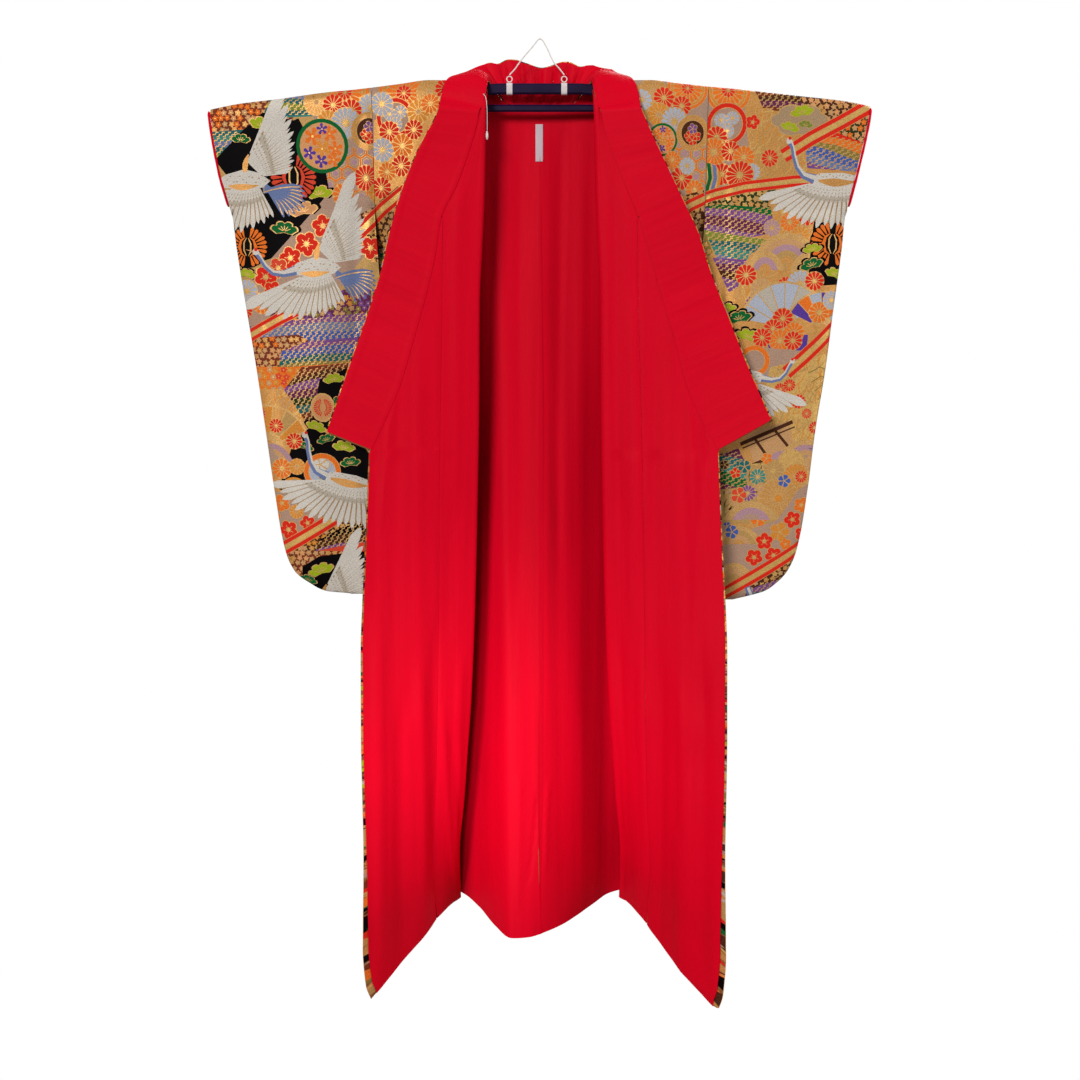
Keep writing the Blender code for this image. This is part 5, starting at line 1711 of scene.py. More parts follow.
def pine(d, x, y, r, dye="lime", rim="line", angle=0.0, scope=None, ground=None, lobes=4):
    """A pine bough drawn as a cloud of needles."""
    turn = np.linspace(0, math.pi, lobes * 5 + 1)
    reach = 1 - 0.22 * (1 - np.abs(np.sin(turn * lobes))) ** 2
    cap = np.stack([reach * np.cos(turn), 0.72 * reach * np.sin(turn)], -1)
    foot = np.array([(-0.55, -0.16), (0.0, -0.05), (0.55, -0.16)])
    ring = np.concatenate([cap, foot])
    if ground:
        d.at(x, y, r * 1.36, angle)
        d.put(ring, ground, scope)
    d.at(x, y, r * 1.13, angle)
    d.put(ring, rim, scope)
    d.at(x, y + 0.02 * r, r, angle)
    d.put(ring, dye, scope)
    for k in range(5):
        a = math.radians(30 + 30 * k)
        d.put(strip([(0.1 * math.cos(a), 0.1 * math.sin(a)),
                     (0.52 * math.cos(a), 0.44 * math.sin(a))],
                    0.055), rim, scope)


def wing(d, root, wrist, a0, a1, l0, l1, count, plume="white", shade="gap", scope=None):
    """A spread wing: feathers turn from angle a0 at the wrist to a1 at the body."""
    root, wrist = np.array(root, float), np.array(wrist, float)
    t = np.linspace(0, 1, count)
    angle = np.radians(a0 + (a1 - a0) * t ** 0.92)
    reach = l0 + (l1 - l0) * t ** 0.62
    reach = reach * (1 + 0.05 * np.where(np.arange(count) % 2, -1, 0.4))
    base = wrist + (root - wrist) * t[:, None]
    way = np.stack([np.cos(angle), np.sin(angle)], -1)
    tips = base + way * reach[:, None]
    d.put(np.concatenate([base + way * reach[:, None] * 0.90, base[::-1]]), shade, scope)
    apart = np.linalg.norm(np.diff(tips, axis=0), axis=1)
    apart = np.append(apart, apart[-1])
    for k in range(count):
        side = np.array([-way[k][1], way[k][0]])
        line = base[k] + way[k] * reach[k] * np.array([0.10, 0.50, 0.84, 0.94])[:, None]
        wide = apart[k] * np.array([0.06, 0.20, 0.33, 0.20])
        ring = np.concatenate([line + side * wide[:, None], [tips[k]],
                               (line - side * wide[:, None])[::-1]])
        d.put(ring, plume, scope)
    # Short covering feathers lie over the roots in rows.
    for row, share in enumerate((0.46, 0.35, 0.25)):
        fringe = []
        for k in range(count - 1):
            for part in (0.25, 0.75):
                spot = (base[k] + way[k] * reach[k] * share) * (1 - part) \
                    + (base[k + 1] + way[k + 1] * reach[k + 1] * share) * part
                fringe += [spot, spot - way[k] * reach[k] * 0.035]
        d.put(np.concatenate([fringe, base[::-1]]), ("silver", plume, plume)[row], scope)
    for share in (0.40, 0.32, 0.25, 0.18):
        for k in range(row % 2, count - 1):
            spot = 0.5 * (base[k] + way[k] * reach[k] * share + base[k + 1]
                          + way[k + 1] * reach[k + 1] * share)
            side = np.array([-way[k][1], way[k][0]])
            w = apart[k] * share * 0.20
            d.put([spot - side * w, spot + way[k] * 0.020, spot + side * w, spot - way[k] * 0.010],
                  shade, scope)
    return tips


def fleck(d, a, b, scope):
    """A small mark on a crane's back."""
    d.put([(a, b), (a + 0.016, b + 0.006), (a + 0.022, b), (a + 0.016, b - 0.006)], "gap", scope)


def crane(d, x, y, size, angle=0.0, flip=1, scope=None, neck=True, tail=True, upper=True,
          second=True):
    """A crane in flight, neck forward (towards -x), one wing up and one down."""
    d.at(x, y, size, angle, flip)
    if tail:
        for k, a in enumerate(np.linspace(-62, 6, 9)):
            b = math.radians(a)
            start = np.array([0.10, -0.02 - 0.012 * k])
            end = start + np.array([math.cos(b), math.sin(b)]) * (0.40 - 0.011 * abs(k - 4))
            d.put(strip(bowed(start, end, 0.05), [0.02, 0.045, 0.055, 0.05, 0.012]), "slate", scope)
            d.put(strip(bowed(start, start + (end - start) * 0.93, 0.05), 0.009), "line", scope)
    if second:
        wing(d, (0.06, -0.05), (-0.14, -0.06), 203, 292, 0.66, 0.30, 15, scope=scope)
    if upper:
        wing(d, (0.10, 0.02), (-0.02, 0.15), 59, 8, 0.74, 0.27, 16, scope=scope)
    body = [(-0.34, -0.035), (-0.22, 0.045), (-0.05, 0.085), (0.08, 0.05), (0.17, -0.02),
            (0.10, -0.075),
            (-0.05, -0.085), (-0.20, -0.07), (-0.30, -0.06)]
    d.put(body, "white", scope)
    d.put(strip(bowed((-0.20, -0.050), (0.06, -0.055), -0.05, 6),
                [0.01, 0.040, 0.055, 0.050, 0.030, 0.01]), "gold", scope)
    if upper:
        d.put(strip(bowed((-0.045, 0.06), (0.0, 0.21), 0.06, 6),
                    [0.03, 0.045, 0.050, 0.040, 0.025, 0.008]), "gold", scope)
    for k in range(14):
        fleck(d, -0.22 + 0.028 * k, 0.030 * math.sin(1.9 * k), scope)
    if neck:
        line = [(-0.24, -0.02), (-0.36, -0.045), (-0.45, -0.03), (-0.51, 0.03), (-0.545, 0.10),
                (-0.575, 0.155)]
        d.put(strip(line, [0.085, 0.06, 0.045, 0.04, 0.036, 0.05]), "slate", scope)
        lift = [(p + 0.008, q + 0.012) for p, q in line]
        d.put(strip(lift, [0.05, 0.03, 0.02, 0.016, 0.014, 0.02]), "white", scope)
        d.put(disc(0.030, 8, -0.585, 0.165), "white", scope)
        d.put(disc(0.017, 6, -0.580, 0.185), "red", scope)
        d.put([(-0.605, 0.178), (-0.68, 0.195), (-0.605, 0.158)], "tan", scope)


def fan_crane(d, x, y, size, angle=0.0, flip=1, scope=None):
    """A crane seen from the side, its wing spread below it."""
    d.at(x, y, size, angle, flip)
    for a in np.linspace(-20, 12, 5):
        b = math.radians(a)
        start = np.array([0.28, 0.0])
        end = start + 0.26 * np.array([math.cos(b), math.sin(b)])
        d.put(strip(bowed(start, end, 0.04), [0.02, 0.04, 0.045, 0.04, 0.01]), "slate", scope)
    wing(d, (0.30, -0.01), (-0.20, -0.02), 196, 318, 0.62, 0.42, 21, scope=scope)
    d.put([(-0.30, 0.02), (-0.16, 0.07), (0.08, 0.075), (0.30, 0.03), (0.34, -0.03), (0.12, -0.06),
           (-0.14, -0.055), (-0.28, -0.02)], "white", scope)
    d.put(strip(bowed((-0.18, -0.005), (0.22, -0.015), -0.04, 6),
                [0.02, 0.060, 0.085, 0.075, 0.045, 0.01]), "gold", scope)
    for k in range(14):
        fleck(d, -0.22 + 0.036 * k, 0.042 + 0.014 * math.sin(1.9 * k), scope)
    line = [(-0.22, 0.01), (-0.34, 0.05), (-0.41, 0.13), (-0.45, 0.24), (-0.47, 0.33),
            (-0.50, 0.39)]
    d.put(strip(line, [0.10, 0.07, 0.05, 0.044, 0.04, 0.055]), "slate", scope)
    d.put(strip([(p + 0.014, q + 0.01) for p, q in line], [0.05, 0.035, 0.022, 0.018, 0.015, 0.02]),
          "white", scope)
    d.put(disc(0.033, 8, -0.51, 0.40), "white", scope)
    d.put(disc(0.018, 6, -0.50, 0.425), "red", scope)
    d.put([(-0.535, 0.415), (-0.62, 0.44), (-0.535, 0.39)], "tan", scope)


def roundel(d, x, y, r, dye="red", ground="black", scope=None, angle=0.0, stem="line"):
    """A round figure of two facing wings."""
    d.at(x, y, r, angle)
    if ground:
        d.put(disc(1.06, 20), ground, scope)
    for side in (0.0, math.pi):
        for k in range(11):
            a = side + math.radians(-72 + 14.4 * k)
            d.put(petal(a, 0.52, 1.0, 0.105), dye, scope)
        mid = [(0.44 * math.cos(side + math.radians(t)), 0.50 * math.sin(side + math.radians(t)))
               for t in (-75, -40, 0, 40, 72)]
        d.put(strip(mid, [0.03, 0.12, 0.17, 0.10, 0.03]), dye, scope)
        neck = [(0.20 * math.cos(side + math.radians(t)), 0.46 * math.sin(side + math.radians(t)))
                for t in (-80, -30, 20, 70)]
        d.put(strip(neck, [0.02, 0.07, 0.07, 0.04]), stem, scope)


def ball(d, x, y, r, fill="peach", rim="green", scope=None):
    """A flower ball with a leaf rim."""
    d.at(x, y, r)
    inside = d.put(disc(1.0, 26), rim, scope)
    d.put(disc(0.86, 22), fill, scope)
    for k, (px, py, s, dye) in enumerate((
            (-0.35, 0.35, 0.34, "orange"), (0.30, 0.45, 0.30, "orange"),
            (0.0, -0.10, 0.34, "amber"),
            (-0.50, -0.25, 0.26, "purple"), (0.50, -0.10, 0.30, "orange"),
            (-0.05, -0.55, 0.26, "purple"),
            (0.42, -0.50, 0.28, "orange"), (0.02, 0.62, 0.22, "purple"))):
        d.at(x + px * r, y + py * r, s * r, 24 * k)
        d.put(lobed(5, 0.75, 1.0, 4), dye, inside)
        d.put(disc(0.15, 5), "bright", inside)


def band(d, path, width, scope=None, red="red", middle="bright"):
    """A red double band with a gold stripe between."""
    path = np.asarray(path, float)
    along = np.gradient(path, axis=0)
    side = unit_rows(np.stack([-along[:, 1], along[:, 0]], -1)) * width
    d.at(0, 0)
    d.put(strip(path, width), "line", scope)
    d.put(strip(path, width * 0.30), middle, scope)
    d.put(strip(path + side * 0.33, width * 0.27), red, scope)
    d.put(strip(path - side * 0.33, width * 0.27), red, scope)


def fret(d, ring, colours, pitch=0.0130, thread="line", angle=0.0, stripe=0.016, seed=1, lean=0.35):
    """Interlocking key fret on a ground that changes colour in bands."""
    d.at(0, 0)
    ring = np.asarray(ring, float)
    area = d.put(ring, colours[0], None)
    if area == OUTSIDE:
        return
    middle = (ring.min(0) + ring.max(0)) / 2
    c, s = math.cos(math.radians(angle)), math.sin(math.radians(angle))
    local = (ring - middle) @ np.array([[c, -s], [s, c]])
    low, high = local.min(0), local.max(0)

    def out(points):
        points = np.asarray(points, float)
        points = points + np.stack([points[:, 1] * lean, 0 * points[:, 1]], -1)
        return middle + points @ np.array([[c, s], [-s, c]])

    rng = np.random.default_rng(seed)
    y, k = high[1], 0
    reach = (high[0] - low[0]) * 0.75 + abs(high[1] - low[1]) * abs(lean)
    rim = np.concatenate([a + (b - a) * np.linspace(0, 1, 20)[:, None]
                          for a, b in zip(local, np.roll(local, -1, 0))])
    while y > low[1]:
        deep = stripe * (0.75 + 0.5 * rng.random())
        near = rim[(rim[:, 1] < y + 0.008) & (rim[:, 1] > y - deep - 0.008)]
        if len(near):
            slid = near[:, 0] - near[:, 1] * lean
            x = np.linspace(slid.min() - 0.003, slid.max() + 0.003, 6)
            edge = np.stack([x, y + 0.003 * np.sin(40 * x + k)], -1)
            foot = np.stack([x, y - deep - 0.001 + 0.003 * np.sin(40 * x + k + 1)], -1)
            d.put(out(np.concatenate([edge, foot[::-1]])), colours[k % len(colours)], area)
        y, k = y - deep, k + 1
    key = np.array([(-0.56, -0.34), (-0.20, -0.34), (-0.20, 0.0), (0.18, 0.0), (0.18, 0.34),
                    (0.54, 0.34)]) * pitch
    cols = int(2 * reach / pitch) + 1
    rows = int((high[1] - low[1]) / (pitch * 0.9)) + 2
    stair = mirror_strip(key, pitch * 0.15)
    i, j = (k.ravel() for k in np.mgrid[0:rows, 0:cols])
    places = np.stack([-reach + (j + 0.5 * (i % 2)) * pitch, low[1] + i * pitch * 0.9], -1)
    for k in np.nonzero(within(ring, out(places)))[0]:
        d.put(out(places[k] + stair), thread, area)


def mirror_strip(path, wide):
    """A line of one width with square corners."""
    found = []
    count = len(path)
    for sign in (1, -1):
        side = []
        for k in range(count):
            before = unit_rows(path[k] - path[k - 1]) if k else None
            after = unit_rows(path[k + 1] - path[k]) if k < count - 1 else None
            n = np.zeros(2)
            for way in (before, after):
                if way is not None:
                    n += np.array([-way[1], way[0]])
            side.append(path[k] + sign * n * wide / 2)
        found += side if sign > 0 else side[::-1]
    return np.array(found)


def blossoms(d, ring, ground, colours, pitch=0.0135, heart="bright", seed=1, fill=0.50):
    """A field of small round blossoms close together."""
    d.at(0, 0)
    ring = np.asarray(ring, float)
    area = d.put(ring, ground, None)
    if area == OUTSIDE:
        return
    rng = np.random.default_rng(seed)
    low, high = ring.min(0), ring.max(0)
    rows = int((high[1] - low[1]) / (pitch * 0.87)) + 2
    cols = int((high[0] - low[0]) / pitch) + 2
    i, j = (k.ravel() for k in np.mgrid[0:rows, 0:cols])
    places = low + np.stack([(j + 0.5 * (i % 2)) * pitch, i * pitch * 0.87], -1)
    places = places + (rng.random(places.shape) - 0.5) * pitch * 0.30
    sizes, turns = rng.random(len(places)), 72 * rng.random(len(places))
    picks = rng.integers(len(colours), size=len(places))
    petals, dot = lobed(5, 0.38, 1.0, 2), disc(0.24, 3)
    for k in np.nonzero(within(ring, places))[0]:
        d.at(*places[k], pitch * (fill + 0.06 * sizes[k]), turns[k])
        d.put(petals, colours[picks[k]], area)
        d.put(dot, heart, area)
    d.at(0, 0)


def hexagons(d, ring, size=0.030, frame_dye="orange", fill="mist", inner="mauve"):
    d.at(0, 0)
    ring = np.asarray(ring, float)
    area = d.put(ring, frame_dye, None)
    if area == OUTSIDE:
        return
    low, high = ring.min(0), ring.max(0)
    step = size * math.sqrt(3) / 2
    for i in range(int((high[1] - low[1]) / (size * 0.75)) + 2):
        for j in range(int((high[0] - low[0]) / step) + 2):
            x, y = low[0] + (j + 0.5 * (i % 2)) * step, low[1] + i * size * 0.75
            if not within(ring, disc(0.45 * size, 6, x, y)).any():
                continue
            for r, dye in ((0.44, "line"), (0.40, fill), (0.27, "line"), (0.23, inner)):
                turn = math.radians(30) + 2 * math.pi * np.arange(6) / 6
                d.put(np.stack([x + r * size * np.cos(turn), y + r * size * np.sin(turn)], -1), dye,
                      area)


def grass(d, ring, ground, colours, count=60, length=0.035, seed=1, lean=60.0):
    """Fine blades in clumps on a gold ground."""
    d.at(0, 0)
    ring = np.asarray(ring, float)
    area = d.put(ring, ground, None)
    if area == OUTSIDE:
        return
    rng = np.random.default_rng(seed)
    low, high = ring.min(0), ring.max(0)
    for _ in range(count):
        foot = low + (high - low) * rng.random(2)
        if not within(ring, foot[None])[0]:
            continue
        lean_to = math.radians(lean + 60 * (rng.random() - 0.5))
        for k in range(2):
            a = lean_to + math.radians(36 * (k - 0.5))
            end = foot + length * (0.6 + 0.5 * rng.random()) * np.array([math.cos(a), math.sin(a)])
            d.put(strip(bowed(foot, end, 0.20 * (k - 0.5), 3), [0.0018, 0.0024, 0.0006]),
                  colours[int(rng.integers(len(colours)))], area)


def ring_band(d, x, y, r, thick, dye, fill=None, scope=None, count=30):
    d.at(x, y, r)
    d.put(disc(1.03, count), "line", scope)
    d.put(disc(1.0, count), dye, scope)
    inside = d.put(disc(1.0 - thick, count), "line", scope)
    if fill:
        inside = d.put(disc(1.0 - thick - 0.04, count), fill, scope)
    return inside


def folding_fan(d, x, y, r, angle, colours, scope=None, rib="line"):
    """An open folding fan."""
    d.at(x, y, r, angle)
    arc = np.radians(np.linspace(20, 160, 15))
    outer = np.stack([np.cos(arc), np.sin(arc)], -1)
    d.put(np.concatenate([outer * 1.04, outer[::-1] * 0.14]), rib, scope)
    for k in range(7):
        a, b = np.radians(20 + 20 * k), np.radians(20 + 20 * (k + 1))
        d.put([(0.36 * math.cos(a), 0.36 * math.sin(a)), (math.cos(a), math.sin(a)),
               (math.cos(b), math.sin(b)), (0.36 * math.cos(b), 0.36 * math.sin(b))],
              colours[k % len(colours)], scope)
        d.put(strip([(0.14 * math.cos(a), 0.14 * math.sin(a)), (math.cos(a), math.sin(a))],
                    0.025), rib, scope)


def hills(d, x, y, wide, high, colours, scope=None):
    """Rounded hills in soft bands of colour."""
    for k, dye in enumerate(colours):
        share = 1 - k / len(colours)
        arc = np.linspace(math.pi, 0, 13)
        ring = np.stack([x + wide * share * np.cos(arc), y + high * share * np.sin(arc) ** 1.4], -1)
        d.at(0, 0)
        d.put(ring, dye, scope)


# ---------------------------------------------------------------- layouts
PIXEL = 0.00216                 # metres across one pixel of the 1080 x 1080 frame at the sleeves
FOCAL = 1250.0                  # pixels


def seen(*spots):
    """Places in metres, across and up, of points of the frame on the plane of the sleeves."""
    spots = np.asarray(spots, float)
    across, up = (spots[:, 0] - 540) / FOCAL, (540 - spots[:, 1]) / FOCAL
    reach = (-0.02 - CAMERA[1]) / (math.cos(PITCH) - up * math.sin(PITCH))
    height = CAMERA[2] + reach * (math.sin(PITCH) + up * math.cos(PITCH))
    return np.stack([reach * across, height], -1)


def spot(x, y):
    return tuple(seen((x, y))[0])


SEA = ["teal", "sea", "slate", "teal", "moss"]
DUSK = ["violet", "slate", "blue", "teal", "olive", "orange"]
EMBER = ["orange", "brown", "coral", "umber", "violet"]
NIGHT = ["black", "umber", "violet", "black", "brown"]


def mums(d, rows):
    for x, y, r, dye in rows:
        heart = "bright" if dye not in ("gold", "amber") else "tan"
        chrysanthemum(d, *spot(x, y), r * PIXEL, dye, heart=heart, turn=7 * x,
                      petals=16 if r > 11 else 12)


def plums(d, rows):
    for x, y, r, dye in rows:
        plum_blossom(d, *spot(x, y), r * PIXEL, dye, turn=11 * x)


def pines(d, rows):
    for x, y, r, dye, ground in rows:
        pine(d, *spot(x, y), r * PIXEL, dye, angle=(x * 7 + y) % 50 - 25, ground=ground)


def patch(d, dye, *places):
    d.at(0, 0)
    d.put(seen(*places), dye)


def gold_roundel(d, x, y, r):
    cx, cy = spot(x, y)
    inner = ring_band(d, cx, cy, r * PIXEL, 0.26, "gold", "umber")
    s = r * PIXEL
    for px, py, dye in ((-0.22, -0.18, "red"), (0.22, -0.18, "red"), (0.0, -0.42, "red"),
                        (0.0, 0.24, "violet")):
        cherry(d, cx + px * s, cy + py * s, 0.30 * s, dye, scope=inner, turn=30)


def half_sun(d, x, y, r):
    """Orange roundel with a chrysanthemum, cut by the shoulder."""
    cx, cy = spot(x, y)
    ring_band(d, cx, cy, r * PIXEL, 0.12, "orange", "amber")
    chrysanthemum(d, cx, cy, r * PIXEL * 0.72, "orange", heart="bright", petals=18)
    chrysanthemum(d, cx, cy, r * PIXEL * 0.30, "red", heart="bright", petals=10)


def flower_arc(d, x, y, r, inner=("pale", "pale", "pale")):
    cx, cy = spot(x, y)
    inside = ring_band(d, cx, cy, r * PIXEL, 0.20, "red", "mist")
    s = r * PIXEL
    for (px, py), dye in zip(((-0.30, 0.20), (0.28, 0.28), (0.05, -0.32)), inner):
        chrysanthemum(d, cx + px * s, cy + py * s, 0.34 * s, dye, scope=inside, petals=9)


def left_sleeve(d):
    patch(d, "straw", (200, 70), (400, 70), (400, 340), (200, 340))
    patch(d, "gold", (200, 340), (400, 340), (400, 610), (200, 610))
    blossoms(d, seen((205, 88), (300, 84), (290, 128), (262, 150), (206, 160)), "brown",
             ["tan", "peach", "orange", "gold"], seed=3)
    fret(d, seen((270, 90), (345, 84), (318, 116), (262, 118)), SEA, seed=2, stripe=0.010)
    fret(d, seen((206, 132), (258, 128), (250, 158), (208, 164)), SEA, seed=5, stripe=0.012)
    patch(d, "black", (262, 112), (300, 122), (268, 170), (228, 178), (214, 160), (240, 132))
    patch(d, "black", (283, 124), (298, 118), (330, 178), (318, 216), (296, 250), (262, 262),
          (226, 232),
          (240, 190))
    patch(d, "mist", (326, 196), (372, 190), (384, 232), (330, 300), (262, 340), (236, 300),
          (262, 270))
    blossoms(d, seen((360, 214), (396, 196), (396, 262), (372, 262)), "umber",
             ["tan", "gold", "peach"], seed=7)
    patch(d, "mist", (300, 92), (400, 84), (402, 150), (330, 152))
    hexagons(d, seen((322, 150), (402, 144), (404, 196), (330, 196)))
    pines(d, [(261, 128, 13, "lime", None), (240, 141, 9, "green", None),
              (319, 196, 13, "lime", "black"), (303, 213, 14, "peach", "black"),
              (284, 232, 13, "green", "black"), (248, 276, 9, "lime", "black")])
    roundel(d, *spot(293, 177), 22 * PIXEL, "coral")
    roundel(d, *spot(248, 247), 19 * PIXEL, "orange")
    half_sun(d, 344, 92, 23)
    mums(d, [(316, 102, 12, "gold"), (371, 108, 13, "pale"), (333, 105, 10, "red"),
             (351, 110, 10, "red"),
             (328, 121, 10, "amber"), (346, 123, 14, "pale"), (392, 104, 12, "red")])
    ball(d, *spot(322, 146), 25 * PIXEL)
    gold_roundel(d, 369, 131, 17)
    mums(d, [(366, 178, 12, "red"), (344, 195, 11, "orange"), (379, 193, 10, "amber"),
             (385, 168, 10, "red")])
    plums(d, [(323, 226, 11, "red"), (307, 244, 12, "red"), (291, 258, 11, "red"),
              (279, 268, 10, "coral"),
              (371, 248, 11, "red"), (267, 277, 11, "red"), (274, 290, 9, "red")])
    mums(d, [(248, 291, 11, "pale"), (264, 303, 10, "orange"), (246, 310, 8, "red")])
    band(d, seen((356, 236), (376, 216), (400, 196), (412, 186)), 0.030)
    # Below the second crane: fields of small blossoms and key fret in changing colours.
    blossoms(d, seen((280, 300), (300, 292), (372, 288), (372, 322), (300, 330), (262, 336)),
             "plum",
             ["olive", "amber", "violet", "tan"], seed=9)
    fret(d, seen((250, 326), (310, 318), (372, 312), (372, 348), (250, 352)), DUSK + ["umber"],
         seed=11,
         stripe=0.018, angle=4)
    blossoms(d, seen((248, 338), (300, 334), (322, 346), (312, 372), (250, 372)), "brown",
             ["tan", "orange", "gold", "peach"], seed=13)
    fret(d, seen((284, 350), (312, 340), (372, 336), (372, 374), (280, 372)),
         ["violet", "blue", "teal", "olive"],
         seed=15, stripe=0.014, angle=5)
    blossoms(d, seen((250, 366), (292, 366), (372, 360), (372, 382), (300, 392), (254, 394)),
             "orange",
             ["amber", "tan", "coral", "amber"], 0.0150, seed=14)
    fret(d, seen((304, 366), (350, 362), (346, 420), (308, 420), (284, 392)),
         ["brown", "umber", "violet",
         "plum", "forest", "teal"], seed=17, stripe=0.016, angle=12)
    grass(d, seen((254, 388), (286, 388), (314, 428), (300, 446), (262, 446)), "gold",
          ["bright", "tan", "amber"], 60, 0.030, 3)
    folding_fan(d, *spot(272, 444), 0.085, -18, ["gold", "amber", "straw"])
    patch(d, "black", (322, 378), (352, 366), (348, 420), (372, 452), (372, 500), (300, 496),
          (282, 486),
          (296, 440), (314, 424))
    pines(d, [(336, 380, 10, "lime", None), (318, 427, 10, "lime", "black"),
              (308, 446, 8, "green", None),
              (329, 439, 9, "green", None), (346, 447, 11, "lime", None),
              (353, 462, 10, "green", None),
              (342, 400, 8, "green", None)])
    d.at(*spot(325, 406), 11 * PIXEL)
    d.put(disc(1.1, 14, squash=1.2), "line")
    d.put(disc(0.95, 14, squash=1.2), "peach")
    roundel(d, *spot(325, 406), 9 * PIXEL, "coral", ground=None)
    mums(d, [(279, 424, 7, "red"), (297, 439, 8, "red"), (262, 412, 6, "coral")])
    hills(d, *spot(276, 462), 0.045, 0.045, ["mauve", "tan", "mist", "cloud"])
    hills(d, *spot(262, 452), 0.035, 0.030, ["mist", "mauve"])
    mums(d, [(285, 466, 10, "orange"), (300, 464, 8, "amber"), (270, 478, 8, "orange")])
    inner = ring_band(d, *spot(325, 469), 18 * PIXEL, 0.24, "orange", "pale")
    cherry(d, *spot(323, 462), 9 * PIXEL, "white", scope=inner)
    pine(d, *spot(330, 476), 8 * PIXEL, "green", scope=inner)
    patch(d, "mist", (262, 490), (372, 486), (372, 512), (300, 552), (280, 560))
    d.at(*spot(297, 482), 11 * PIXEL)
    d.put(disc(1.0, 16, squash=0.72), "amber")
    cherry(d, *spot(297, 482), 6 * PIXEL, "sea")
    plums(d, [(285, 500, 9, "orange"), (292, 526, 10, "red"), (311, 519, 8, "red"),
              (276, 514, 8, "orange")])
    mums(d, [(300, 508, 7, "amber"), (330, 512, 7, "orange")])
    blossoms(d, seen((318, 528), (350, 506), (376, 500), (376, 560), (290, 600), (276, 560)),
             "umber",
             ["gold", "tan", "bright", "amber"], seed=21)
    fret(d, seen((322, 536), (348, 522), (376, 518), (376, 546), (318, 552)), NIGHT, seed=23,
         stripe=0.018,
         angle=10)
    patch(d, "coral", (312, 548), (376, 536), (376, 548), (304, 560))
    blossoms(d, seen((276, 548), (310, 546), (376, 548), (376, 610), (280, 610)), "brown",
             ["tan", "gold", "peach"], seed=25)
    band(d, seen((262, 562), (290, 543), (322, 524), (352, 506), (380, 492)), 0.030)
    band(d, seen((236, 346), (254, 334), (282, 318), (300, 309)), 0.026)
    patch(d, "black", (306, 562), (322, 552), (372, 546), (376, 600), (330, 612), (304, 590))
    pines(d, [(325, 568, 13, "lime", None), (311, 577, 9, "green", None),
              (352, 588, 8, "red", None)])
    # Four cranes.
    crane(d, *spot(250, 179), 0.235, 2, neck=False)
    crane(d, *spot(323, 266), 0.232, 4)
    fan_crane(d, *spot(350, 478), 0.205, -10)
    crane(d, *spot(330, 600), 0.22, 0, second=False, neck=False, tail=False)


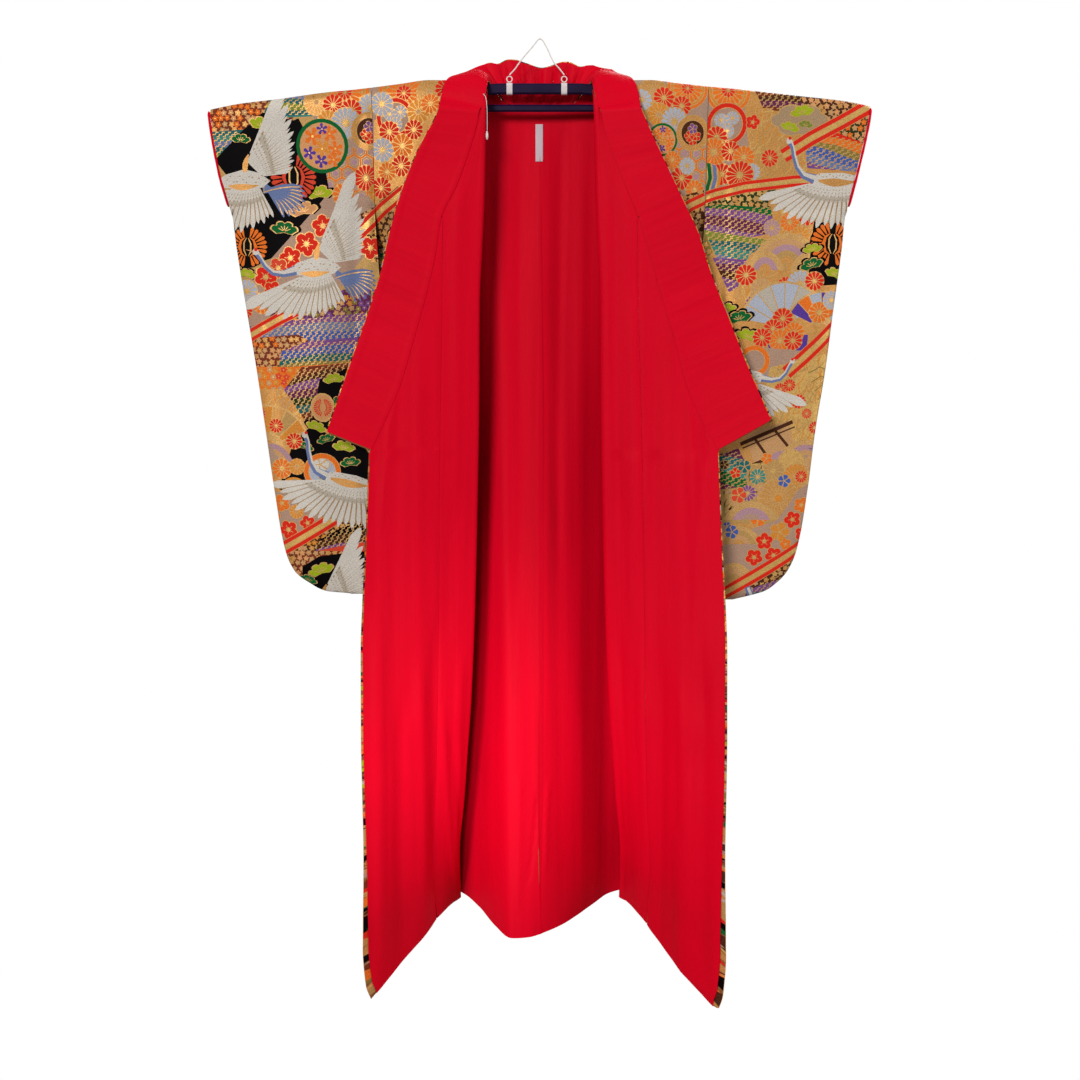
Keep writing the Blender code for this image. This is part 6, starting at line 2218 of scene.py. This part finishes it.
def right_sleeve(d):
    patch(d, "gold", (690, 70), (890, 70), (890, 340), (690, 340))
    patch(d, "gold", (690, 340), (890, 340), (890, 610), (690, 610))
    blossoms(d, seen((786, 92), (885, 100), (880, 124), (812, 122), (788, 108)), "umber",
             ["tan", "gold", "peach"], seed=31)
    fret(d, seen((756, 90), (802, 92), (806, 112), (764, 110)), ["brown", "umber", "plum"], seed=32,
         stripe=0.012)
    grass(d, seen((730, 108), (770, 108), (812, 130), (812, 190), (730, 190)), "gold",
          ["bright", "straw", "amber", "bright"], 90, 0.034, 5)
    d.at(*spot(800, 120), 28 * PIXEL)
    d.put(lobed(6, 0.16, 1.0, 4) * np.array([1.0, 0.55]), "line")
    d.put(lobed(6, 0.16, 0.96, 4) * np.array([1.0, 0.53]), "cloud")
    pines(d, [(803, 114, 11, "lime", None), (790, 129, 9, "lime", None),
              (806, 126, 7, "moss", None)])
    blossoms(d, seen((826, 122), (880, 112), (866, 146), (834, 142)), "forest",
             ["tan", "peach", "orange"], seed=33)
    fret(d, seen((806, 146), (836, 132), (874, 146), (866, 172), (808, 168)),
         ["red", "orange", "olive", "blue", "slate", "violet"], seed=34, stripe=0.014, angle=-14)
    patch(d, "mist", (694, 96), (744, 96), (752, 182), (694, 196))
    half_sun(d, 729, 90, 21)
    flower_arc(d, 727, 124, 19)
    mums(d, [(717, 137, 10, "red"), (714, 152, 13, "orange"), (731, 151, 9, "red"),
             (744, 157, 10, "orange"),
             (770, 158, 8, "red"), (752, 172, 8, "pale"), (722, 174, 10, "red"),
             (740, 175, 13, "red")])
    plums(d, [(753, 122, 7, "red")])
    d.at(*spot(707, 178), 14 * PIXEL)
    inner = d.put(disc(1.0, 20), "line")
    for k, dye in enumerate(("green", "purple", "orange", "green", "slate", "amber")):
        line = [(-1.1 + 0.36 * k, -1.0), (-0.85 + 0.36 * k, 0.0), (-0.98 + 0.36 * k, 1.0)]
        d.put(strip(line, 0.25), dye, inner)
    # Under the curved band: fret in cool colours beside hills and flowers.
    blossoms(d, seen((690, 206), (720, 194), (775, 188), (790, 212), (700, 222)), "forest",
             ["gold", "straw", "bright"], seed=35)
    fret(d, seen((690, 214), (716, 204), (772, 208), (776, 232), (740, 240), (696, 232)),
         ["green", "violet", "plum", "violet", "olive"], seed=36, stripe=0.018, angle=-8)
    blossoms(d, seen((690, 222), (702, 222), (712, 252), (704, 262)), "olive", ["gold", "tan"],
             seed=37)
    fret(d, seen((704, 230), (742, 236), (770, 240), (752, 262), (718, 262)),
         ["moss", "teal", "sea", "slate", "teal"], seed=38, stripe=0.016, angle=-8)
    fret(d, seen((712, 258), (752, 260), (744, 284), (728, 292)),
         ["violet", "plum", "umber", "violet"],
         seed=39, stripe=0.016, angle=-8)
    grass(d, seen((770, 200), (822, 206), (826, 280), (770, 312), (732, 300), (748, 256),
                  (776, 236)),
          "gold", ["bright", "straw", "tan", "amber"], 110, 0.030, 7)
    mums(d, [(790, 222, 9, "orange"), (808, 216, 9, "red"), (772, 228, 8, "mauve"),
             (800, 236, 9, "amber")])
    hills(d, *spot(786, 262), 0.075, 0.060, ["line", "tan", "mauve", "straw", "gold"])
    hills(d, *spot(812, 272), 0.050, 0.045, ["line", "tan", "straw"])
    hills(d, *spot(764, 270), 0.040, 0.040, ["line", "mauve", "gold"])
    patch(d, "black", (816, 208), (852, 204), (850, 284), (806, 286), (810, 250))
    roundel(d, *spot(832, 244), 21 * PIXEL, "orange")
    pines(d, [(812, 251, 9, "lime", "black"), (811, 267, 11, "green", "black"),
              (833, 276, 10, "lime", None)])
    mums(d, [(745, 275, 10, "red"), (760, 290, 11, "tan"), (785, 286, 9, "red"),
             (799, 284, 13, "pale"),
             (813, 281, 9, "red"), (775, 302, 9, "gold"), (752, 304, 8, "violet")])
    folding_fan(d, *spot(782, 326), 0.090, 10, ["pale", "silver", "pale"])
    folding_fan(d, *spot(820, 328), 0.075, -6, ["purple", "pale", "orange"])
    patch(d, "purple", (762, 336), (806, 334), (804, 352), (768, 350))
    mums(d, [(817, 312, 10, "orange"), (830, 300, 9, "pale"), (781, 318, 10, "red"),
             (771, 328, 9, "red"),
             (792, 332, 10, "orange")])
    pines(d, [(725, 311, 10, "lime", "black"), (738, 320, 12, "green", "black"),
              (746, 338, 12, "lime", "black")])
    mums(d, [(778, 340, 11, "orange"), (791, 340, 9, "red"), (760, 337, 9, "red")])
    band(d, seen((690, 203), (716, 194), (745, 187), (794, 181), (815, 180)), 0.024)
    band(d, seen((784, 156), (812, 138), (842, 122), (885, 98)), 0.030)
    patch(d, "mist", (752, 346), (800, 350), (806, 366), (770, 380), (748, 372))
    # A bright gold meadow, then hills and a field of chrysanthemums.
    grass(d, seen((768, 366), (806, 358), (836, 350), (830, 450), (770, 440), (762, 390)), "bright",
          ["line", "straw", "gold", "amber"], 120, 0.034, 9, 75)
    inner = ring_band(d, *spot(752, 360), 15 * PIXEL, 0.28, "orange", "mist")
    mums(d, [(778, 388, 6, "red"), (787, 384, 6, "red"), (796, 400, 7, "red"), (812, 426, 6, "red"),
             (804, 412, 5, "coral")])
    d.at(0, 0)
    for k in range(5):
        d.put(strip(seen((806 + 3 * k, 372 + 9 * k), (818 + k, 366 + 9 * k), (830, 372 + 10 * k)),
                    0.0022), "olive")
    patch(d, "tan", (742, 430), (786, 420), (792, 446), (752, 462))
    d.at(0, 0)
    for a, b, w in (((738, 442), (790, 420), 0.008), ((740, 446), (792, 425), 0.003),
                    ((752, 436), (770, 462), 0.006), ((772, 428), (790, 450), 0.006),
                    ((750, 462), (790, 446), 0.006)):
        d.put(strip(seen(a, b), w), "umber")
    hills(d, *spot(802, 458), 0.060, 0.045, ["line", "mauve", "tan", "mist"])
    hills(d, *spot(780, 462), 0.040, 0.030, ["mauve", "gold"])
    fret(d, seen((716, 452), (736, 446), (748, 470), (744, 486), (716, 486)),
         ["plum", "teal", "sea", "green"],
         seed=41, stripe=0.018, angle=-16)
    patch(d, "straw", (744, 462), (830, 452), (826, 520), (716, 520), (716, 486), (744, 484))
    grass(d, seen((744, 462), (830, 452), (826, 514), (718, 516), (718, 488), (746, 486)), "straw",
          ["bright", "olive", "line", "mauve", "umber"], 150, 0.020, 11)
    mums(d, [(788, 460, 13, "bright"), (770, 468, 11, "straw"), (793, 474, 13, "amber"),
             (755, 474, 8, "sea"),
             (803, 482, 9, "gold"), (810, 462, 9, "tan"), (798, 474, 6, "red"),
             (774, 484, 7, "teal"),
             (745, 490, 8, "violet"), (734, 496, 8, "tan")])
    chrysanthemum(d, *spot(775, 495), 20 * PIXEL, "gold", heart="amber", petals=20)
    for k, (x, y) in enumerate(((722, 462), (733, 470), (742, 464), (757, 484), (764, 456),
                                (781, 478), (812, 476),
                                (730, 508), (744, 506), (768, 512), (796, 492), (808, 496),
                                (724, 522))):
        cherry(d, *spot(x, y), (4.5 + k % 3) * PIXEL,
               ("umber", "red", "teal", "tan", "orange", "blue", "bright")[k % 7], turn=29 * k)
    cherry(d, *spot(736, 492), 8 * PIXEL, "coral")
    cherry(d, *spot(756, 514), 9 * PIXEL, "orange")
    hills(d, *spot(748, 516), 0.060, 0.040, ["line", "mauve", "mist"])
    patch(d, "mist", (774, 516), (796, 486), (830, 470), (826, 560), (740, 600), (716, 590),
          (716, 520),
          (740, 528))
    hills(d, *spot(736, 540), 0.050, 0.040, ["line", "straw", "tan", "gold"])
    hills(d, *spot(730, 580), 0.050, 0.050, ["line", "tan", "straw", "gold"])
    cherry(d, *spot(776, 528), 10 * PIXEL, "amber")
    cherry(d, *spot(729, 528), 7 * PIXEL, "blue")
    plums(d, [(789, 516, 9, "red"), (798, 502, 8, "orange"), (761, 537, 9, "red"),
              (751, 553, 9, "red"),
              (770, 551, 9, "red"), (799, 530, 8, "red"), (782, 540, 6, "orange")])
    blossoms(d, seen((744, 584), (800, 548), (816, 560), (790, 610), (740, 610)), "umber",
             ["gold", "tan", "bright"], seed=43)
    fret(d, seen((750, 584), (790, 566), (806, 576), (790, 604), (752, 608)),
         ["umber", "violet", "teal", "brown"],
         seed=45, stripe=0.016, angle=12)
    band(d, seen((716, 592), (742, 577), (770, 560), (800, 542), (826, 524)), 0.030)
    band(d, seen((784, 372), (800, 358), (814, 345), (834, 326)), 0.030)
    # Cranes.
    fan_crane(d, *spot(836, 180), 0.195, 0)
    crane(d, *spot(738, 375), 0.190, 0, -1, upper=False)
    d.at(*spot(748, 596), 0.09)
    d.put(strip([(0.0, -0.5), (0.05, 0.0), (-0.10, 0.35)], [0.30, 0.18, 0.14]), "slate")
    d.put(strip([(0.02, -0.5), (0.07, 0.0), (-0.08, 0.33)], [0.16, 0.08, 0.06]), "white")


def left_shoulder(d):
    lower_front(d, -1)
    patch(d, "mist", (360, 60), (480, 60), (480, 250), (360, 250))
    patch(d, "gold", (374, 120), (440, 90), (470, 90), (400, 200), (374, 210))
    half_sun(d, 404, 93, 24)
    flower_arc(d, 396, 118, 18)
    mums(d, [(430, 92, 12, "gold"), (446, 88, 10, "red"), (420, 112, 11, "amber"),
             (382, 104, 11, "pale"),
             (390, 132, 10, "red"), (404, 146, 11, "orange"), (416, 130, 9, "red"),
             (383, 150, 11, "pale"),
             (403, 166, 10, "red"), (388, 172, 9, "orange"), (382, 188, 10, "red"),
             (432, 104, 9, "orange")])
    blossoms(d, seen((374, 206), (400, 186), (410, 240), (374, 250)), "umber", ["tan", "gold"],
             seed=51)
    band(d, seen((366, 224), (384, 208), (400, 196), (420, 182)), 0.028)


def right_shoulder(d):
    lower_front(d, 1)
    patch(d, "mist", (600, 60), (710, 60), (710, 250), (600, 250))
    patch(d, "gold", (630, 84), (668, 84), (664, 128), (640, 120))
    hexagons(d, seen((652, 146), (706, 142), (706, 184), (672, 188)))
    half_sun(d, 688, 88, 19)
    mums(d, [(653, 91, 13, "gold"), (663, 98, 10, "red"), (681, 106, 9, "red"),
             (657, 115, 11, "amber"),
             (673, 122, 13, "pale"), (640, 100, 10, "pale")])
    ball(d, *spot(660, 140), 15 * PIXEL)
    gold_roundel(d, 692, 133, 16)
    mums(d, [(680, 178, 11, "red"), (694, 190, 9, "orange"), (686, 166, 8, "pale"),
             (670, 160, 8, "orange")])
    blossoms(d, seen((680, 196), (704, 190), (706, 250), (692, 240)), "umber", ["tan", "gold"],
             seed=53)
    band(d, seen((676, 214), (690, 205), (706, 198)), 0.026)


def lower_front(d, hand):
    """The outside of a front panel, below the shoulder."""
    field(d, (-0.05, 0.36), (-2.0, -0.42), hand, 60 + hand, 0.036)


# ---------------------------------------------------------------- hidden sides
GROUNDS = [
    ("blossoms", "forest", ["tan", "peach", "orange", "gold"]), ("black",), ("fret", DUSK),
    ("meadow",),
    ("mist",), ("fret", EMBER), ("blossoms", "umber", ["gold", "tan", "bright"]), ("hex",),
    ("hills",),
    ("fret", SEA), ("plums",), ("blossoms", "plum", ["olive", "amber", "violet", "tan"]),
    ("black",),
    ("meadow",),
]


def field(d, across, up, hand, seed, pitch=0.020, cell=0.19, big=0.30):
    """The same cloth laid over a whole panel in another arrangement: slanting patches, red
    bands, clusters of flowers and a crane in flight every half metre."""
    rng = np.random.default_rng(seed)
    d.at(0, 0)
    x0, x1 = across
    z0, z1 = up
    d.put([(hand * x0, z0), (hand * x1, z0), (hand * x1, z1), (hand * x0, z1)], "gold")
    rows, cols = int((z1 - z0) / cell) + 2, int((x1 - x0) / cell) + 3
    spots = []
    for i in range(rows):
        for j in range(cols):
            cx = x0 + (j - 0.5 + 0.45 * (i % 2)) * cell + 0.02 * rng.standard_normal()
            cz = z0 + (i + 0.2) * cell + 0.02 * rng.standard_normal()
            w, h = cell * (0.52 + 0.12 * rng.random()), cell * (0.58 + 0.15 * rng.random())
            lean = 0.35 * cell
            ring = np.array([(cx - w, cz - h), (cx + w * 0.7, cz - h * 0.8),
                             (cx + w + lean, cz + h * 0.8),
                             (cx - w * 0.6 + lean, cz + h)]) * np.array([hand, 1])
            kind = GROUNDS[int(rng.integers(len(GROUNDS)))]
            number = int(rng.integers(1000))
            if (ring[:, 0] * hand).max() < x0 or (ring[:, 0] * hand).min() > x1:
                continue
            if kind[0] == "blossoms":
                blossoms(d, ring, kind[1], kind[2], pitch, seed=number)
            elif kind[0] == "fret":
                fret(d, ring, kind[1], pitch * 1.1, seed=number, stripe=0.026,
                     angle=-10 + 20 * rng.random())
            elif kind[0] == "meadow":
                grass(d, ring, "gold", ["bright", "straw", "amber"], 40, 0.034, number)
            elif kind[0] == "hex":
                hexagons(d, ring, 0.042)
            elif kind[0] == "hills":
                d.at(0, 0)
                d.put(ring, "straw")
                hills(d, hand * cx, cz - h * 0.8, w, h * 0.8,
                      ["line", "tan", "straw", "mauve", "gold"])
            else:
                d.at(0, 0)
                d.put(ring, "black" if kind[0] == "black" else "mist")
            spots.append((hand * cx, cz, kind[0]))
    d.at(0, 0)
    slope = 0.55
    for k in range(int((z1 - z0) / 0.42) + 2):
        start = z0 - 0.1 + 0.42 * k + 0.04 * rng.standard_normal()
        path = [(hand * x, start + slope * (x - x0) + 0.02 * math.sin(9 * x))
                for x in np.linspace(x0, x1, 7)]
        band(d, path, 0.030)
    for x, z, kind in spots:
        if kind == "black":
            for _ in range(3):
                pine(d, x + 0.08 * (rng.random() - 0.5), z + 0.12 * (rng.random() - 0.5),
                     0.020 + 0.010 * rng.random(),
                     ("lime", "green", "peach", "lime")[int(rng.integers(4))],
                     angle=40 * rng.random() - 20)
            if rng.random() < 0.5:
                roundel(d, x, z, 0.042, ("coral", "orange")[int(rng.integers(2))])
        elif kind in ("mist", "meadow", "hex", "plums"):
            for _ in range(4):
                a, b = x + 0.13 * (rng.random() - 0.5), z + 0.15 * (rng.random() - 0.5)
                r = 0.018 + 0.014 * rng.random()
                pick = int(rng.integers(6))
                if pick < 3:
                    chrysanthemum(d, a, b, r, ("red", "orange", "pale")[pick])
                elif pick < 5:
                    plum_blossom(d, a, b, r, ("red", "coral")[pick - 3])
                else:
                    ring_band(d, a, b, r * 1.3, 0.22, "orange", "pale")
                    cherry(d, a, b, r * 0.8, "red")
    count = max(1, round((z1 - z0) * max(1, (x1 - x0) / 0.45) / 0.5))
    for k in range(count):
        z = z0 + (k + 0.5 + 0.2 * (rng.random() - 0.5)) * (z1 - z0) / count
        x = x0 + (x1 - x0) * (0.32 + 0.36 * ((k + seed) % 2))
        if (k + k // 4) % 2:
            fan_crane(d, hand * x, z, big * 0.86, 12 * rng.standard_normal(), hand)
        else:
            crane(d, hand * x, z, big, 12 * rng.standard_normal(), -hand)


EDGE_DYES = ["gold", "bright", "umber", "black", "gold", "brown", "olive", "red", "gold", "tan",
             "umber",
             "amber", "green", "mist", "gold", "orange", "black", "straw", "silver", "lime"]


def edge_patches(hand):
    """Pieces of the brocade's figures along its turned front edge, past the lining."""
    rng = np.random.default_rng(7 + hand)
    rows, z = [], COLLAR_END_Z
    while z > TIP_Z:
        deep = 0.003 + (0.010 + 0.010 * (z < -1.6)) * rng.random() ** 2
        x = float(okumi_edge(hand, np.float64(z)))
        tilt, lean = 0.014 * (rng.random(2) - 0.5)
        rows.append((np.array([(x - 0.030, z + tilt), (x + 0.004, z - tilt),
                               (x + 0.004, z - deep - lean),
                               (x - 0.030, z - deep + lean)]),
                     DYE_AT[EDGE_DYES[int(rng.integers(len(EDGE_DYES)))]], None))
        z -= deep * 0.8
    return rows


def collar_patterns():
    """The band's outside, and the narrow edge of it that shows round its lining."""
    _, length = collar_surface()
    ring = np.array([(0, 0), (length, 0), (length, COLLAR_W), (0, COLLAR_W)])
    d = Design(ring, lambda p: p[:, ::-1])
    field(d, (-0.01, 0.11), (-0.02, length + 0.02), 1, 97, 0.036, cell=0.16, big=0.22)
    rng = np.random.default_rng(5)
    rows, p = [], 0.0
    while p < length:
        wide = 0.003 + 0.007 * rng.random()
        rows.append((np.array([(p, COLLAR_W * 0.93), (p + wide, COLLAR_W * 0.93),
                               (p + wide * 1.2, COLLAR_W * 1.01),
                               (p - wide * 0.2, COLLAR_W * 1.01)]),
                     DYE_AT[EDGE_DYES[int(rng.integers(len(EDGE_DYES)))]], None))
        p += wide
    return d.shown(), rows


# ---------------------------------------------------------------- patterns of all panels
def make_patterns():
    found = {}
    for hand, tag in ((-1, "left"), (1, "right")):
        def flat(ring, hand=hand):
            return ring * np.array([hand, 1.0])

        d = Design(sleeve_border(hand), flat)
        (left_sleeve if hand < 0 else right_sleeve)(d)
        found[f"sleeve_front_{tag}"] = d.shown()
        d = Design(sleeve_border(hand), flat)
        field(d, (0.27, 0.70), (-1.19, -0.08), hand, 70 + hand, 0.026)
        found[f"sleeve_back_{tag}"] = d.shown()
        d = Design(back_border(hand), flat)
        field(d, (-0.40, 0.40), (-1.99, -0.06), 1, 80, 0.032)
        found[f"back_{tag}"] = d.shown()

        def from_side(ring, hand=hand):
            return np.stack([BODY_SIDE_X - ring[:, 0] * hand, ring[:, 1]], -1)

        _, top = front_moved(hand)
        d = Design(front_border(hand, top), from_side)
        (left_shoulder if hand < 0 else right_shoulder)(d)
        found[f"front_{tag}"] = d.shown()
        found[f"edge_{tag}"] = edge_patches(hand)
        d = Design(okumi_border(hand), flat)
        field(d, (0.16, 0.42), (-2.0, -0.34), hand, 90 + hand, 0.036)
        found[f"overlap_{tag}"] = d.shown()
    found["collar"], found["collar_edge"] = collar_patterns()
    return found


# ---------------------------------------------------------------- trims and hanger
RING_R, RING_WIRE = 0.0055, 0.0011
CORD_R, CORD_WIDE = 0.00122, 0.0026     # drawn radius, and the width that is stated
THREAD_R = 0.0006
TAPE_WIDE, TAPE_THICK = 0.0120, 0.0009
TAPE_SQUARE = 3.4                       # how square the loop of tape is round the bar
CORD_PATH = [
    (-0.0625, 0, -0.0710), (-0.0525, 0, -0.0610), (-0.0380, 0, -0.0420), (-0.0120, 0, -0.0130),
    (-0.0040, 0, -0.0035), (0.0000, 0, -0.0013), (0.0040, 0, -0.0035), (0.0120, 0, -0.0150),
    (0.0280, 0, -0.0460), (0.0415, 0, -0.0610), (0.0495, 0, -0.0710),
]
THREAD_PATH = [
    (-0.1300, -0.04099, -0.1110), (-0.1240, -0.03985, -0.1085), (-0.1190, -0.04028, -0.1095),
    (-0.1150, -0.04178, -0.1120), (-0.1095, -0.04728, -0.1200), (-0.1075, -0.04878, -0.1330),
    (-0.1068, -0.04878, -0.1500), (-0.1070, -0.04878, -0.1840),
]
KNOT_PATH = [(-0.1075, -0.04878, z) for z in (-0.1845, -0.1870, -0.1930, -0.1990, -0.2015)]
CUFF_PATH = {
    -1: [(0.67995, 0.00585, -0.14284), (0.67908, 0.01085, -0.15280), (0.67366, 0.01290, -0.20258),
         (0.66351, 0.01270, -0.27029), (0.65001, 0.00577, -0.33203)],
    1: [(0.67820, 0.00591, -0.13605), (0.67741, 0.01097, -0.14635), (0.66988, 0.01290, -0.19787),
        (0.65678, 0.01274, -0.26793), (0.64440, 0.00578, -0.33182)],
}


def build_trims(mats):
    for node in ("hanger_arm", "hanger_lower_bar", "hanger_post_left", "hanger_post_right"):
        repaint(node, mats["hanger"])
    for word in ("left", "right"):
        build_tape(word, mats["tape"])
    # Rings: smoother, in the same place as their solids.
    for word in ("left", "right"):
        low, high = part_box(f"ring_{word}")
        centre = np.array((low + high) / 2)
        path = [centre + RING_R * np.array([math.cos(t), 0, math.sin(t)])
                for t in np.linspace(0, 2 * math.pi, 36, endpoint=False)]
        tube(f"small_ring_{word}", path, RING_WIRE, mats["cord"], [f"ring_{word}"], 12,
             True)
    for tag, hand in (("left", -1), ("right", 1)):
        for word in ("front", "back"):
            cuff_roll(hand, tag, word, mats["lining"])
    build_hang_cord(mats)
    build_label(mats)
    build_thread(mats)


def repaint(node, material):
    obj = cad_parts[node]
    for slot in obj.material_slots:
        slot.material = material


def cuff_roll(hand, tag, word, material):
    node = f"cuff_roll_{tag}_{word}"
    side = -1 if word == "front" else 1
    path = smooth_path([(hand * x, side * y, z) for x, y, z in CUFF_PATH[hand]], 0.004)
    k = np.arange(len(path))
    radius = CUFF_R * (0.96 + 0.05 * np.sin(k * 0.9 + 1.3 * np.sin(k * 0.37)))
    radius[:2] *= (0.45, 0.85)
    radius[-2:] *= (0.85, 0.45)
    tube(f"cuff_padding_{tag}_{word}", path, radius, material, [node], 14)


def build_hang_cord(mats):
    path = smooth_path(CORD_PATH, 0.0011)
    cord = tube("hanging_cord", path, CORD_R, mats["cord"], ["hang_cord"], 12,
                twist=0.10)


def build_tape(word, material):
    """A loop of woven tape, drawn round the bar."""
    low, high = (np.array(v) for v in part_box(f"tape_{word}"))
    x, y1 = (low[0] + high[0]) / 2, high[1]
    half = np.array([y1, (high[2] - low[2]) / 2]) - TAPE_THICK / 2
    z = (low[2] + high[2]) / 2
    turn = np.linspace(0, 2 * math.pi, 72, endpoint=False)
    corner = (np.abs(np.cos(turn)) ** TAPE_SQUARE
              + np.abs(np.sin(turn)) ** TAPE_SQUARE) ** (-1 / TAPE_SQUARE)
    ring = np.stack([half[0] * corner * np.cos(turn), half[1] * corner * np.sin(turn)], -1)
    away = outward(ring)
    cols = 12
    verts, faces = [], []
    for side in (1, -1):
        for k in range(len(turn)):
            for j in range(cols + 1):
                across = j / cols * 2 - 1
                thick = TAPE_THICK / 2 * (0.75 + 0.25 * (abs(across) > 0.8)) * side
                thick += 0.00010 * math.sin(5 * turn[k] + 3 * across)
                y, w = ring[k] + away[k] * thick
                verts.append((x + across * TAPE_WIDE / 2, y, z + w))
    rows, base = len(turn), len(turn) * (cols + 1)
    for k in range(rows):
        m = (k + 1) % rows
        for j in range(cols):
            a, b, c, d = (k * (cols + 1) + j, k * (cols + 1) + j + 1, m * (cols + 1) + j + 1,
                          m * (cols + 1) + j)
            faces += [(a, b, c, d), (base + d, base + c, base + b, base + a)]
        for j, flip in ((0, 1), (cols, -1)):
            a, d = k * (cols + 1) + j, m * (cols + 1) + j
            faces.append((a, d, base + d, base + a)[::flip])
    tape = plain_piece(f"bar_tape_{word}", verts, faces, material, [f"tape_{word}"])


def build_label(mats):
    """Blank woven label."""
    low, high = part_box("label")
    cols, rows = 14, 44
    x0, x1, z1, z0 = low[0], high[0], high[2], low[2]
    grid = []
    for i in range(rows + 1):
        z = z1 + (z0 - z1) * i / rows
        for j in range(cols + 1):
            x = x0 + (x1 - x0) * j / cols
            y = float(back_y(np.float64(x), np.float64(z))) - LABEL_OFF
            y -= 0.0010 * math.sin(math.pi * j / cols) * (0.3 + 0.7 * i / rows)
            y += 0.0006 * math.sin(7 * i / rows)
            grid.append((x, y, z))
    verts = grid + [(x, y + LABEL_T, z) for x, y, z in grid]
    n = len(grid)
    faces = []
    for i in range(rows):
        for j in range(cols):
            a = i * (cols + 1) + j
            faces.append((a, a + 1, a + cols + 2, a + cols + 1))
            faces.append((a + n + cols + 1, a + n + cols + 2, a + n + 1, a + n))
    edge = list(range(cols + 1))
    edge += [(i + 1) * (cols + 1) - 1 for i in range(1, rows + 1)]
    edge += [rows * (cols + 1) + j for j in range(cols - 1, -1, -1)]
    edge += [i * (cols + 1) for i in range(rows - 1, 0, -1)]
    for a, b in zip(edge, edge[1:] + edge[:1]):
        faces.append((b, a, a + n, b + n))
    label = plain_piece("blank_label", verts, faces, mats["label"], ["label"])


def build_thread(mats):
    route = smooth_path(THREAD_PATH, 0.0016)
    thread = tube("white_thread", route, THREAD_R, mats["cord"], ["pull_thread"], 8,
                  twist=0.1)
    path = smooth_path(KNOT_PATH, 0.0008)
    t = np.linspace(0, 1, len(path))
    radius = 0.0007 + 0.0019 * np.sin(math.pi * t) ** 0.8 * (1 + 0.12 * np.sin(t * 21))
    knot = tube("thread_knot_loop", path, radius, mats["cord"], ["thread_knot"], 12)


# ---------------------------------------------------------------- stage
def lamp_at(name, kind, place, aim, power, values):
    lamp = bpy.data.lights.new(name, kind)
    lamp.energy = power
    for key, value in values.items():
        setattr(lamp, key, value)
    obj = bpy.data.objects.new(name, lamp)
    obj.location = place
    obj.rotation_euler = (Vector(aim) - Vector(place)).to_track_quat("-Z", "Y").to_euler()
    bpy.context.scene.collection.objects.link(obj)


def build_floor():
    """A plain white floor. Only the camera sees it, so it adds no shade or tint."""
    mat = bpy.data.materials.new("plain_floor")
    mat.use_nodes = True
    mat.node_tree.nodes.clear()
    glow = mat.node_tree.nodes.new("ShaderNodeEmission")
    glow.inputs["Color"].default_value = (1.0, 1.0, 1.0, 1.0)
    glow.inputs["Strength"].default_value = 1.0
    end = mat.node_tree.nodes.new("ShaderNodeOutputMaterial")
    mat.node_tree.links.new(glow.outputs[0], end.inputs["Surface"])
    x, y = FLOOR_HALF
    mesh = bpy.data.meshes.new("floor")
    mesh.from_pydata([(-x, -y, FLOOR_Z), (x, -y, FLOOR_Z), (x, y, FLOOR_Z), (-x, y, FLOOR_Z)],
                     [], [(0, 1, 2, 3)])
    mesh.materials.append(mat)
    floor = bpy.data.objects.new("floor", mesh)
    bpy.context.scene.collection.objects.link(floor)
    for ray in ("diffuse", "glossy", "transmission", "volume_scatter", "shadow"):
        setattr(floor, "visible_" + ray, False)


def build_stage():
    build_floor()
    world = bpy.data.worlds.new("studio")
    world.use_nodes = True
    tree = world.node_tree
    light = tree.nodes["Background"]
    light.inputs[0].default_value = (1.0, 1.0, 1.0, 1.0)
    light.inputs[1].default_value = SKY_LIGHT
    backdrop = tree.nodes.new("ShaderNodeBackground")
    backdrop.inputs[0].default_value = (1.0, 1.0, 1.0, 1.0)
    backdrop.inputs[1].default_value = 1.0
    path = tree.nodes.new("ShaderNodeLightPath")
    mix = tree.nodes.new("ShaderNodeMixShader")
    tree.links.new(path.outputs["Is Camera Ray"], mix.inputs[0])
    tree.links.new(light.outputs[0], mix.inputs[1])
    tree.links.new(backdrop.outputs[0], mix.inputs[2])
    tree.links.new(mix.outputs[0], tree.nodes["World Output"].inputs["Surface"])
    bpy.context.scene.world = world
    bpy.context.scene.view_settings.view_transform = "Standard"

    for row in LAMPS:
        lamp_at(*row)

    view = bpy.data.cameras.new("camera")
    view.sensor_width = SENSOR
    view.lens = LENS
    camera = bpy.data.objects.new("camera", view)
    camera.location = CAMERA
    camera.rotation_euler = (math.pi / 2 + PITCH, 0.0, 0.0)
    bpy.context.scene.collection.objects.link(camera)
    bpy.context.scene.camera = camera



def main():
    mats = make_materials()
    table = [(*linear(code), gold) for code, gold in DYES.values()]
    patterns = make_patterns()
    for hand, tag in ((-1, "left"), (1, "right")):
        build_body(hand, tag, mats, table, patterns)
        build_overlap(hand, tag, mats, table, patterns)
        build_sleeve(hand, tag, mats, table, patterns)
    build_collar(mats, table, patterns)
    build_trims(mats)
    build_stage()


main()
